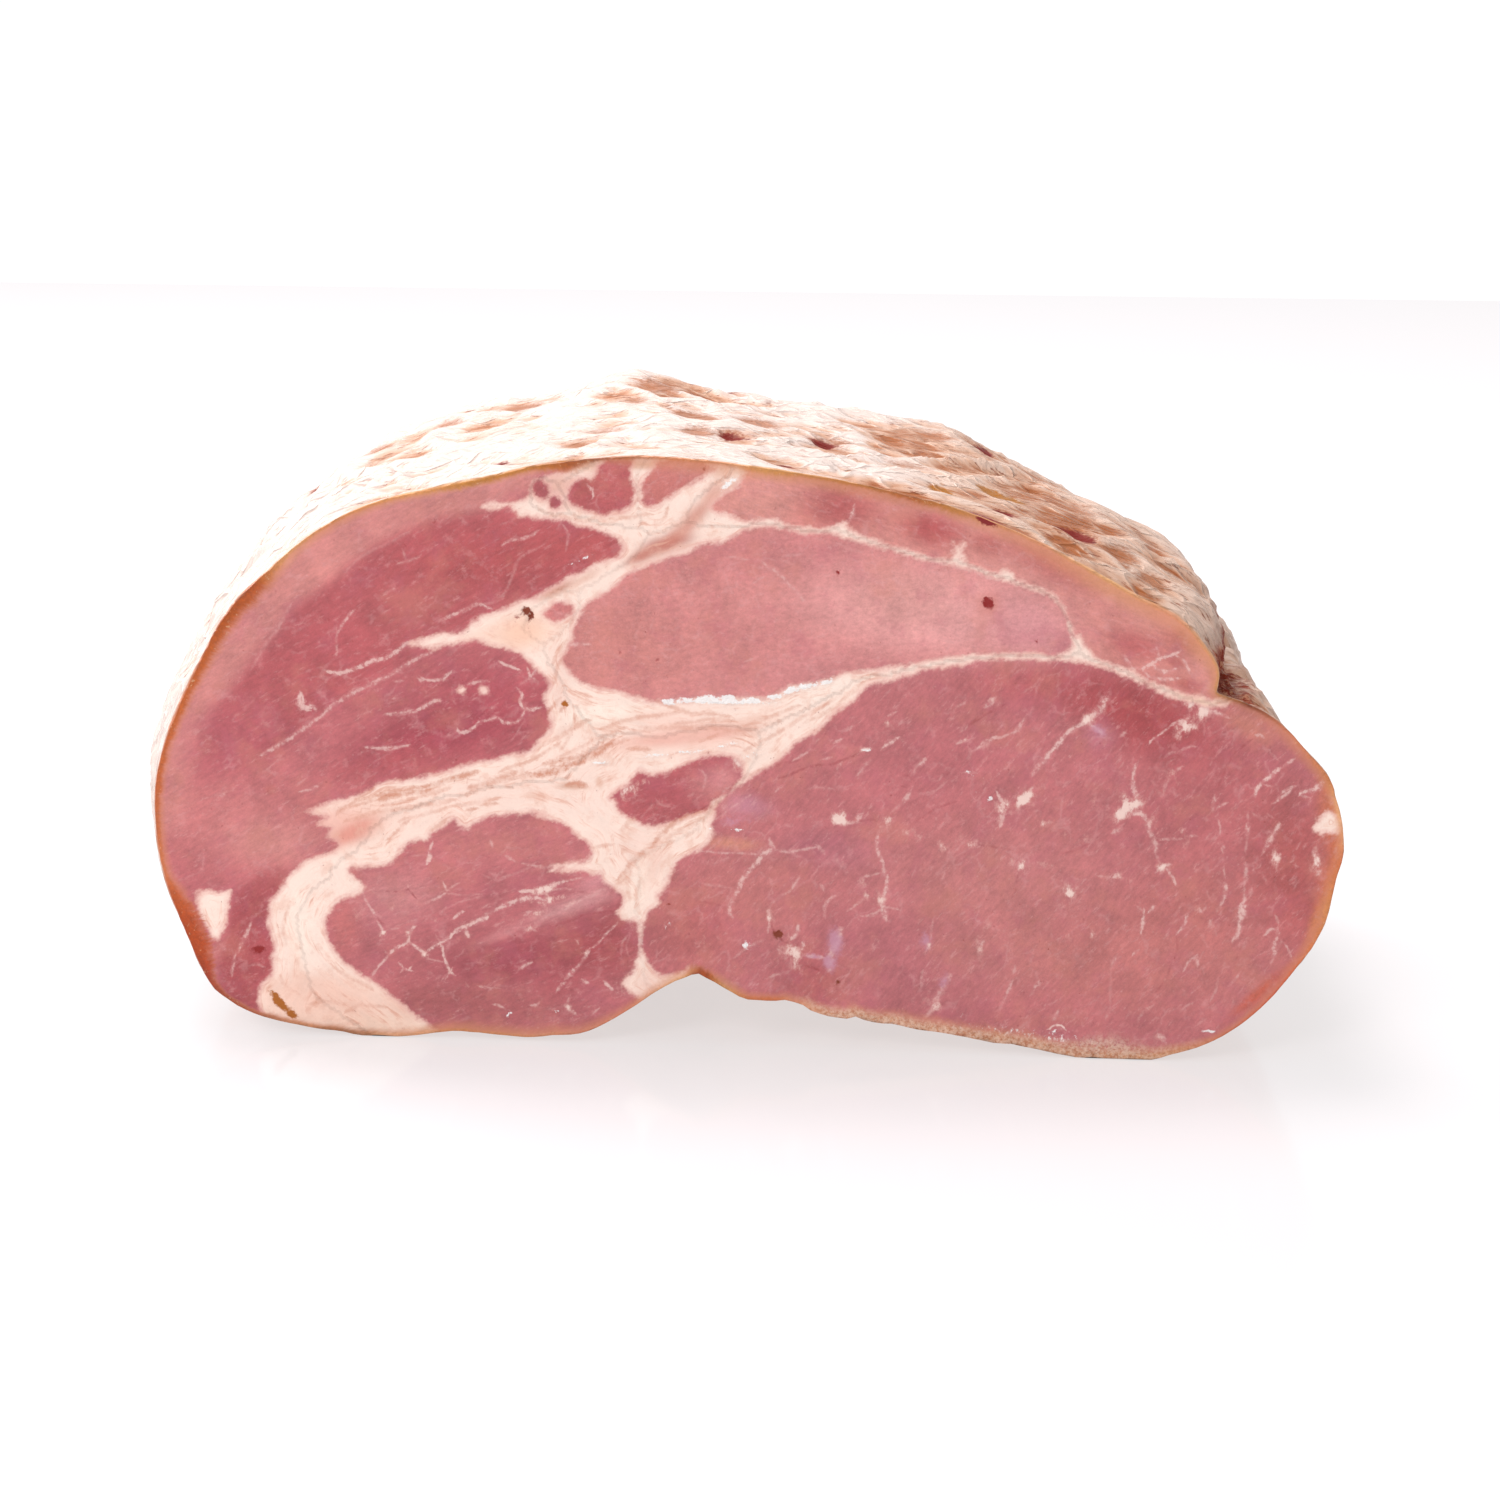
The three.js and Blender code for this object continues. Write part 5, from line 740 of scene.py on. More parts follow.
# Pale spots of fat in the lean, and painted glints (near-white spots of painted highlight): kind, middle, half sizes,
# turn, strength.
SPOTS = [
    ("cream", 26.6, 44.3, 1.31, 1.06, 20, 0.75),
    ("cream", 25.8, 43.2, 0.68, 0.93, 0, 0.6),
    ("cream", 25.8, 29, 0.81, 1.06, 0, 0.75),
    ("cream", 22.4, 32.6, 0.68, 0.93, 30, 0.55),
    ("cream", 23.1, 29.9, 0.75, 0.68, 0, 0.65),
    ("cream", 17.9, 44.4, 1.55, 1.06, 8, 0.95),
    ("cream", 18.5, 43.6, 1.86, 0.62, 0, 0.7),
    ("cream", 30.6, 41.9, 1.62, 0.93, -8, 0.55),
    ("cream", 32.5, 41.3, 0.87, 0.56, -10, 0.5),
    ("cream", 37, 39.6, 0.81, 1.06, 10, 0.6),
    ("cream", 39.7, 40.4, 0.50, 0.50, 0, 0.55),
    ("cream", 5, 25.4, 0.62, 1.18, 0, 0.75),
    ("cream", 14.8, 31.6, 0.44, 0.50, 0, 0.55),
    ("cream", 9.4, 21.8, 0.62, 0.75, 0, 0.6),
    ("cream", 9.6, 18.8, 1.62, 1.37, -20, 0.85),
    ("cream", 9.9, 16.7, 1.24, 1.55, 0, 0.6),
    ("lilac", 17.4, 20.9, 1.31, 2.49, 8, 0.95),
    ("lilac", 16.4, 16.9, 1.24, 1.55, 10, 0.95),
    ("lilac", 13.6, 18, 1.93, 0.50, -4, 0.85),
    ("lilac", 34.2, 21.7, 1.12, 1.93, 0, 0.75),
    ("cream", 34.8, 20.8, 0.44, 0.93, 0, 0.7),
    ("lilac", 31.5, 21, 2.49, 1.43, 8, 0.35),
    ("lilac", 37.5, 13.9, 1.06, 1.86, -20, 0.7),
    ("cream", 35.6, 9, 1.37, 1.86, -30, 0.7),
    ("cream", 1.5, 44, 2.80, 0.75, 14, 0.3),
    ("lilac", -1.8, 43.4, 2.80, 1.06, 12, 0.65),
    ("lilac", 2.5, 44, 1.86, 0.81, 0, 0.4),
    ("cream", -3.2, 46.4, 1.18, 0.93, 0, 0.45),
    ("cream", 17.7, 36.2, 0.31, 0.37, 0, 0.6),
    ("cream", 18.3, 35.1, 0.81, 1.24, 0, 0.25),
    ("cream", -7.5, 20.2, 0.81, 1.86, 0, 0.4),
    ("cream", 10.5, 16.6, 0.56, 0.93, 0, 0.4),
    ("cream", 62.9, 64.2, 1.62, 0.81, 38, 0.9),
    ("lilac", 65, 62.1, 1.86, 1.12, -30, 0.75),
    ("cream", 51.8, 49, 2.05, 1.12, 38, 1),
    ("cream", 48.3, 47.2, 1.12, 1.12, 0, 0.95),
    ("cream", 47.8, 44.9, 0.62, 1.24, -12, 0.75),
    ("cream", 50.5, 61.8, 0.56, 0.81, 0, 0.45),
    ("cream", 70.9, 48.3, 1.93, 1.55, 48, 1),
    ("cream", 69.2, 46.5, 0.99, 1.06, 30, 0.95),
    ("cream", 68.7, 45.3, 0.62, 0.81, 0, 0.7),
    ("cream", 74.6, 44.9, 0.81, 1.24, -40, 0.6),
    ("cream", 77, 36.8, 1.31, 0.75, 10, 0.85),
    ("cream", 75.8, 35, 1.86, 1.12, 0, 0.35),
    ("cream", 78.6, 54.1, 0.93, 1.37, 40, 0.55),
    ("cream", 80.6, 43.4, 0.56, 1.06, 0, 0.65),
    ("cream", 81.7, 41.7, 1.55, 0.81, 0, 0.45),
    ("cream", 79.6, 41.6, 3.11, 1.06, 0, 0.22),
    ("cream", 86.5, 49, 0.56, 1.06, 0, 0.45),
    ("cream", 64.4, 49.1, 0.75, 0.68, 0, 0.6),
    ("cream", 55.4, 44.4, 1.06, 0.56, 0, 0.65),
    ("cream", 63.6, 41.9, 0.81, 0.68, 0, 0.6),
    ("cream", 59.4, 42.2, 0.44, 0.44, 0, 0.5),
    ("cream", 41.9, 40.1, 1.43, 1.12, 0, 0.75),
    ("cream", 42, 38.6, 0.68, 0.75, 0, 0.5),
    ("cream", 51.6, 36.2, 0.99, 0.99, 0, 0.85),
    ("cream", 54.9, 36.9, 1.06, 0.50, 0, 0.65),
    ("cream", 56.9, 36.1, 0.50, 0.50, 0, 0.5),
    ("cream", 49.6, 37.4, 0.44, 0.56, 0, 0.4),
    ("cream", 71.1, 34.1, 0.75, 0.81, 0, 0.55),
    ("cream", 60.3, 31.4, 1.18, 1.37, 0, 0.9),
    ("cream", 60.2, 29.8, 1.18, 1.24, 0, 0.55),
    ("cream", 64.7, 23.9, 0.87, 0.81, 0, 0.6),
    ("cream", 60.1, 23.8, 0.56, 0.99, 0, 0.5),
    ("cream", 42.5, 28, 0.62, 0.44, 0, 0.5),
    ("cream", 45.2, 24.5, 0.87, 0.75, 0, 0.5),
    ("cream", 44.3, 20.1, 0.75, 1.55, 0, 0.7),
    ("cream", 84.2, 28.9, 0.62, 0.56, 0, 0.6),
    ("cream", 86, 26.7, 0.56, 0.93, 0, 0.6),
    ("cream", 68.9, 35.1, 0.87, 0.62, 0, 0.75),
    ("fat", 83.9, 66.1, 1.67, 1.05, 22, 1),
    ("fat", 81.8, 67.4, 1.53, 1.05, 10, 0.85),
    ("fat", 80.9, 63.2, 1.24, 1.67, -48, 0.85),
    ("cream", 79.7, 61.4, 0.81, 1.05, -48, 0.5),
    ("cream", 78.8, 54.3, 0.96, 1.15, 45, 0.55),
    ("cream", 85.2, 52.2, 0.43, 0.62, 0, 0.3),
    ("cream", 86.7, 48, 0.67, 0.81, 0, 0.7),
    ("cream", 96.8, 42.8, 0.81, 1.05, 35, 0.5),
    ("cream", 97.7, 39, 0.81, 1.05, 0, 0.8),
    ("cream", 104.8, 38.4, 0.72, 1.91, 4, 0.9),
    ("cream", 107.4, 34.6, 0.48, 0.48, 0, 0.35),
    ("cream", 105.4, 46, 1.43, 1.67, 20, 0.55),
    ("cream", 104.8, 44.1, 1.10, 0.57, 0, 0.5),
    ("cream", 94.7, 25.3, 0.48, 0.36, 0, 0.45),
    ("cream", 84.3, 28.7, 0.48, 0.48, 0, 0.6),
    ("cream", 86, 26.6, 0.48, 0.96, 10, 0.65),
    ("cream", 77.9, 15.5, 0.42, 0.42, 0, 0.45),
    ("cream", 75.1, 9.9, 0.54, 0.42, 0, 0.65),
    ("cream", 77.4, 4.9, 0.90, 0.78, -40, 0.75),
    ("cream", 77.3, 11.1, 0.18, 0.18, 0, 0.7),
    ("cream", 69.2, 6, 0.60, 0.48, 0, 0.4),
    ("cream", 44.3, 20.1, 0.75, 1.37, 12, 0.75),
    ("cream", 43.9, 17.4, 0.50, 0.81, 0, 0.4),
    ("cream", 60, 23.3, 0.75, 0.93, 20, 0.6),
    ("cream", 64.7, 23.7, 0.75, 0.75, 0, 0.6),
    ("cream", 60.1, 15.2, 0.93, 0.44, -20, 0.25),
    ("cream", 25.7, 21.2, 0.44, 0.62, 0, 0.3),
    ("cream", 13.8, 56.3, 0.32, 0.37, 0, 0.6),
    ("cream", 26.1, 62.5, 0.68, 0.37, 20, 0.6),
    ("cream", 27.4, 62.4, 1.58, 0.58, 10, 0.4),
    ("cream", 23, 57.5, 1.00, 0.37, 8, 0.9),
    ("cream", 23.6, 55.7, 0.79, 0.74, 30, 0.6),
    ("cream", 36, 65.4, 1.05, 0.47, 32, 0.6),
    ("cream", 45.6, 67.2, 0.89, 0.42, 38, 0.5),
    ("cream", 40.3, 59.5, 1.00, 0.42, 14, 0.75),
    ("cream", 44.4, 58.8, 1.00, 0.68, 30, 0.7),
    ("cream", 41.8, 53.6, 1.58, 0.42, 0, 0.5),
    ("cream", 44.7, 52.3, 1.05, 0.58, 40, 0.5),
    ("cream", -51.8, 21.9, 1.18, 0.59, 28, 0.9),
    ("cream", -51.3, 20.1, 0.55, 0.41, 0, 0.7),
    ("cream", -59.5, 16.1, 0.77, 0.68, 0, 0.9),
    ("cream", -62.7, 18.6, 0.55, 0.59, 0, 0.85),
    ("cream", -62.5, 20.3, 0.59, 0.64, 0, 0.9),
    ("cream", -69.8, 10.7, 0.77, 0.45, 0, 0.65),
    ("cream", -54.9, 13.2, 0.64, 0.55, 0, 0.85),
    ("cream", -66.5, 21.7, 0.45, 0.32, 0, 0.7),
    ("cream", -67.3, 20.3, 0.64, 0.64, 0, 0.95),
    ("cream", -70.8, 23.8, 1.36, 1.59, 0, 0.4),
    ("cream", -58.5, 34.6, 0.50, 0.59, 0, 0.7),
    ("cream", -62.3, 29.2, 0.36, 0.59, 0, 0.6),
    ("cream", -55.3, 28.4, 0.50, 0.41, 0, 0.6),
    ("cream", -57, 22.9, 0.41, 0.41, 0, 0.85),
    ("cream", -50, 33.3, 0.27, 0.45, 0, 0.7),
    ("cream", -52.5, 37.4, 0.23, 0.27, 0, 0.6),
    ("cream", -61.3, 35.3, 0.23, 0.18, 0, 0.5),
    ("cream", -63, 26.4, 3.41, 1.59, 0, 0.28),
    ("cream", -65.6, 25.1, 0.68, 0.68, 0, 0.35),
    ("cream", -50.6, 10.2, 0.91, 0.23, 0, 0.4),
    ("cream", -58.7, 9, 0.68, 0.45, 0, 0.35),
    ("cream", -38, 26.9, 1.32, 0.49, 8, 0.75),
    ("fat", -36.7, 29.5, 2.31, 0.66, 12, 1),
    ("cream", -31.8, 26.7, 1.92, 0.33, 22, 0.6),
    ("cream", -39.4, 21.9, 1.48, 0.71, 8, 0.6),
    ("cream", -41.2, 23, 1.65, 0.82, 10, 0.3),
    ("cream", -22.8, 23.4, 0.60, 0.38, 20, 0.6),
    ("cream", -29.3, 17.6, 0.71, 0.44, 10, 0.75),
    ("cream", -31.3, 19.8, 0.44, 0.33, 0, 0.6),
    ("cream", -33.5, 19.7, 0.38, 0.33, 0, 0.6),
    ("cream", -31, 17.9, 0.38, 0.27, 0, 0.55),
    ("cream", -24.4, 19.2, 0.27, 0.27, 0, 0.6),
    ("cream", -46.4, 12.1, 0.71, 0.25, 0, 0.65),
    ("cream", -40, 9.6, 0.33, 0.33, 0, 0.6),
    ("cream", -36.3, 12.4, 0.38, 0.25, 0, 0.6),
    ("cream", -37, 11.3, 0.38, 0.22, 0, 0.6),
    ("cream", -38, 13.2, 0.38, 0.27, 0, 0.45),
    ("cream", -47.7, 15.4, 0.33, 0.22, 0, 0.6),
    ("cream", -23.3, 12.1, 0.82, 0.60, 0, 0.55),
    ("cream", -22.5, 11.6, 1.10, 0.82, 20, 0.6),
    ("cream", -22, 9.7, 0.82, 0.55, 0, 0.45),
    ("cream", -32.6, 6.8, 0.55, 0.71, 0, 0.7),
    ("cream", -38.8, 6.8, 0.60, 0.27, 0, 0.55),
    # painted glints: near-white spots, a painted highlight on the damp meat
    ("painted_glint", -44.3, 4.9, 0.25, 0.25, 0, 1),
    ("painted_glint", -34.9, 5.8, 0.22, 0.22, 0, 0.9),
    ("painted_glint", -35, 5.5, 0.16, 0.16, 0, 0.6),
    ("cream", -46.6, 37.8, 0.27, 0.38, 0, 0.6),
    ("cream", -42.9, 35.2, 0.71, 0.33, -35, 0.5),
    ("cream", -36.3, 38.2, 0.33, 0.22, 0, 0.4),
    ("cream", -52.1, 66.5, 0.75, 0.45, 20, 0.6),
    ("cream", -47.4, 67, 0.75, 0.48, -20, 0.6),
    ("cream", -56.7, 64.9, 0.93, 0.56, 20, 0.6),
    ("cream", 0.1, 55, 2.24, 2.42, 40, 0.8),
    ("cream", -81.6, 64.1, 0.75, 1.31, 0, 0.8),
    ("cream", 23.6, 55.7, 0.93, 0.93, 30, 0.5),
    ("lilac", -0.3, 44, 4.47, 1.12, -8, 0.5),
    ("cream", -21, 48.8, 1.86, 1.49, 20, 0.8),
    ("cream", -17.9, 50.2, 1.68, 0.75, 24, 0.6),
    ("cream", -15.1, 45.9, 1.49, 0.75, 20, 0.5),
    ("cream", -35.4, 27.4, 2.61, 0.75, 22, 0.8),
    ("cream", -38, 25, 1.68, 0.75, 22, 0.7),
]
# Dark seams in the lean: width, strength, the line.
SEAMS = [
    (0.28, 0.8, [(5.4, 24.2), (5.9, 22.8), (6.8, 21.6), (8.1, 20.5)]),
    (0.28, 0.55, [(8.1, 20.5), (9.6, 19.9), (10.8, 20.2)]),
    (0.25, 0.5, [(30.4, 42.2), (32.8, 44.8), (35.9, 46.8), (39.5, 48.1)]),
    (0.31, 0.5, [(-7.7, 45.3), (-4.3, 48.1), (0.3, 51.5), (4.6, 53.5), (10.7, 55.2)]),
    (0.31, 0.35, [(-7.7, 27.9), (-4.6, 27.6), (-2.5, 26.4)]),
    (0.25, 0.35, [(21.5, 43.9), (24.3, 44.3), (25.5, 43.7)]),
    (0.28, 0.7, [(10.9, 16.7), (12.7, 16), (14.6, 15.3)]),
    (0.28, 0.5, [(40, 61.5), (43.6, 63.8), (47.8, 66.4)]),
    (0.22, 0.35, [(58.5, 38.9), (60.9, 39.6), (63.3, 40.6)]),
    (0.25, 0.35, [(63.1, 53.1), (62.2, 51.5)]),
    (0.25, 0.4, [(42.9, 40.3), (46.3, 39.8), (49.7, 39.3)]),
    (0.25, 0.35, [(48.9, 28.8), (50.4, 31.4), (50.9, 34.3)]),
    (0.22, 0.6, [(92.6, 61), (91.5, 60.1), (90.1, 58.8), (89.2, 57.6), (88.6, 56.5)]),
    (0.22, 0.4, [(88.3, 56.1), (87.7, 54.7), (87.2, 53), (87, 51.6)]),
    (0.19, 0.4, [(88.3, 56.8), (87.8, 54.9)]),
    (0.24, 0.5, [(78.1, 15.2), (77.4, 14.3), (76.4, 13)]),
    (0.21, 0.35, [(80.2, 23.7), (80.3, 21.2), (80, 19.7)]),
    (0.21, 0.3, [(79, 18.8), (78.8, 16.9), (78.4, 15.1)]),
    (0.21, 0.3, [(91.2, 20.3), (90.2, 17.3)]),
    (0.21, 0.3, [(86.5, 11), (86.4, 8.6)]),
    (0.21, 0.5, [(43.9, 64.6), (42.6, 63.4), (40.9, 61.9)]),
    (0.29, 0.6, [(7.1, 51.8), (9.4, 52.6), (12.8, 54.1), (17.4, 55), (21.6, 56.4)]),
    (0.21, 0.4, [(29.8, 53), (31.3, 52.4)]),
    (0.26, 0.45, [(29.3, 50.9), (30.5, 50.7), (31.3, 51.5)]),
    (0.21, 0.4, [(37.6, 53), (38.7, 54.8)]),
    (0.25, 0.95, [(-68.6, 23.2), (-67.9, 22.4), (-67.2, 21.8)]),
    (0.18, 0.75, [(-66.9, 28.2), (-65.3, 28.1), (-63.4, 28.3), (-62.3, 28.7)]),
    (0.20, 0.85, [(-62.3, 28.7), (-61.6, 27.8), (-61.1, 27.1)]),
    (0.27, 0.6, [(-35.7, 22.3), (-33.5, 22.9), (-31.2, 23.8), (-29.6, 24.5)]),
    (0.22, 0.5, [(-29.6, 24.5), (-27.1, 25.1), (-24, 25.7)]),
    (0.22, 0.5, [(-31.7, 28.9), (-29.8, 29), (-27.9, 28.8)]),
    (0.19, 0.4, [(-48, 35.8), (-46.9, 35.3)]),
]
# ---- end of the shapes

# Round the cut's edge: direction, width of the browned line, width of the tan zone inside it, its strength,
# the line's colour.
RIM = (
    (-180, 0.8, 1.2, 0.85, (186, 104, 60)), (-172, 0.5, 1.6, 0.7, (196, 120, 76)), (-170, 1.6, 2, 0.9, (182, 96, 54)),
    (-167, 3.3, 1, 1, (174, 86, 48)), (-163.5, 3, 1, 1, (172, 84, 50)), (-161, 1.6, 0.8, 0.95, (165, 78, 58)),
    (-158.5, 0.5, 0.6, 0.8, (160, 84, 62)), (-155.5, 0.35, 0.6, 0.7, (172, 100, 66)), (-152, 0.4, 0.8, 0.7, (190, 130, 86)),
    (-149, 0.5, 1, 0.8, (150, 96, 60)), (-145, 0.4, 1.4, 0.6, (214, 160, 118)), (-140, 0.4, 2.2, 0.7, (196, 140, 98)),
    (-132, 0.3, 2.2, 0.7, (206, 152, 112)), (-125, 0.3, 1.8, 0.6, (206, 142, 116)), (-119, 0.3, 1.2, 0.6, (200, 132, 108)),
    (-113, 0.3, 1.6, 0.6, (214, 162, 120)), (-108, 0.4, 1.6, 0.7, (220, 176, 130)), (-105.5, 0.9, 1, 0.85, (160, 88, 56)),
    (-101.5, 1.3, 1, 1, (158, 84, 50)), (-99.5, 0.8, 1.4, 0.9, (176, 108, 62)), (-95, 0.5, 2, 0.75, (200, 160, 112)),
    (-88, 0.6, 1.4, 0.8, (196, 124, 84)), (-80, 0.7, 1.2, 0.8, (198, 120, 80)), (-75, 0.3, 1.6, 0.6, (208, 150, 124)),
    (-70, 0.8, 1.4, 0.8, (208, 152, 118)), (-64, 1.0, 1.6, 0.85, (204, 146, 112)), (-58, 1.1, 1.8, 0.85, (208, 152, 118)),
    (-50, 1.1, 2.2, 0.85, (208, 152, 120)), (-42, 1.5, 1.8, 0.9, (196, 136, 102)), (-36, 1.0, 2.2, 0.85, (206, 150, 114)),
    (-30, 0.9, 1.8, 0.8, (200, 148, 104)), (-25, 0.3, 1.2, 0.6, (196, 122, 92)), (-18, 0.3, 1.6, 0.7, (204, 100, 70)),
    (-13, 0.5, 1.8, 0.7, (206, 128, 84)), (-9, 0.9, 1.4, 0.75, (206, 146, 96)), (-4, 0.8, 1.6, 0.75, (202, 124, 86)),
    (1, 0.5, 1, 0.6, (232, 190, 146)), (4, 0.8, 1.6, 0.8, (196, 134, 90)), (9, 0.4, 2.2, 0.7, (206, 136, 104)),
    (13, 0.5, 1.2, 0.9, (120, 66, 42)), (16, 0.3, 1.6, 0.7, (206, 156, 104)), (20, 0.3, 3, 0.55, (216, 162, 114)),
    (26, 0.3, 2.6, 0.55, (212, 150, 116)), (33, 0.3, 3.6, 0.6, (214, 166, 110)), (42, 0.3, 3.2, 0.6, (208, 150, 112)),
    (48, 0.4, 2.4, 0.6, (196, 140, 96)), (56, 0.9, 1.4, 0.8, (178, 125, 60)), (62, 0.7, 1.6, 0.85, (165, 98, 44)),
    (70, 0.45, 2.4, 0.7, (182, 122, 54)), (80, 0.45, 2, 0.65, (188, 134, 66)), (86, 0.9, 1.6, 0.7, (196, 148, 80)),
    (93, 0.3, 2.6, 0.6, (196, 132, 86)), (103, 0.3, 2.2, 0.65, (190, 120, 68)), (112, 0.3, 1, 0.8, (150, 88, 48)),
    (117, 1.4, 1, 0.9, (166, 98, 38)), (122, 0.5, 1, 0.8, (180, 124, 56)), (130, 0.9, 0.8, 0.85, (178, 126, 52)),
    (137, 0.4, 1, 0.7, (206, 150, 92)), (146, 0.3, 1.6, 0.7, (196, 136, 84)), (151.5, 0.3, 1.8, 0.7, (214, 164, 112)),
    (156, 1.8, 1.4, 0.95, (172, 92, 38)), (160, 2, 1.4, 1, (172, 94, 38)), (165, 1.4, 1.4, 0.95, (178, 98, 44)),
    (171, 0.9, 1.2, 0.9, (184, 102, 52)), (180, 0.8, 1.2, 0.85, (186, 104, 60)),
)
# Small waves of the cut's edge: direction, how far it stands out.
EDGE_WAVES = (
    (-180, 0.1), (-176.6, 0), (-171, 0.4), (-163, 0.4), (-159.4, 0.3), (-157.7, -0.3), (-155, -0.4), (-150.9, -0.75),
    (-149.6, -1.5), (-146.6, -0.45), (-143.6, -0.75), (-141.4, -1.5), (-137, -1.05), (-132, -1.05), (-128.6, -1.7),
    (-124.3, -0.6), (-120, -0.75), (-114.9, -0.5), (-111.4, 0), (-106.7, -0.15), (-105.4, -1.2), (-102.9, -0.5),
    (-99.9, 0.0), (-97.5, -0.6), (-94.3, -1.0), (-92.6, -0.8), (-88, -0.2), (-80.6, -0.2), (-77, -0.9), (-72.9, -0.75),
    (-71, 0), (-67, 0), (-63.4, -0.5), (-61.7, -1.5), (-60, -1.0), (-57.4, -0.8), (-54.9, -1.2), (-51.4, -0.5), (-48, -0.6),
    (-42.4, -0.3), (-40.7, -1.2), (-38.6, -1.1), (-34.3, -0.15), (-31, -0.2), (-29, -1.2), (-24.9, -0.9), (-20.6, -0.7),
    (-15.4, -0.4), (-12.9, 0.2), (-10.3, 0.45), (-6, -0.3), (-3, 0.3), (0, -0.15), (2.6, -0.5), (5, 0.1), (10, -0.2),
    (13, -0.5), (17, -0.3), (22.3, -0.6), (25.7, -0.45), (30, -0.6), (34.3, -0.85), (38.6, -0.9), (43, -0.6), (48, -0.3),
    (54.5, 0.2), (57, 0.45), (60, 0.45), (68.6, 0.75), (74.6, 0.75), (81.4, 0.45), (89, 0.15), (94, 0.3), (111, 0.25),
    (117, 0.4), (121, 0.8), (125, 0.85), (131, 1.0), (137, 0.6), (143, 0.1), (146, -0.1), (154, -0.1), (158, 0.6),
    (161.5, 0.9), (166, 0.4), (172, 0.1), (180, 0.1),
)
# Marks on the skin: kind, direction, distance from the cut, half size round and along, depth, strength.
SKIN_MARKS = (
    ("dark", 91.6, 34.7, 2.1, 3.4, 1.5, 1), ("dark", 75.6, 45, 2.1, 3.8, 1.5, 1), ("dark", 94.4, 92, 3.2, 3, 0.7, 0.8),
    ("brown", 98, 52, 4, 3.4, 0.7, 0.9), ("brown", 104.2, 75, 3.6, 5, 0.8, 0.8), ("brown", 87, 55, 3.8, 4, 0.8, 0.9),
    ("brown", 125.1, 76, 3.4, 4, 0.7, 0.8), ("brown", 107.6, 62, 2.4, 3, 0.6, 0.6), ("brown", 63.7, 60, 2.6, 4, 0.8, 0.8),
    ("brown", 97.1, 35, 3.2, 4.4, 0.6, 0.7), ("dark", 82.2, 9, 1.6, 1.2, 0.5, 0.8), ("ochre", 56.9, 19, 2, 2.8, 0.6, 1),
    ("ochre", 48.7, 31, 2.2, 4.4, 0.8, 1), ("ochre", 116.4, 2, 2.4, 1.6, 0.2, 0.9), ("dark", 126.8, 18, 1, 1.6, 0.4, 0.7),
    ("blood", 50.8, 1.8, 3.4, 2, 0.5, 1), ("dark", 48.7, 76, 1.8, 5, 0.7, 0.9), ("brown", 56.9, 72, 3, 3.5, 0.8, 0.8),
    ("dark", 38.8, 17.5, 2.6, 4.4, 1.5, 1), ("ochre", 46, 31.7, 1.6, 3, 0.6, 0.8), ("dark", 47.9, 13.6, 1.9, 2.6, 0.8, 0.9),
    ("brown", 38.1, 80, 4.8, 5, 0.9, 0.8), ("brown", 37.4, 46.8, 3.4, 6, 0.7, 0.6), ("brown", 33.2, 15.1, 2.6, 5, 0.7, 0.7),
    ("brown", 29.4, 9, 3, 3, 0.6, 0.7), ("brown", 112.6, 34.7, 3.6, 3, 0.6, 0.5), ("brown", 134.7, 72, 3, 3.4, 0.6, 0.6),
    ("brown", 143.5, 72, 3, 3.4, 0.5, 0.6), ("brown", 116, 24, 2.6, 2, 0.5, 0.7), ("brown", 72.8, 50, 3.2, 3, 0.7, 0.6),
    ("brown", 62, 38, 4.5, 2.6, 0.6, 0.5), ("brown", 28, 48, 3.4, 4, 0.8, 0.5), ("dark", 151, 62, 0.9, 4, 0.4, 0.8),
    ("dark", 158, 50, 0.8, 4, 0.4, 0.7), ("dark", 166, 38, 0.8, 3.4, 0.3, 0.7), ("brown", 45, 44, 3, 3.6, 0.8, 0.5),
)


# ================================================================ the outline and the skin behind it
def turn(d):
    return (np.asarray(d, float) + 180.0) % 360.0 - 180.0


def smooth(x, a, b):
    t = np.clip((np.asarray(x, float) - a) / (b - a), 0.0, 1.0)
    return t * t * (3 - 2 * t)


def outline_radius(deg, y=0.0):
    c, s = np.cos(np.radians(deg)), np.sin(np.radians(deg))
    a = np.where(c >= 0, HALF_RIGHT, HALF_LEFT)
    b = np.where(s >= 0, ABOVE, BELOW)
    n = np.where(s >= 0, np.where(c >= 0, CORNER_TOP_RIGHT, CORNER_TOP_LEFT), np.where(c >= 0, CORNER_LOW_RIGHT, CORNER_LOW_LEFT))
    r = (np.abs(c / a) ** n + np.abs(s / b) ** n) ** (-1 / n)
    strength = {
        "hollow": 1 + 0.05 * smooth(y, 15, 120),
        "hollow_step": 1 + 0.05 * smooth(y, 15, 120),
        "hollow_peak": 1 - 0.45 * smooth(y, 5, 70),
        "crease": 1 - 0.7 * smooth(y, 25, 125),
    }
    for name, (at, out, wide, form) in LOBES.items():
        if name == "crease":
            at = at + 5 * smooth(y, 25, 125)
        r = r + strength.get(name, 1.0) * out * np.exp(-(np.abs(turn(deg - at) / wide) ** form))
    waves = np.interp(turn(deg), [w[0] for w in EDGE_WAVES], [w[1] for w in EDGE_WAVES])
    return r + waves * np.exp(-((np.asarray(y, float) / 7) ** 2))


def swell(deg, y):
    out = 0.0
    for at, sy, height, wide, long in SWELLS:
        along = np.exp(-(((y - sy) / long) ** 2)) - np.exp(-((sy / long) ** 2)) * np.exp(-y / 8)
        out = out + height * np.exp(-((turn(deg - at) / wide) ** 2)) * along
    return out


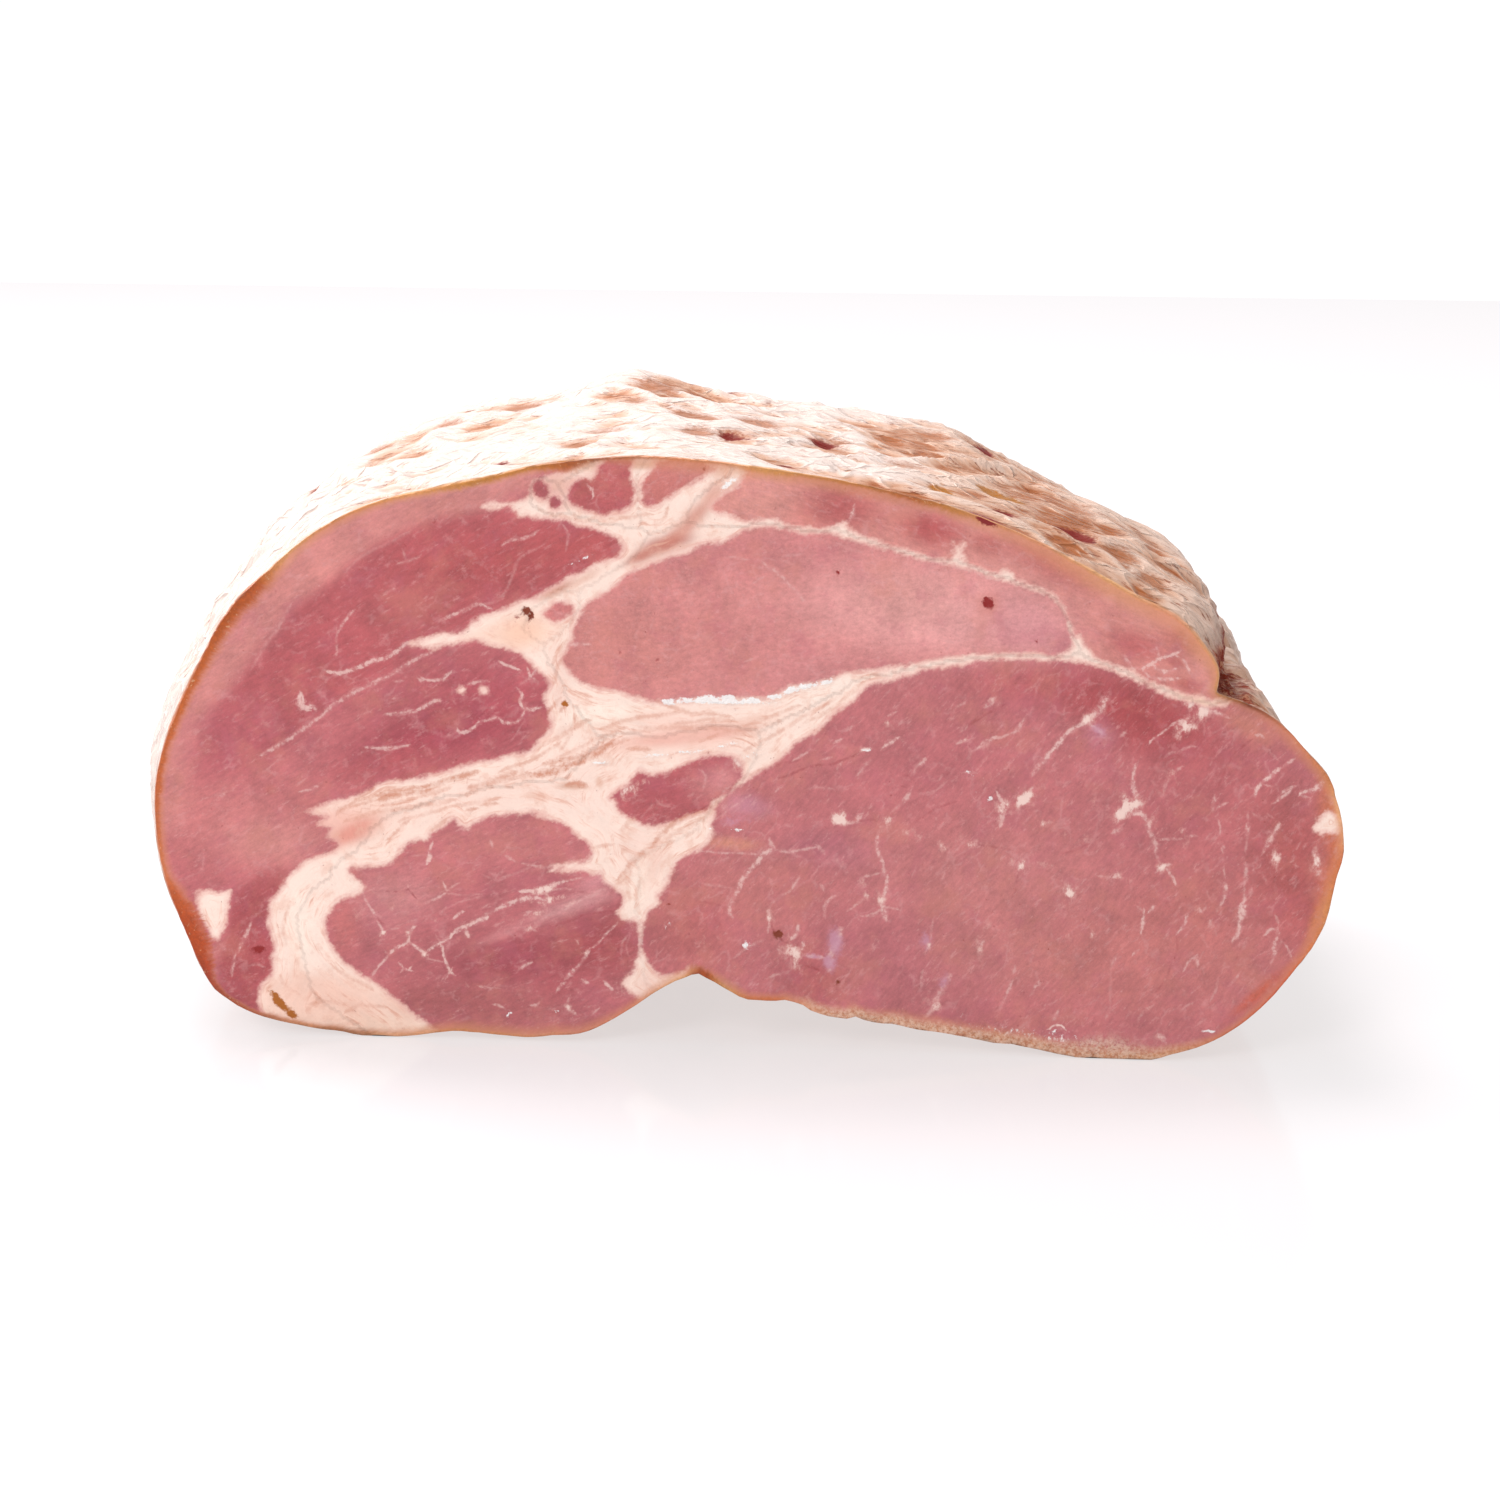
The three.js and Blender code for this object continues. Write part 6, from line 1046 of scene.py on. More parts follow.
def end_scale(y):
    e = np.clip((y - END_FROM) / (LENGTH - END_FROM), 0, 1)
    return (1 - END_TAPER * y / 100) * np.maximum(0, 1 - e**END_SQUARE) ** (1 / END_FULL)


def skin_point(deg, y, inset=0.0):
    """The bare skin in the object's frame, before the underside is cut flat."""
    scale = end_scale(y)
    r = outline_radius(deg, y) + swell(deg, y) - inset
    x = r * np.cos(np.radians(deg)) * scale - math.tan(math.radians(CUT_SLANT)) * y
    z = END_CENTRE + (CORE_HEIGHT + r * np.sin(np.radians(deg)) - END_CENTRE) * scale
    z = z - SETTLE * np.clip(1 - z / SETTLE_REACH, 0, 1.2)
    return np.stack(np.broadcast_arrays(x + FRAME_X, y + FRAME_Y, z), -1)


def directions(count):
    fine = np.linspace(-180, 180, 7201)
    r = outline_radius(fine)
    x, z = r * np.cos(np.radians(fine)), r * np.sin(np.radians(fine))
    step = np.hypot(np.diff(x), np.diff(z))
    arc = np.concatenate([[0], np.cumsum(step)])
    height = CORE_HEIGHT + (z[1:] + z[:-1]) / 2
    weight = np.where(height > 40, 1.0, np.where(height < 12, 0.62, 0.62 + 0.38 * (height - 12) / 28))
    weight = weight + 0.9 * np.exp(-((fine[1:] - 15) / 6) ** 2)
    length = np.concatenate([[0], np.cumsum(step * weight)])
    want = length[-1] * np.arange(count) / count
    deg = np.interp(want, length, fine)
    return deg, np.interp(deg, fine, arc), arc[-1]


def stations():
    fine = np.linspace(0, LENGTH, 4001)
    run = np.hypot(np.diff(fine), 78 * np.diff(end_scale(fine)))
    mid = (fine[1:] + fine[:-1]) / 2
    pitch = ROW_FRONT + (ROW_BACK - ROW_FRONT) * smooth(mid, 70, 110)
    count = np.concatenate([[0], np.cumsum(run / pitch)])
    n = int(count[-1])
    rows = np.interp(np.arange(1, n) * count[-1] / n, count, fine)
    return np.concatenate([[1.0], rows[rows > 1.9]])


DEG, ARC, ROUND = directions(AROUND)
ARC = np.where(DEG < -90, ARC + ROUND, ARC)  # the arc length runs from the middle of the underside
ROWS = stations()


# ================================================================ noise on many points
def many(f, pts):
    return np.fromiter((f(p) for p in map(Vector, pts.tolist())), float, len(pts))


def plain(pts, size, seed=0.0):
    return many(noise.noise, pts / size + seed)


def billow(pts, size, seed=0.0):
    """0 in narrow valleys, about 1 on the bulges between them."""
    return np.clip(np.abs(plain(pts, size, seed)) * 2.6, 0, 1)


def ridge(pts, size, seed=0.0):
    """1 on sharp crests, falling to 0 in the bowls between them."""
    return 1 - np.clip(np.abs(plain(pts, size, seed)) * 3.8, 0, 1)


def slanted(pts, degrees):
    """The points turned about the upright axis and drawn together along the slant, so that noise runs along it."""
    c, t = math.cos(math.radians(degrees)), math.sin(math.radians(degrees))
    return np.stack([(pts[:, 0] * c + pts[:, 1] * t) * 0.34, pts[:, 1] * c - pts[:, 0] * t, pts[:, 2] * 0.45], -1)


def net_cushion(arc, y):
    u = (arc + 3 * np.sin(y / 21 + 1) + 2 * np.sin(arc / 37)) / 28
    v = (y + 2.5 * np.sin(arc / 29 + 0.5) + 1.5 * np.sin(y / 17)) / 26
    q = np.abs(np.sin(math.pi * (u + v)) * np.sin(math.pi * (u - v)))
    return q**0.6


# ================================================================ the skin
def build_skin():
    deg = np.repeat(DEG[None], len(ROWS), 0)
    arc = np.repeat(ARC[None], len(ROWS), 0)
    y = np.repeat(ROWS[:, None], AROUND, 1)
    base = skin_point(deg, y)
    along = np.gradient(base, axis=0)
    around = (np.roll(base, -1, 1) - np.roll(base, 1, 1)) / 2
    normal = np.cross(around, along)
    normal /= np.linalg.norm(normal, axis=-1, keepdims=True) + 1e-9
    away = base - np.array([FRAME_X - math.tan(math.radians(CUT_SLANT)) * 73, 0.0, END_CENTRE])
    normal *= np.sign((normal * away).sum(-1).mean())
    flat = base.reshape(-1, 3)
    a, v = arc.ravel(), y.ravel()
    # two families of thin crests cross at a slant and close round lens-shaped bowls
    warp = np.stack([plain(flat, 30, 3.1), plain(flat, 30, 7.7), plain(flat, 30, 11.3)], -1)
    bent = flat + warp * 9.0
    one, two = slanted(bent, 25), slanted(bent, -27)
    big = np.maximum(ridge(one, 15, 1.7) ** 1.3, ridge(two, 15, 15.3) ** 1.3)
    mid = np.maximum(ridge(one, 8.0, 5.3) ** 1.5, ridge(two, 8.0, 25.9) ** 1.5)
    fine = ridge(slanted(flat, 12), 3.4, 9.1) ** 1.5
    net = 0.6 + (net_cushion(a, v) - 0.6) * (1 - smooth(v, 96, 128))
    lump = plain(flat, 17, 2.2)
    dome = smooth(v, 96, 140)
    height = 0.4 * (net - 0.6) + 1.80 * big + 0.50 * mid + 0.05 * fine + 0.9 * lump - 1.05
    # recess: how deep in the bowls a point lies; the finish paints shade there, tan to brown
    recess_shade = ((1 - big) * 0.62 + (1 - mid) * 0.30 - 0.35 * lump) * (1 - 0.22 * smooth(v, 70, 115))
    brown = np.zeros_like(a)
    dark = np.zeros_like(a)
    ochre = np.zeros_like(a)
    blood = np.zeros_like(a)
    pits = np.zeros_like(a)
    ripple = 1 + 0.8 * plain(flat, 3.1, 4.4) + 0.4 * plain(flat, 1.5, 9.4)
    calmer = np.zeros_like(a)  # no crest hides a mark
    for kind, at, sy, half_round, half_along, deep, much in SKIN_MARKS:
        at_arc = np.interp(at, DEG, ARC) if at > -90 else np.interp(at, DEG, ARC)
        q = ((a - at_arc) / (1.2 * half_round)) ** 2 + ((v - sy) / (1.2 * half_along)) ** 2
        calmer = np.maximum(calmer, np.exp(-q / 4))
        g = np.exp(-((q * ripple) ** 1.3))
        pits += deep * g
        if kind == "brown":
            brown = np.maximum(brown, much * g)
        elif kind == "dark":
            dark = np.maximum(dark, much * g)
            brown = np.maximum(brown, 0.8 * much * np.exp(-q / 2.6))
        elif kind == "ochre":
            ochre = np.maximum(ochre, much * g)
        else:
            blood = np.maximum(blood, much * g)
    # the charred fold in the right flank, right behind the cut
    fold_at = 14.6 + 5 * smooth(v, 25, 125)
    d = deg.ravel()
    char = np.exp(-(np.abs((d - fold_at - 1.9) / 4.7) ** 2.4)) * (1 - smooth(v, 34, 60))
    crumb = plain(flat, 2.6, 6.6) + 0.6 * plain(flat, 1.3, 8.8)
    height = height * (1 - 0.5 * char) * (1 - 0.85 * calmer) + char * (1.5 * crumb - 0.3)
    pits += 1.2 * np.exp(-(((d - fold_at + 0.8) / 1.3) ** 2)) * (1 - smooth(v, 40, 90))
    # calmer where the knife passed, and on the pressed underside
    near_cut = 0.16 + 0.84 * (1 - np.exp(-((v / 6.0) ** 1.6)))
    above_stand = smooth(flat[:, 2], 1.5, 13)
    rough_under = 0.35 * plain(flat, 4.5, 12.5) + 0.2 * plain(flat, 2.1, 13.5)
    lift = (height * (0.25 + 0.75 * above_stand) + rough_under * (1 - above_stand)) * near_cut - pits * near_cut**0.5
    lift = lift * (1 - 0.35 * dome)
    place = flat + normal.reshape(-1, 3) * lift[:, None]
    place[:, 2] = np.maximum(place[:, 2], 0.0)
    place[:, 1] = np.maximum(place[:, 1], FRAME_Y + 0.55)
    tone = np.clip(recess_shade, 0, 1.2)
    # browner: paler on the crown and left flank, painted light where the key light is strongest; browner on the right
    # flank, underside and far end
    return {
        "place": place, "deg": d, "arc": a, "y": v, "recess_shade": tone, "brown": brown, "dark": dark,
        "browner_and_painted_light": 0.06 + 0.10 * (1 - np.maximum(smooth(d, 45, 75), smooth(-d, 130, 170)))
        - 0.13 * np.maximum(smooth(d, 92, 122), smooth(-d, 130, 170)) - 0.16 * smooth(np.abs(d), 128, 160) + 0.16 * smooth(v, 86, 118),
        "ochre": ochre, "blood": blood, "char": np.clip(char * (0.75 + 0.5 * crumb), 0, 1), "lift": lift,
    }


# ================================================================ lines and areas of the cut
def rounded(points, closed, parts=4):
    """A smooth line through the points."""
    p = np.array(points, float)
    n = len(p)
    if closed:
        before, after, after2 = np.roll(p, 1, 0), np.roll(p, -1, 0), np.roll(p, -2, 0)
        start = p
    else:
        if n == 2:
            return p
        q = np.vstack([2 * p[0] - p[1], p, 2 * p[-1] - p[-2]])
        before, start, after, after2 = q[:-3], q[1:-2], q[2:-1], q[3:]
    out = []
    for i in range(parts):
        t = i / parts
        out.append(
            0.5 * (2 * start + (after - before) * t + (2 * before - 5 * start + 4 * after - after2) * t**2
                   + (3 * start - before - 3 * after + after2) * t**3)
        )
    line = np.stack(out, 1).reshape(-1, 2)
    return line if closed else np.vstack([line, p[-1]])


def area_distance(P, outline, reach=9.0):
    """Distance to a closed outline, above 0 inside it, cut off at reach."""
    line = rounded(outline, True, 3)
    out = np.full(len(P), -reach)
    low, high = line.min(0) - reach, line.max(0) + reach
    near = np.where(((P > low) & (P < high)).all(1))[0]
    p = P[near]
    best = np.full(len(p), 1e9)
    inside = np.zeros(len(p), bool)
    for a, b in zip(line, np.roll(line, -1, 0)):
        ab = b - a
        length = ab @ ab
        if length < 1e-9:
            continue
        t = np.clip(((p - a) @ ab) / length, 0, 1)
        off = p - a - t[:, None] * ab
        best = np.minimum(best, (off * off).sum(1))
        if a[1] != b[1]:
            crosses = (a[1] > p[:, 1]) != (b[1] > p[:, 1])
            at = a[0] + (p[:, 1] - a[1]) / (b[1] - a[1]) * ab[0]
            inside ^= crosses & (p[:, 0] < at)
    d = np.sqrt(best)
    out[near] = np.where(inside, np.minimum(d, reach), -np.minimum(d, reach))
    return out


def line_distance(p, line):
    """Distance to an open line, above 0 on its left, the share of its length, and how far past its ends."""
    best = np.full(len(p), 1e9)
    side = np.ones(len(p))
    share = np.zeros(len(p))
    past = np.zeros(len(p))
    steps = np.hypot(*np.diff(line, axis=0).T)
    total = steps.sum()
    run = 0.0
    for i, (a, b) in enumerate(zip(line[:-1], line[1:])):
        ab = b - a
        length = max(ab @ ab, 1e-9)
        t0 = ((p - a) @ ab) / length
        t = np.clip(t0, 0, 1)
        off = p - a - t[:, None] * ab
        q = (off * off).sum(1)
        near = q < best
        best[near] = q[near]
        side[near] = np.where(ab[0] * off[near, 1] - ab[1] * off[near, 0] >= 0, 1.0, -1.0)
        share[near] = (run + t[near] * steps[i]) / total
        over = np.zeros(len(p))
        if i == 0:
            over = np.maximum(over, -t0 * steps[i])
        if i == len(line) - 2:
            over = np.maximum(over, (t0 - 1) * steps[i])
        past[near] = np.maximum(over[near], 0)
        run += steps[i]
    return np.sqrt(best) * side, share, past, total


def vein_layers(P, lines, layers):
    """Signed distance, half width and strength of the nearest vein, on layers where no two veins meet."""
    out = [np.tile([9.0, 0.3, 0.0], (len(P), 1)) for _ in range(layers)]
    owner = [np.full(len(P), 9.0) for _ in range(layers)]
    kept = [[] for _ in range(layers)]
    for width, strength, points in lines:
        line = rounded(points, False, 4)
        room = []
        for group in kept:
            gap = 99.0
            for other in group:
                low, high = other.min(0) - 4, other.max(0) + 4
                if (line.max(0) < low).any() or (line.min(0) > high).any():
                    continue
                gap = min(gap, np.sqrt(((line[:, None] - other[None]) ** 2).sum(-1)).min())
            room.append(gap)
        layer = next((i for i, g in enumerate(room) if g > 2 * VEIN_REACH), int(np.argmax(room)))
        kept[layer].append(line)
        low, high = line.min(0) - VEIN_REACH * 1.5, line.max(0) + VEIN_REACH * 1.5
        near = np.where(((P > low) & (P < high)).all(1))[0]
        d, share, past, total = line_distance(P[near], line)
        taper_run = min(2.4, total * 0.4)
        taper = np.clip(np.minimum(share, 1 - share) * total / taper_run, 0, 1) ** 0.6
        ok = (np.abs(d) < np.minimum(owner[layer][near], VEIN_REACH)) & (past < 0.8)
        take = near[ok]
        owner[layer][take] = np.abs(d[ok])
        reach = np.clip(1.35 * (1 - np.abs(d[ok]) / VEIN_REACH), 0, 1) * np.clip(1 - past[ok] / 0.8, 0, 1)
        out[layer][take, 0] = d[ok]
        out[layer][take, 1] = width * 0.5 * (0.5 + 0.5 * taper[ok])
        out[layer][take, 2] = strength * reach
    return out


LIGHT, SHEEN = 1.125, 0.03  # the light on the cut, and the sheen over it


def display(rgb):
    """Screen colour to light."""
    c = np.asarray(rgb, float) / 255
    return np.where(c <= 0.04045, c / 12.92, ((c + 0.055) / 1.055) ** 2.4)


def paint(light):
    """The paint that gives this light in the studio: less the sheen on it, over the light that falls on it."""
    return np.clip((np.asarray(light, float) - SHEEN) / LIGHT, 0.004, 0.93)


def patch(P, x, z, half_x, half_z, degrees, power=1.4):
    c, s = math.cos(math.radians(degrees)), math.sin(math.radians(degrees))
    u = (P[:, 0] - x) * c + (P[:, 1] - z) * s
    w = -(P[:, 0] - x) * s + (P[:, 1] - z) * c
    return np.exp(-(((u / half_x) ** 2 + (w / half_z) ** 2) ** power) * 0.8)


# How the fibres of each muscle run, in degrees, and how long they look.
GRAIN = {
    "left_flank": (31, 3.2), "top_strip": (-18, 2.4), "island": (20, 1.5), "eye": (8, 1.6), "oval_a": (60, 1.5),
    "oval_b": (60, 1.5), "spiral": (10, 1.5), "snout": (20, 1.8), "right": (48, 2.6), "small_centre": (24, 2.4),
    "low_left": (24, 3.0),
}


def cut_fields(P):
    """Everything that the cut's finish needs, at the points P of the cut's plane."""
    f = {}
    wobble = np.stack([P[:, 0], P[:, 1], np.zeros(len(P))], -1)
    w1, w2 = plain(wobble, 3.1, 20.5), plain(wobble, 3.1, 31.5)
    Q = P + 0.30 * np.stack([w1, w2], -1)
    names = list(MUSCLES)
    each = np.stack([area_distance(Q, MUSCLES[k]) for k in names])
    which = each.argmax(0)
    lean = each.max(0)
    for k, outline in FAT_INSIDE.items():
        lean = np.minimum(lean, -area_distance(Q, outline))
    spots = {k: np.zeros(len(P)) for k in ("cream", "lilac", "painted_glint")}
    for kind, x, z, rx, rz, degrees, much in SPOTS:
        if kind == "fat" and min(rx, rz) > 1.9:
            t = math.radians(degrees)
            u = ((Q[:, 0] - x) * math.cos(t) + (Q[:, 1] - z) * math.sin(t)) / rx
            w = (-(Q[:, 0] - x) * math.sin(t) + (Q[:, 1] - z) * math.cos(t)) / rz
            lean = np.minimum(lean, (np.hypot(u, w) - 0.8) * min(rx, rz))
        else:
            kind = "cream" if kind == "fat" else kind
            spots[kind] = np.maximum(spots[kind], patch(Q, x, z, rx * 1.25, rz * 1.25, degrees, 0.8) * much)
    f["spots"] = np.stack([spots["cream"], spots["lilac"], spots["painted_glint"]], -1)
    f["lean"] = lean
    tone = display([MUSCLE_TONE[k] for k in names])[which]
    for k, (colour, much, edge, outline) in SOFT_AREAS.items():
        inside = smooth(area_distance(Q, outline), -edge, edge) * (which == names.index("left_flank"))
        tone = tone + (display(colour) - tone) * (much * inside)[:, None]
    # the patches: the meat's own tones, and painted light where the cut looks brighter, as on the eye's right
    for colour, x, z, rx, rz, degrees, much in LEAN_PATCHES:
        g = patch(Q, x, z, rx, rz, degrees) * much
        tone = tone + (display(colour) - tone) * g[:, None]
    f["lean_tone"] = paint(tone)
    fat = np.tile(display((252, 226, 213)), (len(P), 1))
    for colour, x, z, rx, rz, degrees, much in FAT_PATCHES:
        g = patch(Q, x, z, rx, rz, degrees) * much
        fat = fat + (display(colour) - fat) * g[:, None]
    f["fat_tone"] = paint(fat)
    # grain: distances along and across the fibres
    angle = np.radians(np.array([GRAIN[k][0] for k in names], float))[which]
    stretch = np.array([GRAIN[k][1] for k in names])[which]
    along = (P[:, 0] * np.cos(angle) + P[:, 1] * np.sin(angle)) / stretch
    across = -P[:, 0] * np.sin(angle) + P[:, 1] * np.cos(angle)
    f["grain"] = np.stack([along, across, 3.0 * which], -1)
    f["veins"] = vein_layers(Q, VEINS, VEIN_LAYERS)
    f["seams"] = vein_layers(Q, SEAMS, SEAM_LAYERS)
    f["threads"] = vein_layers(Q, THREADS, THREAD_LAYERS)
    f["bands"] = np.stack([P[:, 0] / 6, P[:, 1] / 6, lean / 1.0], -1)
    marks = {k: np.zeros(len(P)) for k in ("brown", "hole", "ochre", "halo", "wet_and_painted_highlight", "blood")}
    for kind, x, z, rx, rz, degrees, much in MARKS:
        g = patch(P, x, z, rx, rz, degrees, 1.6 if kind != "wet_and_painted_highlight" else 1.2) * much
        marks[kind] = np.maximum(marks[kind], g)
    f.update(marks)
    # the painted glints join the painted highlight of the wet ridges
    f["wet_and_painted_highlight"] = np.maximum(f["wet_and_painted_highlight"], spots["painted_glint"])
    # the edge
    from_centre = P - np.array([0.0, CORE_HEIGHT])
    deg = np.degrees(np.arctan2(from_centre[:, 1], from_centre[:, 0]))
    fine = np.linspace(-180, 180, 1441)
    ring = skin_point(fine, np.zeros_like(fine))
    ring = np.stack([ring[:, 0] - FRAME_X, np.maximum(ring[:, 2], 0)], -1)
    rim = area_distance(P, ring[:-1:3].tolist(), 12.0)
    keys = np.array([k[0] for k in RIM], float)
    f["rim"] = rim
    f["rim_width"] = np.interp(deg, keys, [k[1] for k in RIM])
    f["tan_width"] = np.interp(deg, keys, [k[2] for k in RIM])
    f["rim_strength"] = np.interp(deg, keys, [k[3] for k in RIM])
    colours = display([k[4] for k in RIM])
    f["rim_tone"] = (1.15, 0.98, 0.85) * paint(np.stack([np.interp(deg, keys, colours[:, i]) for i in range(3)], -1))
    f["edge_way"] = np.stack([np.interp(deg, DEG, ARC), rim, np.zeros(len(P))], -1)
    f["deg"] = deg
    # crumbly, granular meat above the lower right edge: 3 mm deep, 6 mm in one place
    deep = 2.6 + 3.4 * np.exp(-(((P[:, 0] - 68) / 7) ** 2))
    lower_right = smooth(deg, -76, -66) * (1 - smooth(deg, -34, -24))
    f["gritty"] = lower_right * (1 - smooth(rim, deep * 0.35, deep))
    return f


def cut_relief(P, f):
    """How far the cut stands out towards the viewer, in mm."""
    flat = np.stack([P[:, 0], P[:, 1], np.full(len(P), 3.3)], -1)
    lean = smooth(f["lean"], -0.5, 0.5)
    out = 0.30 * plain(flat, 23, 41.0) + 0.10 * plain(flat, 6, 42.0) + 0.035 * plain(flat, 1.9, 43.0)
    out += 0.16 * (lean - 0.5)  # the fat lies a little lower
    for d, half, strength in (layer.T for layer in f["veins"]):
        out -= 0.10 * strength * np.exp(-((d / 0.7) ** 2))
    for d, half, strength in (layer.T for layer in f["threads"]):
        out -= 0.16 * strength * np.exp(-((d / 0.55) ** 2))
    out -= 0.7 * f["hole"] + 0.25 * f["brown"] * (f["lean"] > 0.5)
    out += 0.35 * f["wet_and_painted_highlight"] * np.exp(-((f["lean"] / 0.8) ** 2))
    rough = smooth(f["deg"], -74, -60) * (1 - smooth(f["deg"], -36, -22)) * (1 - smooth(f["rim"], 1.5, 6.0))
    crumb = plain(flat, 2.3, 44.0) + 0.7 * plain(flat, 1.1, 45.0)
    out += rough * (0.50 * crumb - 0.15)
    left_low = smooth(f["deg"], -166, -158) * (1 - smooth(f["deg"], -146, -138)) * (1 - smooth(f["rim"], 1.0, 4.5))
    out += left_low * (0.4 * crumb - 0.2)
    out -= 0.35 * (1 - smooth(f["rim"], 0.0, 2.2))  # the edge falls away softly
    return out


def build_cut():
    deg = DEG
    ring = skin_point(deg, np.zeros_like(deg), EDGE)
    ring2 = np.stack([ring[:, 0] - FRAME_X, np.maximum(ring[:, 2], 0.0)], -1)
    fine = np.linspace(-180, 180, 2881)
    edge = skin_point(fine, np.zeros_like(fine), EDGE)
    ex, ez = edge[:, 0] - FRAME_X, np.maximum(edge[:, 2], 0.0) - CORE_HEIGHT
    angle = np.unwrap(np.arctan2(ez, ex))
    order = np.argsort(angle)
    low, high = ring2.min(0), ring2.max(0)
    rows = np.arange(low[1], high[1], FACE_STEP * math.sqrt(0.75))
    points = []
    rng = np.random.default_rng(7)
    for j, z in enumerate(rows):
        x = np.arange(low[0], high[0], FACE_STEP) + (FACE_STEP / 2 if j % 2 else 0)
        points.append(np.stack([x, np.full_like(x, z)], -1))
    P = np.vstack(points)
    P += rng.uniform(-0.04, 0.04, P.shape)
    a = np.arctan2(P[:, 1] - CORE_HEIGHT, P[:, 0])
    limit = np.interp(a, angle[order], np.hypot(ex, ez)[order], period=2 * math.pi)
    keep = np.hypot(P[:, 0], P[:, 1] - CORE_HEIGHT) < limit - 0.75 * FACE_STEP
    P = P[keep & (P[:, 1] > 0.3)]
    n = len(ring2)
    pts = np.vstack([ring2, P])
    verts, _, faces, _, _, _ = delaunay_2d_cdt(
        [Vector(p) for p in pts.tolist()], [(i, (i + 1) % n) for i in range(n)], [list(range(n))], 1, 1e-7
    )
    got = np.array([tuple(v) for v in verts])
    if len(got) != len(pts) or np.abs(got - pts).max() > 1e-3:
        print("cut: the triangulation moved", len(got), len(pts))
    return got, np.array(faces, int), n


def attribute(mesh, name, kind, values):
    layer = mesh.attributes.new(name, kind, "POINT")
    field = {"FLOAT": "value", "FLOAT_VECTOR": "vector", "FLOAT_COLOR": "color"}[kind]
    values = np.asarray(values, np.float32)
    if kind == "FLOAT_COLOR":
        values = np.concatenate([values, np.ones((len(values), 1), np.float32)], 1)
    layer.data.foreach_set(field, values.ravel())


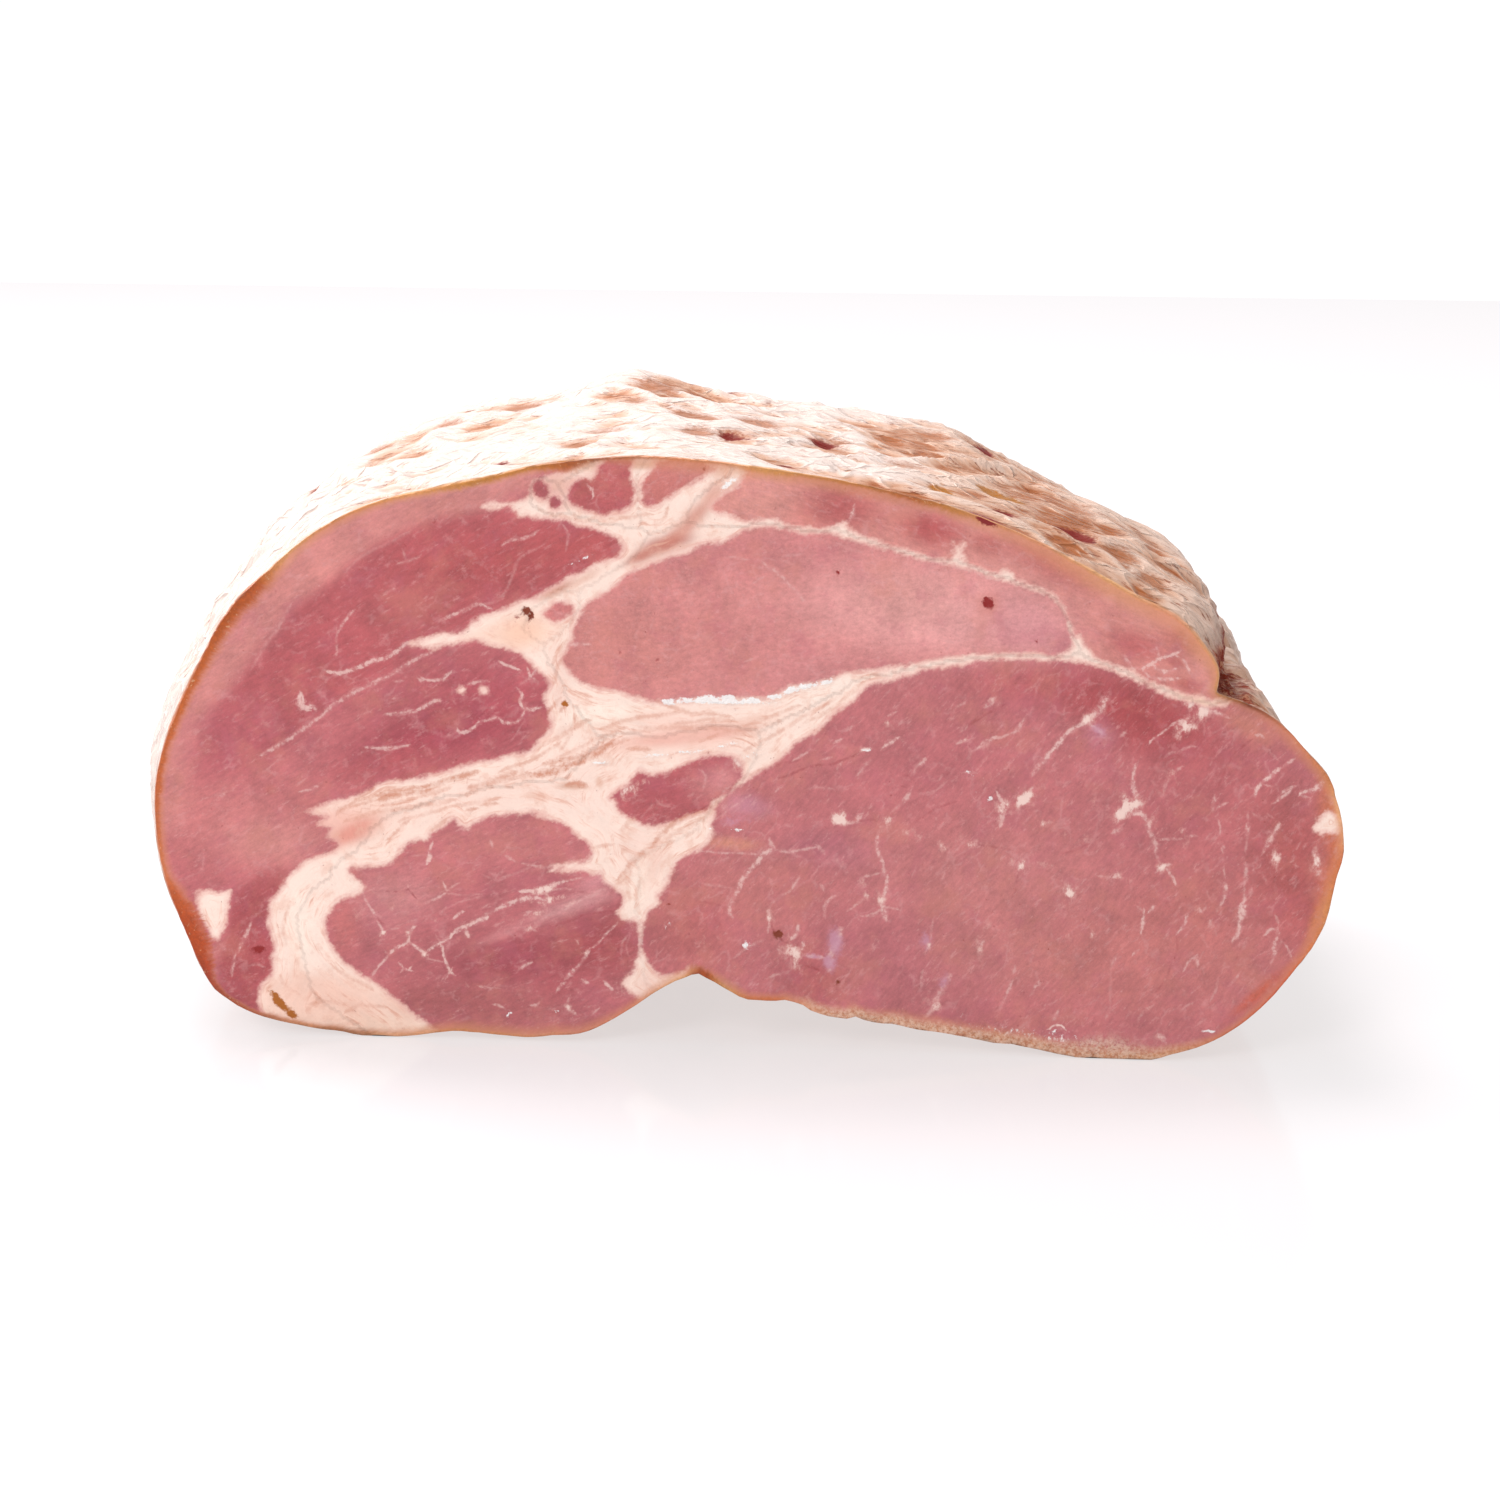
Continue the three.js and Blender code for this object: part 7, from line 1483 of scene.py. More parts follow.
def build_mesh():
    cut, cut_faces, n = build_cut()
    f = cut_fields(cut)
    skin = build_skin()
    relief = cut_relief(cut, f)
    flat = np.stack([cut[:, 0] + FRAME_X, FRAME_Y - relief, cut[:, 1]], -1)
    # the rounded edge between the cut and the skin
    nibble = 0.14 * plain(np.stack([ARC, ARC * 0, ARC * 0], -1), 2.4, 50.0)
    e1 = skin_point(DEG, np.full_like(DEG, 0.12), 0.14 + nibble)
    e2 = skin_point(DEG, np.full_like(DEG, 0.45), nibble * 0.6)
    edge = np.vstack([e1, e2])
    edge[:, 2] = np.maximum(edge[:, 2], 0)
    place = np.vstack([flat, edge, skin["place"]])
    tip_y = FRAME_Y + LENGTH
    tip = np.array([[FRAME_X - math.tan(math.radians(CUT_SLANT)) * LENGTH, tip_y, END_CENTRE]])
    last = skin["place"].reshape(-1, AROUND, 3)[-1]
    tip[0, 1] = last[:, 1].mean() + 0.35
    tip[0, 0], tip[0, 2] = last[:, 0].mean(), last[:, 2].mean()
    place = np.vstack([place, tip])
    rings = [np.arange(n), len(cut) + np.arange(n), len(cut) + n + np.arange(n)]
    start = len(cut) + 2 * n
    rings += [start + j * n + np.arange(n) for j in range(len(ROWS))]
    quads = []
    for j in range(len(rings) - 1):
        a, b = rings[j], np.roll(rings[j], -1)
        d, c = rings[j + 1], np.roll(rings[j + 1], -1)
        quads.append(np.stack([a, d, c, b], -1))
    quads = np.vstack(quads)
    top = len(place) - 1
    fan = np.stack([rings[-1], np.full(n, top), np.roll(rings[-1], -1)], -1)
    loops = np.concatenate([cut_faces.ravel(), quads.ravel(), fan.ravel()])
    totals = np.concatenate([np.full(len(cut_faces), 3), np.full(len(quads), 4), np.full(len(fan), 3)])
    starts = np.concatenate([[0], np.cumsum(totals)[:-1]])
    mesh = bpy.data.meshes.new("ham")
    mesh.vertices.add(len(place))
    mesh.vertices.foreach_set("co", (place / 1000).astype(np.float32).ravel())
    mesh.loops.add(len(loops))
    mesh.loops.foreach_set("vertex_index", loops.astype(np.int32))
    mesh.polygons.add(len(totals))
    mesh.polygons.foreach_set("loop_start", starts.astype(np.int32))
    mesh.polygons.foreach_set("material_index", np.concatenate(
        [np.zeros(len(cut_faces)), np.zeros(n), np.ones(len(quads) - n + len(fan))]).astype(np.int32))
    mesh.polygons.foreach_set("use_smooth", np.ones(len(totals), bool))
    mesh.update(calc_edges=True)
    mesh.validate()
    print("ham:", len(place), "points,", int((totals - 2).sum()), "triangles, skin rows", len(ROWS))

    rest = 2 * n + len(skin["deg"]) + 1

    def spread(values, filler):
        """Values of the cut's points, and on the skin the value of the edge straight in front of it."""
        values = np.asarray(values, float)
        more = np.tile(np.atleast_1d(filler), (rest, 1)) if values.ndim > 1 else np.full(rest, filler)
        more = more.astype(float)
        more[: 2 * n] = np.concatenate([values[:n], values[:n]])
        return np.concatenate([values, more])

    attribute(mesh, "lean", "FLOAT", spread(f["lean"], 0.0))
    attribute(mesh, "lean_tone", "FLOAT_COLOR", spread(f["lean_tone"], [0.5, 0.3, 0.3]))
    attribute(mesh, "fat_tone", "FLOAT_COLOR", spread(f["fat_tone"], [0.8, 0.7, 0.6]))
    attribute(mesh, "rim_tone", "FLOAT_COLOR", spread(f["rim_tone"], [0.4, 0.2, 0.1]))
    attribute(mesh, "grain", "FLOAT_VECTOR", spread(f["grain"], [0.0, 0.0, 0.0]))
    for i, layer in enumerate(f["veins"]):
        attribute(mesh, f"vein_{i}", "FLOAT_VECTOR", spread(layer, [9.0, 0.3, 0.0]))
    for i, layer in enumerate(f["threads"]):
        attribute(mesh, f"thread_{i}", "FLOAT_VECTOR", spread(layer, [9.0, 0.3, 0.0]))
    for i, layer in enumerate(f["seams"]):
        attribute(mesh, f"seam_{i}", "FLOAT_VECTOR", spread(layer, [9.0, 0.3, 0.0]))
    attribute(mesh, "spots", "FLOAT_VECTOR", spread(f["spots"], [0.0, 0.0, 0.0]))
    attribute(mesh, "bands", "FLOAT_VECTOR", spread(f["bands"], [0.0, 0.0, 0.0]))
    attribute(mesh, "edge_way", "FLOAT_VECTOR", spread(f["edge_way"], [0.0, 0.0, 0.0]))
    attribute(mesh, "blood_mark", "FLOAT", spread(f["blood"], 0.0))
    rim = np.stack([f["rim"], f["rim_width"], f["tan_width"]], -1)
    rim_all = spread(rim, [0.0, 1.0, 2.0])
    rim_all[len(cut) : len(cut) + n, 0] = 0.1
    rim_all[len(cut) + n : len(cut) + 2 * n, 0] = 0.0
    attribute(mesh, "rim", "FLOAT_VECTOR", rim_all)
    attribute(mesh, "rim_strength", "FLOAT", spread(f["rim_strength"], 0.8))
    attribute(mesh, "marks", "FLOAT_VECTOR", spread(np.stack([f["brown"], f["hole"], f["ochre"]], -1), [0.0, 0.0, 0.0]))
    attribute(mesh, "gritty", "FLOAT", spread(f["gritty"], 0.0))
    attribute(mesh, "halo", "FLOAT", spread(f["halo"], 0.0))
    attribute(mesh, "wet_and_painted_highlight", "FLOAT", spread(f["wet_and_painted_highlight"], 0.0))

    def behind(values, front=0.0):
        return np.concatenate([np.full(len(cut) + 2 * n, front), values, [values[-n:].mean()]])

    attribute(mesh, "skin", "FLOAT_VECTOR", np.stack([behind(skin["recess_shade"], 0.3), behind(skin["brown"]), behind(skin["dark"])], -1))
    attribute(mesh, "skin_more", "FLOAT_VECTOR", np.stack([behind(skin["ochre"]), behind(skin["blood"]), behind(skin["char"])], -1))
    attribute(mesh, "back", "FLOAT", behind(skin["y"], 0.0))
    attribute(mesh, "browner_and_painted_light", "FLOAT", behind(skin["browner_and_painted_light"], 0.0))
    attribute(mesh, "under", "FLOAT", behind(1 - smooth(skin["place"][:, 2], 6, 26) * 1.0))
    # one picture layout for the whole piece: the cut below, the skin unrolled above it
    uv = mesh.uv_layers.new(name="OFBake")
    u = np.zeros((len(place), 2))
    u[: len(cut), 0] = (cut[:, 0] + 112) / 226
    u[: len(cut), 1] = 0.004 + cut[:, 1] / 226
    arc_u = (np.concatenate([ARC, ARC]) - ARC.min()) / ROUND
    run = np.concatenate([[0.0], np.cumsum(np.linalg.norm(np.diff(skin["place"].reshape(-1, n, 3), axis=0), axis=-1).mean(1))])
    run = 0.525 + 0.465 * (run + 1.0) / (run[-1] + 2.5)
    loop_vertex = loops
    face_of = np.repeat(np.arange(len(totals)), totals)
    per_loop = u[loop_vertex]
    first_skin = len(cut_faces) + n  # the first ring of quads belongs to the cut's finish
    ring_of = np.full(len(place), -1)
    slot_of = np.zeros(len(place))
    for j, ring in enumerate(rings):
        ring_of[ring] = j
        slot_of[ring] = (ARC - ARC.min()) / ROUND
    ring_of[top] = len(rings)
    v_of = np.concatenate([[0.515, 0.516, 0.5185], run, [0.995]])
    is_skin = face_of >= len(cut_faces)
    sel = np.where(is_skin)[0]
    vs = loop_vertex[sel]
    per_loop[sel, 0] = slot_of[vs]
    per_loop[sel, 1] = v_of[ring_of[vs]]
    # faces that cross the seam under the piece, and the fan at the far end
    for size, first, count in ((4, len(cut_faces), len(quads)), (3, len(cut_faces) + len(quads), len(fan))):
        s = starts[first]
        block = per_loop[s : s + size * count].reshape(count, size, 2)
        if size == 3:
            block[:, 1, 0] = (block[:, 0, 0] + block[:, 2, 0]) / 2
            wide = np.abs(block[:, 0, 0] - block[:, 2, 0]) > 0.5
            block[wide, 1, 0] = 0.999
        cross = (block[:, :, 0].max(1) - block[:, :, 0].min(1)) > 0.5
        fix = block[cross]
        fix[:, :, 0] = np.where(fix[:, :, 0] < 0.5, 1.0, fix[:, :, 0])
        block[cross] = fix
        per_loop[s : s + size * count] = block.reshape(-1, 2)
    uv.data.foreach_set("uv", per_loop.astype(np.float32).ravel())
    return mesh


# ================================================================ finishes
class Nodes:
    def __init__(self, name):
        self.mat = bpy.data.materials.new(name)
        self.mat.use_nodes = True
        self.tree = self.mat.node_tree
        self.tree.nodes.clear()
        self.out = self.tree.nodes.new("ShaderNodeOutputMaterial")
        self.bsdf = self.tree.nodes.new("ShaderNodeBsdfPrincipled")
        self.tree.links.new(self.bsdf.outputs[0], self.out.inputs["Surface"])
        where = self.tree.nodes.new("ShaderNodeTexCoord")
        self.mm = self.scale(where.outputs["Object"], 1000)

    def put(self, socket, value):
        if hasattr(value, "is_output"):
            self.tree.links.new(value, socket)
        elif value is not None:
            socket.default_value = value

    def math(self, op, a, b=None, c=None, clamp=False):
        n = self.tree.nodes.new("ShaderNodeMath")
        n.operation = op
        n.use_clamp = clamp
        for i, v in enumerate((a, b, c)):
            self.put(n.inputs[i], v)
        return n.outputs[0]

    def vec(self, op, a, b=None):
        n = self.tree.nodes.new("ShaderNodeVectorMath")
        n.operation = op
        self.put(n.inputs[0], a)
        self.put(n.inputs[1], b)
        return n.outputs[0]

    def scale(self, a, s):
        n = self.tree.nodes.new("ShaderNodeVectorMath")
        n.operation = "SCALE"
        self.put(n.inputs[0], a)
        self.put(n.inputs["Scale"], s)
        return n.outputs[0]

    def attr(self, name, what="Fac"):
        n = self.tree.nodes.new("ShaderNodeAttribute")
        n.attribute_name = name
        return n.outputs[what]

    def split(self, v):
        n = self.tree.nodes.new("ShaderNodeSeparateXYZ")
        self.put(n.inputs[0], v)
        return n.outputs

    def noise(self, v, size, detail=2.0, rough=0.5, distort=0.0, signed=False):
        n = self.tree.nodes.new("ShaderNodeTexNoise")
        n.inputs["Scale"].default_value = 1.0 / size
        n.inputs["Detail"].default_value = detail
        n.inputs["Roughness"].default_value = rough
        n.inputs["Distortion"].default_value = distort
        self.put(n.inputs["Vector"], v)
        if signed:
            return self.math("MULTIPLY_ADD", n.outputs[0], 2.0, -1.0)
        return n.outputs[0]

    def cells(self, v, size, feature="F1", jitter=1.0):
        n = self.tree.nodes.new("ShaderNodeTexVoronoi")
        n.feature = feature
        n.inputs["Scale"].default_value = 1.0 / size
        n.inputs["Randomness"].default_value = jitter
        self.put(n.inputs["Vector"], v)
        return n

    def join(self, x, y, z):
        n = self.tree.nodes.new("ShaderNodeCombineXYZ")
        for i, v in enumerate((x, y, z)):
            self.put(n.inputs[i], v)
        return n.outputs[0]

    def dot(self, v, axis):
        n = self.tree.nodes.new("ShaderNodeVectorMath")
        n.operation = "DOT_PRODUCT"
        self.put(n.inputs[0], v)
        self.put(n.inputs[1], axis)
        return n.outputs["Value"]

    def turned(self, v, degrees):
        n = self.tree.nodes.new("ShaderNodeVectorRotate")
        n.rotation_type = "Z_AXIS"
        n.inputs["Angle"].default_value = -math.radians(degrees)
        self.put(n.inputs["Vector"], v)
        return n.outputs[0]

    def step(self, x, a, b, lo=0.0, hi=1.0):
        n = self.tree.nodes.new("ShaderNodeMapRange")
        n.interpolation_type = "SMOOTHSTEP"
        self.put(n.inputs["Value"], x)
        self.put(n.inputs["From Min"], a)
        self.put(n.inputs["From Max"], b)
        self.put(n.inputs["To Min"], lo)
        self.put(n.inputs["To Max"], hi)
        return n.outputs[0]

    def mix(self, share, a, b, blend="MIX"):
        n = self.tree.nodes.new("ShaderNodeMix")
        n.data_type = "RGBA"
        n.blend_type = blend
        n.clamp_factor = True
        self.put(n.inputs[0], share)
        self.put(n.inputs[6], a if hasattr(a, "is_output") else (*a, 1.0) if len(a) == 3 else a)
        self.put(n.inputs[7], b if hasattr(b, "is_output") else (*b, 1.0) if len(b) == 3 else b)
        return n.outputs[2]

    def bump(self, height, strength, distance, normal=None):
        n = self.tree.nodes.new("ShaderNodeBump")
        n.inputs["Strength"].default_value = strength
        n.inputs["Distance"].default_value = distance
        self.put(n.inputs["Height"], height)
        if normal is not None:
            self.put(n.inputs["Normal"], normal)
        return n.outputs[0]


def lit(rgb):
    """The paint that looks like this screen colour in the studio."""
    return tuple(float(x) for x in paint(display(rgb)))


def cut_finish():
    m = Nodes("cut_meat")
    mm = m.mm
    wobble = m.noise(mm, 1.15, 2.0, 0.55, signed=True)
    wobble2 = m.noise(mm, 0.42, 1.0, 0.5, signed=True)
    rag = m.noise(mm, 0.55, 3.0, 0.62, signed=True)
    grain = m.attr("grain", "Vector")
    # lean or fat, with a slightly ragged border
    slant = math.radians(30)
    drawn = m.join(m.math("MULTIPLY", m.dot(mm, (math.cos(slant), 0, math.sin(slant))), 0.3), 0.0, m.dot(mm, (-math.sin(slant), 0, math.cos(slant))))
    fray = m.noise(drawn, 0.9, 3.0, 0.6, signed=True)
    broad = m.noise(mm, 2.8, 3.0, 0.6, signed=True)
    edge = m.math("ADD", m.attr("lean"), m.math("MULTIPLY_ADD", wobble, 0.42, m.math("MULTIPLY_ADD", wobble2, 0.20, m.math("MULTIPLY_ADD", broad, 0.6, m.math("MULTIPLY", fray, 0.6)))))
    lean = m.step(edge, -0.52, 0.46)

    def lines(name, count, soft, noisy):
        """Share of the lines at a point: their ragged cores and soft flanks, as strong as each is."""
        best = None
        for i in range(count):
            d, half, strength = m.split(m.attr(f"{name}_{i}", "Vector"))
            away = m.math("ABSOLUTE", m.math("MULTIPLY_ADD", wobble, 0.14, d))
            near = m.math("SUBTRACT", 1.0, m.math("DIVIDE", away, m.math("MULTIPLY_ADD", half, soft, 0.16)))
            here = m.math("MULTIPLY", m.step(m.math("MULTIPLY_ADD", rag, noisy, near), -0.05, 0.85), strength)
            best = here if best is None else m.math("MAXIMUM", best, here)
        return best

    veins = lines("vein", VEIN_LAYERS, 1.9, 0.8)
    uneven = m.step(m.noise(mm, 1.3, 3.0, 0.66), 0.34, 0.60, 0.42, 1.10)
    veins = m.math("MULTIPLY", veins, uneven)
    threads = m.math("MULTIPLY", lines("thread", THREAD_LAYERS, 2.8, 0.8), m.step(m.noise(mm, 1.6, 3.0, 0.62), 0.34, 0.6, 0.4, 1.1))
    seams = m.math("MULTIPLY", lines("seam", SEAM_LAYERS, 1.6, 0.6), m.step(m.noise(mm, 1.3, 3.0, 0.62), 0.40, 0.6, 0.15, 0.8))
    cream, lilac, painted_glint = m.split(m.attr("spots", "Vector"))
    patchy = m.noise(mm, 0.85, 3.0, 0.68, signed=True)
    ragged_spot = m.noise(m.vec("MULTIPLY", mm, (1.0, 1.0, 0.7)), 1.5, 4.0, 0.72, signed=True)
    cream = m.math("MULTIPLY", m.step(m.math("MULTIPLY_ADD", ragged_spot, 1.15, cream), 0.26, 0.92), m.math("MINIMUM", m.math("MULTIPLY_ADD", cream, 0.9, 0.30), 0.95))
    lilac = m.math("MULTIPLY", m.step(m.math("MULTIPLY_ADD", patchy, 0.40, lilac), 0.30, 0.78), m.math("MINIMUM", m.math("MULTIPLY_ADD", lilac, 0.7, 0.2), 0.8))
    # lean: mottled, with fibres and small pale flecks
    tone = m.attr("lean_tone", "Vector")
    mottle = m.noise(mm, 7.5, 5.0, 0.66, signed=True)
    fibre = m.noise(grain, 0.75, 4.0, 0.62, signed=True)
    fine = m.noise(mm, 0.34, 3.0, 0.66, signed=True)
    shade = m.math("MULTIPLY_ADD", mottle, 0.42, m.math("MULTIPLY_ADD", fibre, 0.30, m.math("MULTIPLY_ADD", fine, 0.17, 1.0)))
    lean_col = m.scale(tone, shade)
    warm = m.step(m.noise(m.vec("ADD", mm, (3.0, 51.0, 9.0)), 9.0, 4.0, 0.66), 0.50, 0.68)
    lean_col = m.mix(m.math("MULTIPLY", warm, 0.30), lean_col, lit((214, 140, 124)))
    cool = m.step(m.noise(m.vec("ADD", mm, (23.0, 11.0, 71.0)), 7.0, 4.0, 0.66), 0.50, 0.68)
    lean_col = m.mix(m.math("MULTIPLY", cool, 0.28), lean_col, lit((192, 108, 124)))
    # bundles of fibres, with faint pale tissue between them
    bent = m.vec("ADD", m.vec("MULTIPLY", grain, (1.25, 1.0, 1.0)), m.scale(m.join(wobble, patchy, 0.0), 0.55))
    bundle = m.cells(bent, 3.1, "DISTANCE_TO_EDGE")
    tissue = m.math("MULTIPLY", m.step(m.math("MULTIPLY_ADD", fine, 0.05, bundle.outputs["Distance"]), 0.085, 0.0), m.step(m.noise(mm, 4.0, 3.0, 0.66), 0.48, 0.66))
    lean_col = m.mix(m.math("MULTIPLY", tissue, 0.26), lean_col, lit((230, 172, 172)))
    flecks = m.step(m.noise(grain, 1.25, 4.0, 0.74), 0.56, 0.72)
    lean_col = m.mix(m.math("MULTIPLY", flecks, 0.40), lean_col, lit((232, 172, 170)))
    haze = m.step(m.noise(mm, 2.4, 5.0, 0.76), 0.54, 0.70)
    lean_col = m.mix(m.math("MULTIPLY", haze, 0.28), lean_col, lit((226, 160, 160)))
    deep = m.step(m.noise(m.vec("ADD", grain, (7.0, 3.0, 0.0)), 1.4, 4.0, 0.7), 0.56, 0.72)
    lean_col = m.mix(m.math("MULTIPLY", deep, 0.30), lean_col, m.scale(tone, 0.72))
    dots = m.cells(mm, 1.9)
    dot = m.math("MULTIPLY", m.step(dots.outputs["Distance"], 0.16, 0.05), m.step(dots.outputs["Color"], 0.50, 0.85))
    lean_col = m.mix(m.math("MULTIPLY", dot, 0.34), lean_col, lit((240, 192, 188)))
    pores = m.cells(m.vec("ADD", mm, (31.0, 7.0, 5.0)), 2.7)
    pore = m.math("MULTIPLY", m.step(pores.outputs["Distance"], 0.11, 0.04), m.step(pores.outputs["Color"], 0.45, 0.8))
    lean_col = m.mix(m.math("MULTIPLY", pore, 0.5), lean_col, lit((136, 58, 58)))
    lean_col = m.mix(m.math("MULTIPLY", seams, 0.9), lean_col, lit((156, 70, 74)))
    # fat: creamy, its salmon streaks run along the muscles' borders
    fat = m.attr("fat_tone", "Vector")
    bands = m.attr("bands", "Vector")
    streak = m.noise(bands, 0.95, 4.0, 0.62, signed=True)
    streak2 = m.noise(m.vec("MULTIPLY", m.vec("ADD", bands, (5.0, 3.0, 8.0)), (1.4, 1.4, 1.9)), 0.95, 4.0, 0.66, signed=True)
    fat_shade = m.math("MULTIPLY_ADD", streak, 0.10, m.math("MULTIPLY_ADD", m.noise(mm, 4.0, 3.0, 0.6, signed=True), 0.09, 1.085))
    fat_col = m.scale(fat, fat_shade)
    both = m.math("MULTIPLY_ADD", streak2, 0.7, streak)
    calm = m.step(m.noise(mm, 9.0, 3.0, 0.6), 0.36, 0.62, 0.15, 1.0)
    pink = m.math("MULTIPLY", m.math("MULTIPLY", m.step(both, -0.06, 0.34), 0.52), calm)
    fat_col = m.mix(pink, fat_col, lit((242, 192, 172)))
    tan = m.math("MULTIPLY", m.math("MULTIPLY", m.step(both, 0.16, 0.48), 0.50), calm)
    fat_col = m.mix(tan, fat_col, lit((220, 152, 128)))
    blush = m.math("MULTIPLY", m.step(m.noise(m.vec("ADD", mm, (8.0, 8.0, 31.0)), 3.2, 4.0, 0.66), 0.50, 0.70), 0.45)
    fat_col = m.mix(blush, fat_col, lit((240, 190, 170)))
    near_lean = m.math("MULTIPLY", m.step(m.math("MULTIPLY_ADD", both, 0.35, edge), -1.35, -0.05), 0.72)
    fat_col = m.mix(near_lean, fat_col, lit((238, 182, 172)))
    fat_col = m.mix(m.math("MULTIPLY", threads, 0.95), fat_col, lit((214, 144, 118)))
    fat_col = m.mix(m.math("MULTIPLY", seams, 0.6), fat_col, lit((196, 128, 106)))
    col = m.mix(lean, fat_col, lean_col)
    # marbling: thin veins pinkish, strong ones nearly white
    vein_col = m.mix(m.step(veins, 0.20, 0.75), lit((224, 164, 162)), lit((247, 212, 204)))
    col = m.mix(m.math("MULTIPLY", m.math("MULTIPLY", veins, 0.84), lean, clamp=True), col, vein_col)
    col = m.mix(m.math("MULTIPLY", lilac, lean), col, lit((206, 152, 172)))
    cream_col = m.mix(m.step(m.math("MULTIPLY_ADD", rag, 0.2, cream), 0.3, 0.9), lit((232, 178, 170)), lit((249, 218, 208)))
    col = m.mix(m.math("MULTIPLY", cream, lean), col, cream_col)
    col = m.mix(m.math("MULTIPLY", m.math("MULTIPLY", threads, 0.45), lean), col, lit((170, 84, 80)))
    # marks
    brown, hole, ochre = m.split(m.attr("marks", "Vector"))
    ragged = m.math("MULTIPLY_ADD", wobble, 0.35, m.math("MULTIPLY", rag, 0.45))
    col = m.mix(m.math("MULTIPLY", m.attr("halo"), 0.6), col, lit((196, 112, 92)))
    col = m.mix(m.step(m.math("ADD", brown, ragged), 0.18, 0.62), col, lit((150, 52, 24)))
    col = m.mix(m.step(m.math("ADD", ochre, ragged), 0.25, 0.65), col, lit((180, 108, 44)))
    col = m.mix(m.step(m.math("ADD", hole, ragged), 0.22, 0.66), col, lit((140, 70, 54)))
    # painted highlight: near-white paint on the wet ridges and glints, over their real gloss and relief
    wet_and_painted_highlight = m.attr("wet_and_painted_highlight")
    painted_shine = m.step(m.math("MULTIPLY_ADD", m.noise(mm, 0.9, 3.0, 0.7, signed=True), 0.75, wet_and_painted_highlight), 0.45, 0.75)
    col = m.mix(m.math("MULTIPLY", painted_shine, 0.85), col, (0.93, 0.92, 0.91))
    # the browned edge, streaked across its line
    rim, width, tan_width = m.split(m.attr("rim", "Vector"))
    strength = m.attr("rim_strength")
    rim_tone = m.attr("rim_tone", "Vector")
    way = m.attr("edge_way", "Vector")
    across = m.noise(m.vec("MULTIPLY", way, (1.0, 0.30, 1.0)), 0.6, 3.0, 0.65, signed=True)
    slow = m.noise(m.vec("MULTIPLY", way, (1.0, 0.0, 1.0)), 3.6, 3.0, 0.6, signed=True)
    worn = m.math("MULTIPLY", m.math("MULTIPLY_ADD", slow, 0.9, m.math("MULTIPLY", across, 0.75)), m.math("MULTIPLY_ADD", width, 0.7, 0.2))
    from_edge = m.math("ADD", rim, worn)
    tan = m.math("MULTIPLY", m.step(m.math("SUBTRACT", from_edge, width), m.math("MULTIPLY", tan_width, 1.25), 0.0), m.math("MULTIPLY_ADD", across, 0.20, 0.66), clamp=True)
    col = m.mix(tan, col, m.mix(0.50, rim_tone, lit((226, 156, 124))))
    line = m.step(m.math("SUBTRACT", from_edge, width), m.math("MULTIPLY_ADD", width, 0.40, 0.30), m.math("MULTIPLY_ADD", width, -0.45, 0.0))
    crumbs = m.noise(mm, 0.8, 4.0, 0.7)
    rim_col = m.scale(rim_tone, m.math("MULTIPLY_ADD", crumbs, 1.1, 0.45))
    rim_col = m.mix(m.math("MULTIPLY", m.step(m.noise(m.vec("ADD", mm, (9.0, 3.0, 1.0)), 1.0, 3.0, 0.7), 0.60, 0.72), 0.45), rim_col, lit((240, 208, 168)))
    col = m.mix(m.math("MULTIPLY", line, strength), col, rim_col)
    # crumbly, granular zone above the lower right edge
    gritty = m.math("MULTIPLY", m.attr("gritty"), m.step(m.noise(mm, 0.7, 3.0, 0.7, signed=True), -0.45, 0.15))
    grit_col = m.mix(m.step(crumbs, 0.34, 0.58), lit((208, 142, 116)), lit((252, 218, 196)))
    col = m.mix(m.math("MULTIPLY", gritty, 0.72), col, grit_col)
    col = m.mix(m.step(m.math("ADD", m.attr("blood_mark"), ragged), 0.25, 0.6), col, lit((140, 44, 28)))
    m.put(m.bsdf.inputs["Base Color"], col)
    # gloss: damp all over, glossier on the wet ridges, duller on the browned line and the gritty zone
    rough = m.math("MULTIPLY_ADD", m.noise(mm, 1.6, 3.0, 0.6), 0.26, 0.27)
    rough = m.math("SUBTRACT", rough, m.math("MULTIPLY", wet_and_painted_highlight, 0.24), clamp=True)
    rough = m.math("ADD", rough, m.math("MULTIPLY", m.math("MAXIMUM", line, gritty), 0.14), clamp=True)
    m.put(m.bsdf.inputs["Roughness"], rough)
    m.bsdf.inputs["Specular IOR Level"].default_value = 0.42
    m.bsdf.inputs["Subsurface Weight"].default_value = 0.0
    m.bsdf.inputs["Subsurface Radius"].default_value = (1.0, 0.42, 0.34)
    m.bsdf.inputs["Subsurface Scale"].default_value = 0.0018
    # relief too fine for the mesh
    h = m.math("MULTIPLY", fibre, 0.06)
    h = m.math("MULTIPLY_ADD", fine, 0.03, h)
    h = m.math("MULTIPLY_ADD", m.noise(mm, 0.85, 3.0, 0.6), 0.18, h)
    h = m.math("MULTIPLY_ADD", m.math("MULTIPLY", m.attr("gritty"), m.noise(mm, 0.55, 3.0, 0.7)), 0.55, h)
    h = m.math("MULTIPLY_ADD", m.math("MULTIPLY", wet_and_painted_highlight, m.noise(mm, 0.7, 3.0, 0.7)), 0.6, h)
    m.put(m.bsdf.inputs["Normal"], m.bump(h, 0.9, 0.001))
    return m.mat


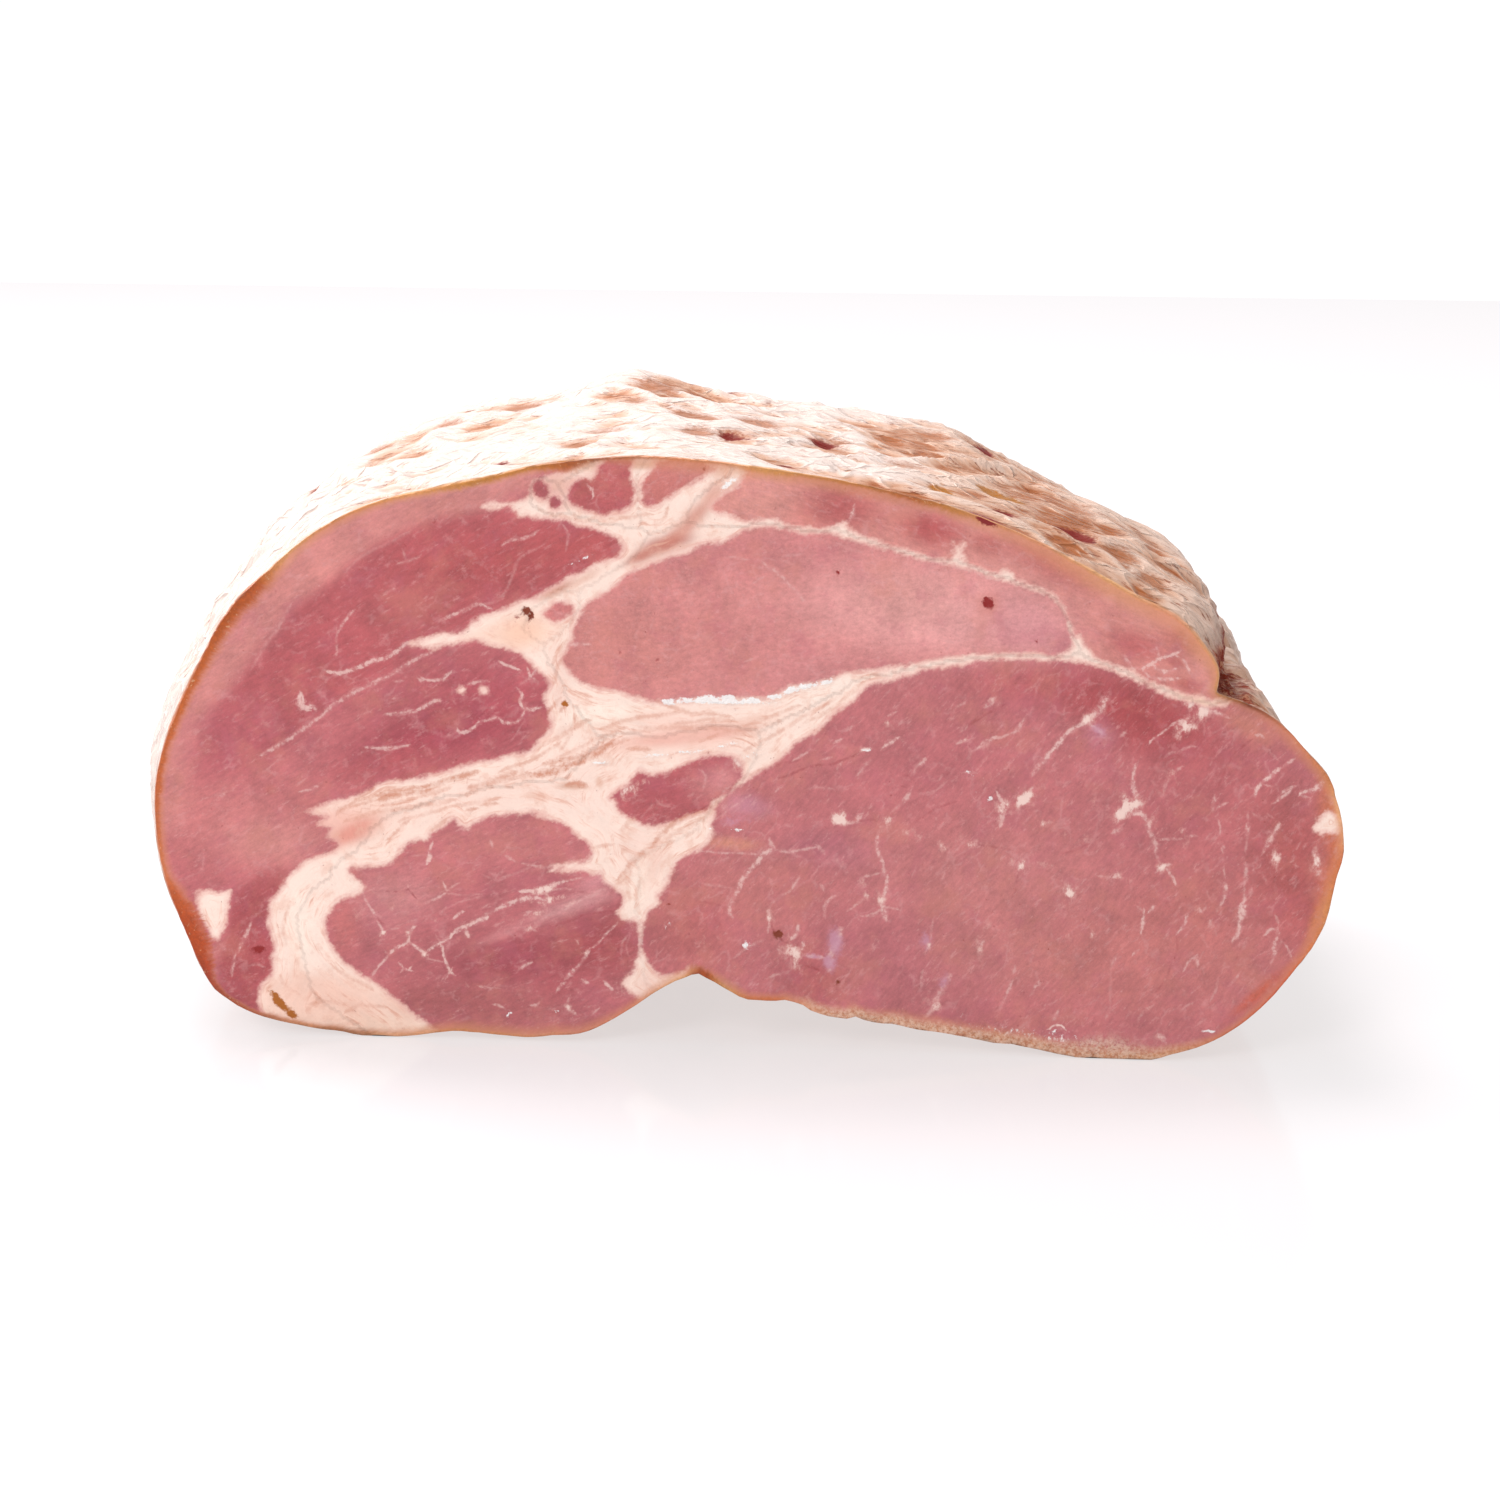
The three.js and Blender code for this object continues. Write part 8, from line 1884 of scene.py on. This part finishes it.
def skin_finish():
    m = Nodes("smoked_skin")
    mm = m.mm
    recess_shade, brown, dark = m.split(m.attr("skin", "Vector"))
    ochre, blood, char = m.split(m.attr("skin_more", "Vector"))
    back = m.attr("back")
    long = m.vec("MULTIPLY", mm, (0.40, 1.0, 0.40))
    patchy = m.noise(mm, 11.0, 4.0, 0.6, signed=True)
    streaky = m.noise(long, 1.6, 4.0, 0.66, signed=True)
    fine = m.noise(mm, 0.7, 3.0, 0.65)

    def crests(size, seed):
        """Sharp crests of two slanting families, 1 on the crest."""
        both = None
        for degrees, more in ((24.0, seed), (-26.0, seed + 17.0)):
            v = m.vec("MULTIPLY", m.turned(mm, degrees), (0.30, 1.0, 0.42))
            n = m.math("ABSOLUTE", m.noise(m.vec("ADD", v, (more, more * 2, 5.0)), size, 2.0, 0.45, signed=True))
            c = m.math("SUBTRACT", 1.0, m.math("MULTIPLY", n, 4.6), clamp=True)
            c = m.math("MULTIPLY", c, c)
            both = c if both is None else m.math("MAXIMUM", both, c)
        return both

    sharp, sharper = crests(5.5, 3.0), crests(2.6, 11.0)
    # painted shade down in the bowls and a painted highlight along the crests, over the skin's own patchy tone and
    # streaks
    low = m.math("ADD", recess_shade, m.math("MULTIPLY_ADD", patchy, 0.44, m.math("MULTIPLY", streaky, 0.10)))
    low = m.math("ADD", low, m.math("MULTIPLY_ADD", sharp, -0.24, m.math("MULTIPLY_ADD", sharper, -0.04, 0.04)))
    # paler on the crown and left flank: painted light where the key light is strongest
    low = m.math("ADD", low, m.attr("browner_and_painted_light"))
    cream = m.mix(m.step(m.attr("browner_and_painted_light"), 0.07, 0.16), SKIN_CREAM, SKIN_WARM)
    col = m.mix(m.step(low, 0.29, 0.73), cream, SKIN_TAN)
    col = m.mix(m.step(low, 0.65, 0.98), col, SKIN_BROWN)
    col = m.mix(m.math("MULTIPLY", m.step(fine, 0.60, 0.8), 0.16), col, SKIN_PALE)
    # thin brown streaks and specks, denser in the bowls and the browner parts
    thin = m.noise(m.vec("MULTIPLY", mm, (0.30, 1.1, 0.30)), 0.95, 4.0, 0.7)
    specks = m.math("MULTIPLY", m.step(thin, 0.56, 0.64), m.step(low, 0.1, 0.6, 0.22, 1.0))
    col = m.mix(m.math("MULTIPLY", specks, 0.85), col, SKIN_STREAK)
    col = m.mix(m.math("MULTIPLY", m.attr("under"), 0.55), col, SKIN_UNDER)
    edge_wobble = m.math("MULTIPLY_ADD", fine, 0.7, m.math("MULTIPLY_ADD", streaky, 0.25, -0.35))
    col = m.mix(m.math("MULTIPLY", m.step(m.math("ADD", brown, edge_wobble), 0.1, 0.65), 0.85), col, SKIN_BROWN)
    col = m.mix(m.step(m.math("ADD", ochre, edge_wobble), 0.15, 0.55), col, SKIN_OCHRE)
    col = m.mix(m.step(m.math("ADD", dark, edge_wobble), 0.15, 0.55), col, SKIN_DARK)
    # the charred fold, dark brown, with pale flecks painted in for its glints (painted highlights)
    char_here = m.step(m.math("MULTIPLY_ADD", streaky, 0.45, char), 0.22, 0.75)
    col = m.mix(char_here, col, m.mix(m.step(m.noise(mm, 1.4, 3.0, 0.7), 0.51, 0.64), SKIN_CHAR, SKIN_CHAR_PAINTED_GLINT))
    col = m.mix(m.step(m.math("ADD", blood, edge_wobble), 0.3, 0.8), col, SKIN_BLOOD)
    # browned line right at the cut
    rim_tone = m.attr("rim_tone", "Vector")
    at_edge = m.math("MULTIPLY", m.step(m.math("ADD", back, m.math("MULTIPLY", m.noise(mm, 2.2, 2.0, 0.5, signed=True), 0.8)), 1.5, 0.2), 0.8)
    col = m.mix(at_edge, col, rim_tone)
    m.put(m.bsdf.inputs["Base Color"], col)
    rough = m.math("MULTIPLY_ADD", streaky, 0.16, 0.30)
    rough = m.math("ADD", rough, m.math("MULTIPLY", m.math("MAXIMUM", dark, char), 0.42), clamp=True)
    m.put(m.bsdf.inputs["Roughness"], rough)
    m.bsdf.inputs["Specular IOR Level"].default_value = 0.13
    m.bsdf.inputs["Specular Tint"].default_value = (1.0, 0.86, 0.78, 1.0)
    m.bsdf.inputs["Subsurface Weight"].default_value = 0.0
    m.bsdf.inputs["Subsurface Radius"].default_value = (1.0, 0.5, 0.3)
    m.bsdf.inputs["Subsurface Scale"].default_value = 0.0015
    h = m.math("MULTIPLY_ADD", streaky, 0.05, m.math("MULTIPLY_ADD", sharp, 0.60, m.math("MULTIPLY", sharper, 0.09)))
    h = m.math("MULTIPLY_ADD", fine, 0.06, h)
    h = m.math("MULTIPLY_ADD", m.math("MULTIPLY", char, fine), 0.8, h)
    m.put(m.bsdf.inputs["Normal"], m.bump(h, 0.8, 0.001))
    return m.mat


def upward(rgb):
    """The same for the skin, which looks up into the light."""
    return tuple(float(x) / 1.36 for x in paint(display(rgb)))


SKIN_CREAM = upward((252, 231, 222))
SKIN_WARM = upward((242, 208, 190))
SKIN_PALE = upward((255, 238, 230))
SKIN_TAN = upward((230, 184, 159))
SKIN_BROWN = upward((184, 113, 76))
SKIN_STREAK = upward((146, 76, 48))
SKIN_DARK = upward((136, 56, 14))
SKIN_OCHRE = upward((186, 118, 42))
SKIN_CHAR = upward((156, 66, 22))
# pale flecks in the charred fold: painted glints
SKIN_CHAR_PAINTED_GLINT = upward((214, 146, 116))
SKIN_BLOOD = upward((150, 44, 16))
SKIN_UNDER = lit((196, 134, 112))


# ================================================================ the piece
ham = bpy.data.objects.new("ham", build_mesh())
bpy.context.scene.collection.objects.link(ham)
ham.data.materials.append(cut_finish())
ham.data.materials.append(skin_finish())
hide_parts("ham_piece")
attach(ham, "root")

# ================================================================ studio
scene = bpy.context.scene
scene.view_settings.view_transform = "Standard"
scene.view_settings.look = "None"

floor_mesh = bpy.data.meshes.new("floor")
floor_mesh.from_pydata([(-1.5, -1.5, 0), (1.5, -1.5, 0), (1.5, 1.1, 0), (-1.5, 1.1, 0)], [], [(0, 1, 2, 3)])
floor = bpy.data.objects.new("floor", floor_mesh)
floor.location.z = -0.0002
scene.collection.objects.link(floor)
fm = bpy.data.materials.new("floor_white")
fm.use_nodes = True
t = fm.node_tree
t.nodes.clear()
out = t.nodes.new("ShaderNodeOutputMaterial")
mixer = t.nodes.new("ShaderNodeMixShader")
mixer.inputs[0].default_value = 0.10
white = t.nodes.new("ShaderNodeBsdfDiffuse")
white.inputs["Color"].default_value = (0.25, 0.232, 0.242, 1)
glow = t.nodes.new("ShaderNodeEmission")  # a lit floor: its shadows stay light
glow.inputs["Color"].default_value = (1.0, 0.985, 0.985, 1)
glow.inputs["Strength"].default_value = 0.69
both = t.nodes.new("ShaderNodeAddShader")
gloss = t.nodes.new("ShaderNodeBsdfGlossy")
gloss.inputs["Color"].default_value = (1, 1, 1, 1)
gloss.inputs["Roughness"].default_value = 0.10
t.links.new(white.outputs[0], both.inputs[0])
t.links.new(glow.outputs[0], both.inputs[1])
t.links.new(both.outputs[0], mixer.inputs[1])
t.links.new(gloss.outputs[0], mixer.inputs[2])
t.links.new(mixer.outputs[0], out.inputs["Surface"])
floor_mesh.materials.append(fm)

world = bpy.data.worlds.new("studio")
world.use_nodes = True
wt = world.node_tree
sky = wt.nodes["Background"]
sky.inputs["Color"].default_value = (1.0, 1.0, 1.0, 1)
seen = wt.nodes.new("ShaderNodeLightPath")
level = wt.nodes.new("ShaderNodeMapRange")  # a white backdrop, with a softer light from it
level.inputs["To Min"].default_value = 0.70
level.inputs["To Max"].default_value = 1.05
wt.links.new(seen.outputs["Is Camera Ray"], level.inputs["Value"])
wt.links.new(level.outputs[0], sky.inputs["Strength"])
scene.world = world


def area(name, place, aim, size, watts, colour=(1, 1, 1)):
    light = bpy.data.lights.new(name, "AREA")
    light.shape = "RECTANGLE"
    light.size, light.size_y = size
    light.energy = watts
    light.color = colour
    o = bpy.data.objects.new(name, light)
    o.location = place
    o.rotation_euler = (Vector(aim) - Vector(place)).to_track_quat("-Z", "Y").to_euler()
    scene.collection.objects.link(o)
    return o


area("top", (-0.30, 0.30, 1.1), (0, 0, 0.05), (0.6, 0.5), 15)
area("left_back", (-0.9, 0.45, 0.6), (-0.02, 0, 0.06), (0.5, 0.5), 9)
area("front", (-0.45, -1.3, 0.95), (0, 0, 0.05), (0.6, 0.5), 8)

camera_data = bpy.data.cameras.new("camera")
camera_data.lens = 100.0
camera_data.sensor_width = 36.0
camera_data.clip_start = 0.01
camera_data.clip_end = 50.0
camera = bpy.data.objects.new("camera", camera_data)
AZIMUTH, ELEVATION, DISTANCE, TARGET = 6.0, 13.1, 0.7628, Vector((0.007304, -0.073, 0.05687))
a, e = math.radians(AZIMUTH), math.radians(ELEVATION)
look = Vector((-math.sin(a) * math.cos(e), math.cos(a) * math.cos(e), -math.sin(e)))
camera.location = TARGET - look * DISTANCE
camera.rotation_euler = (math.pi / 2 - e, 0, a)
scene.collection.objects.link(camera)
scene.camera = camera
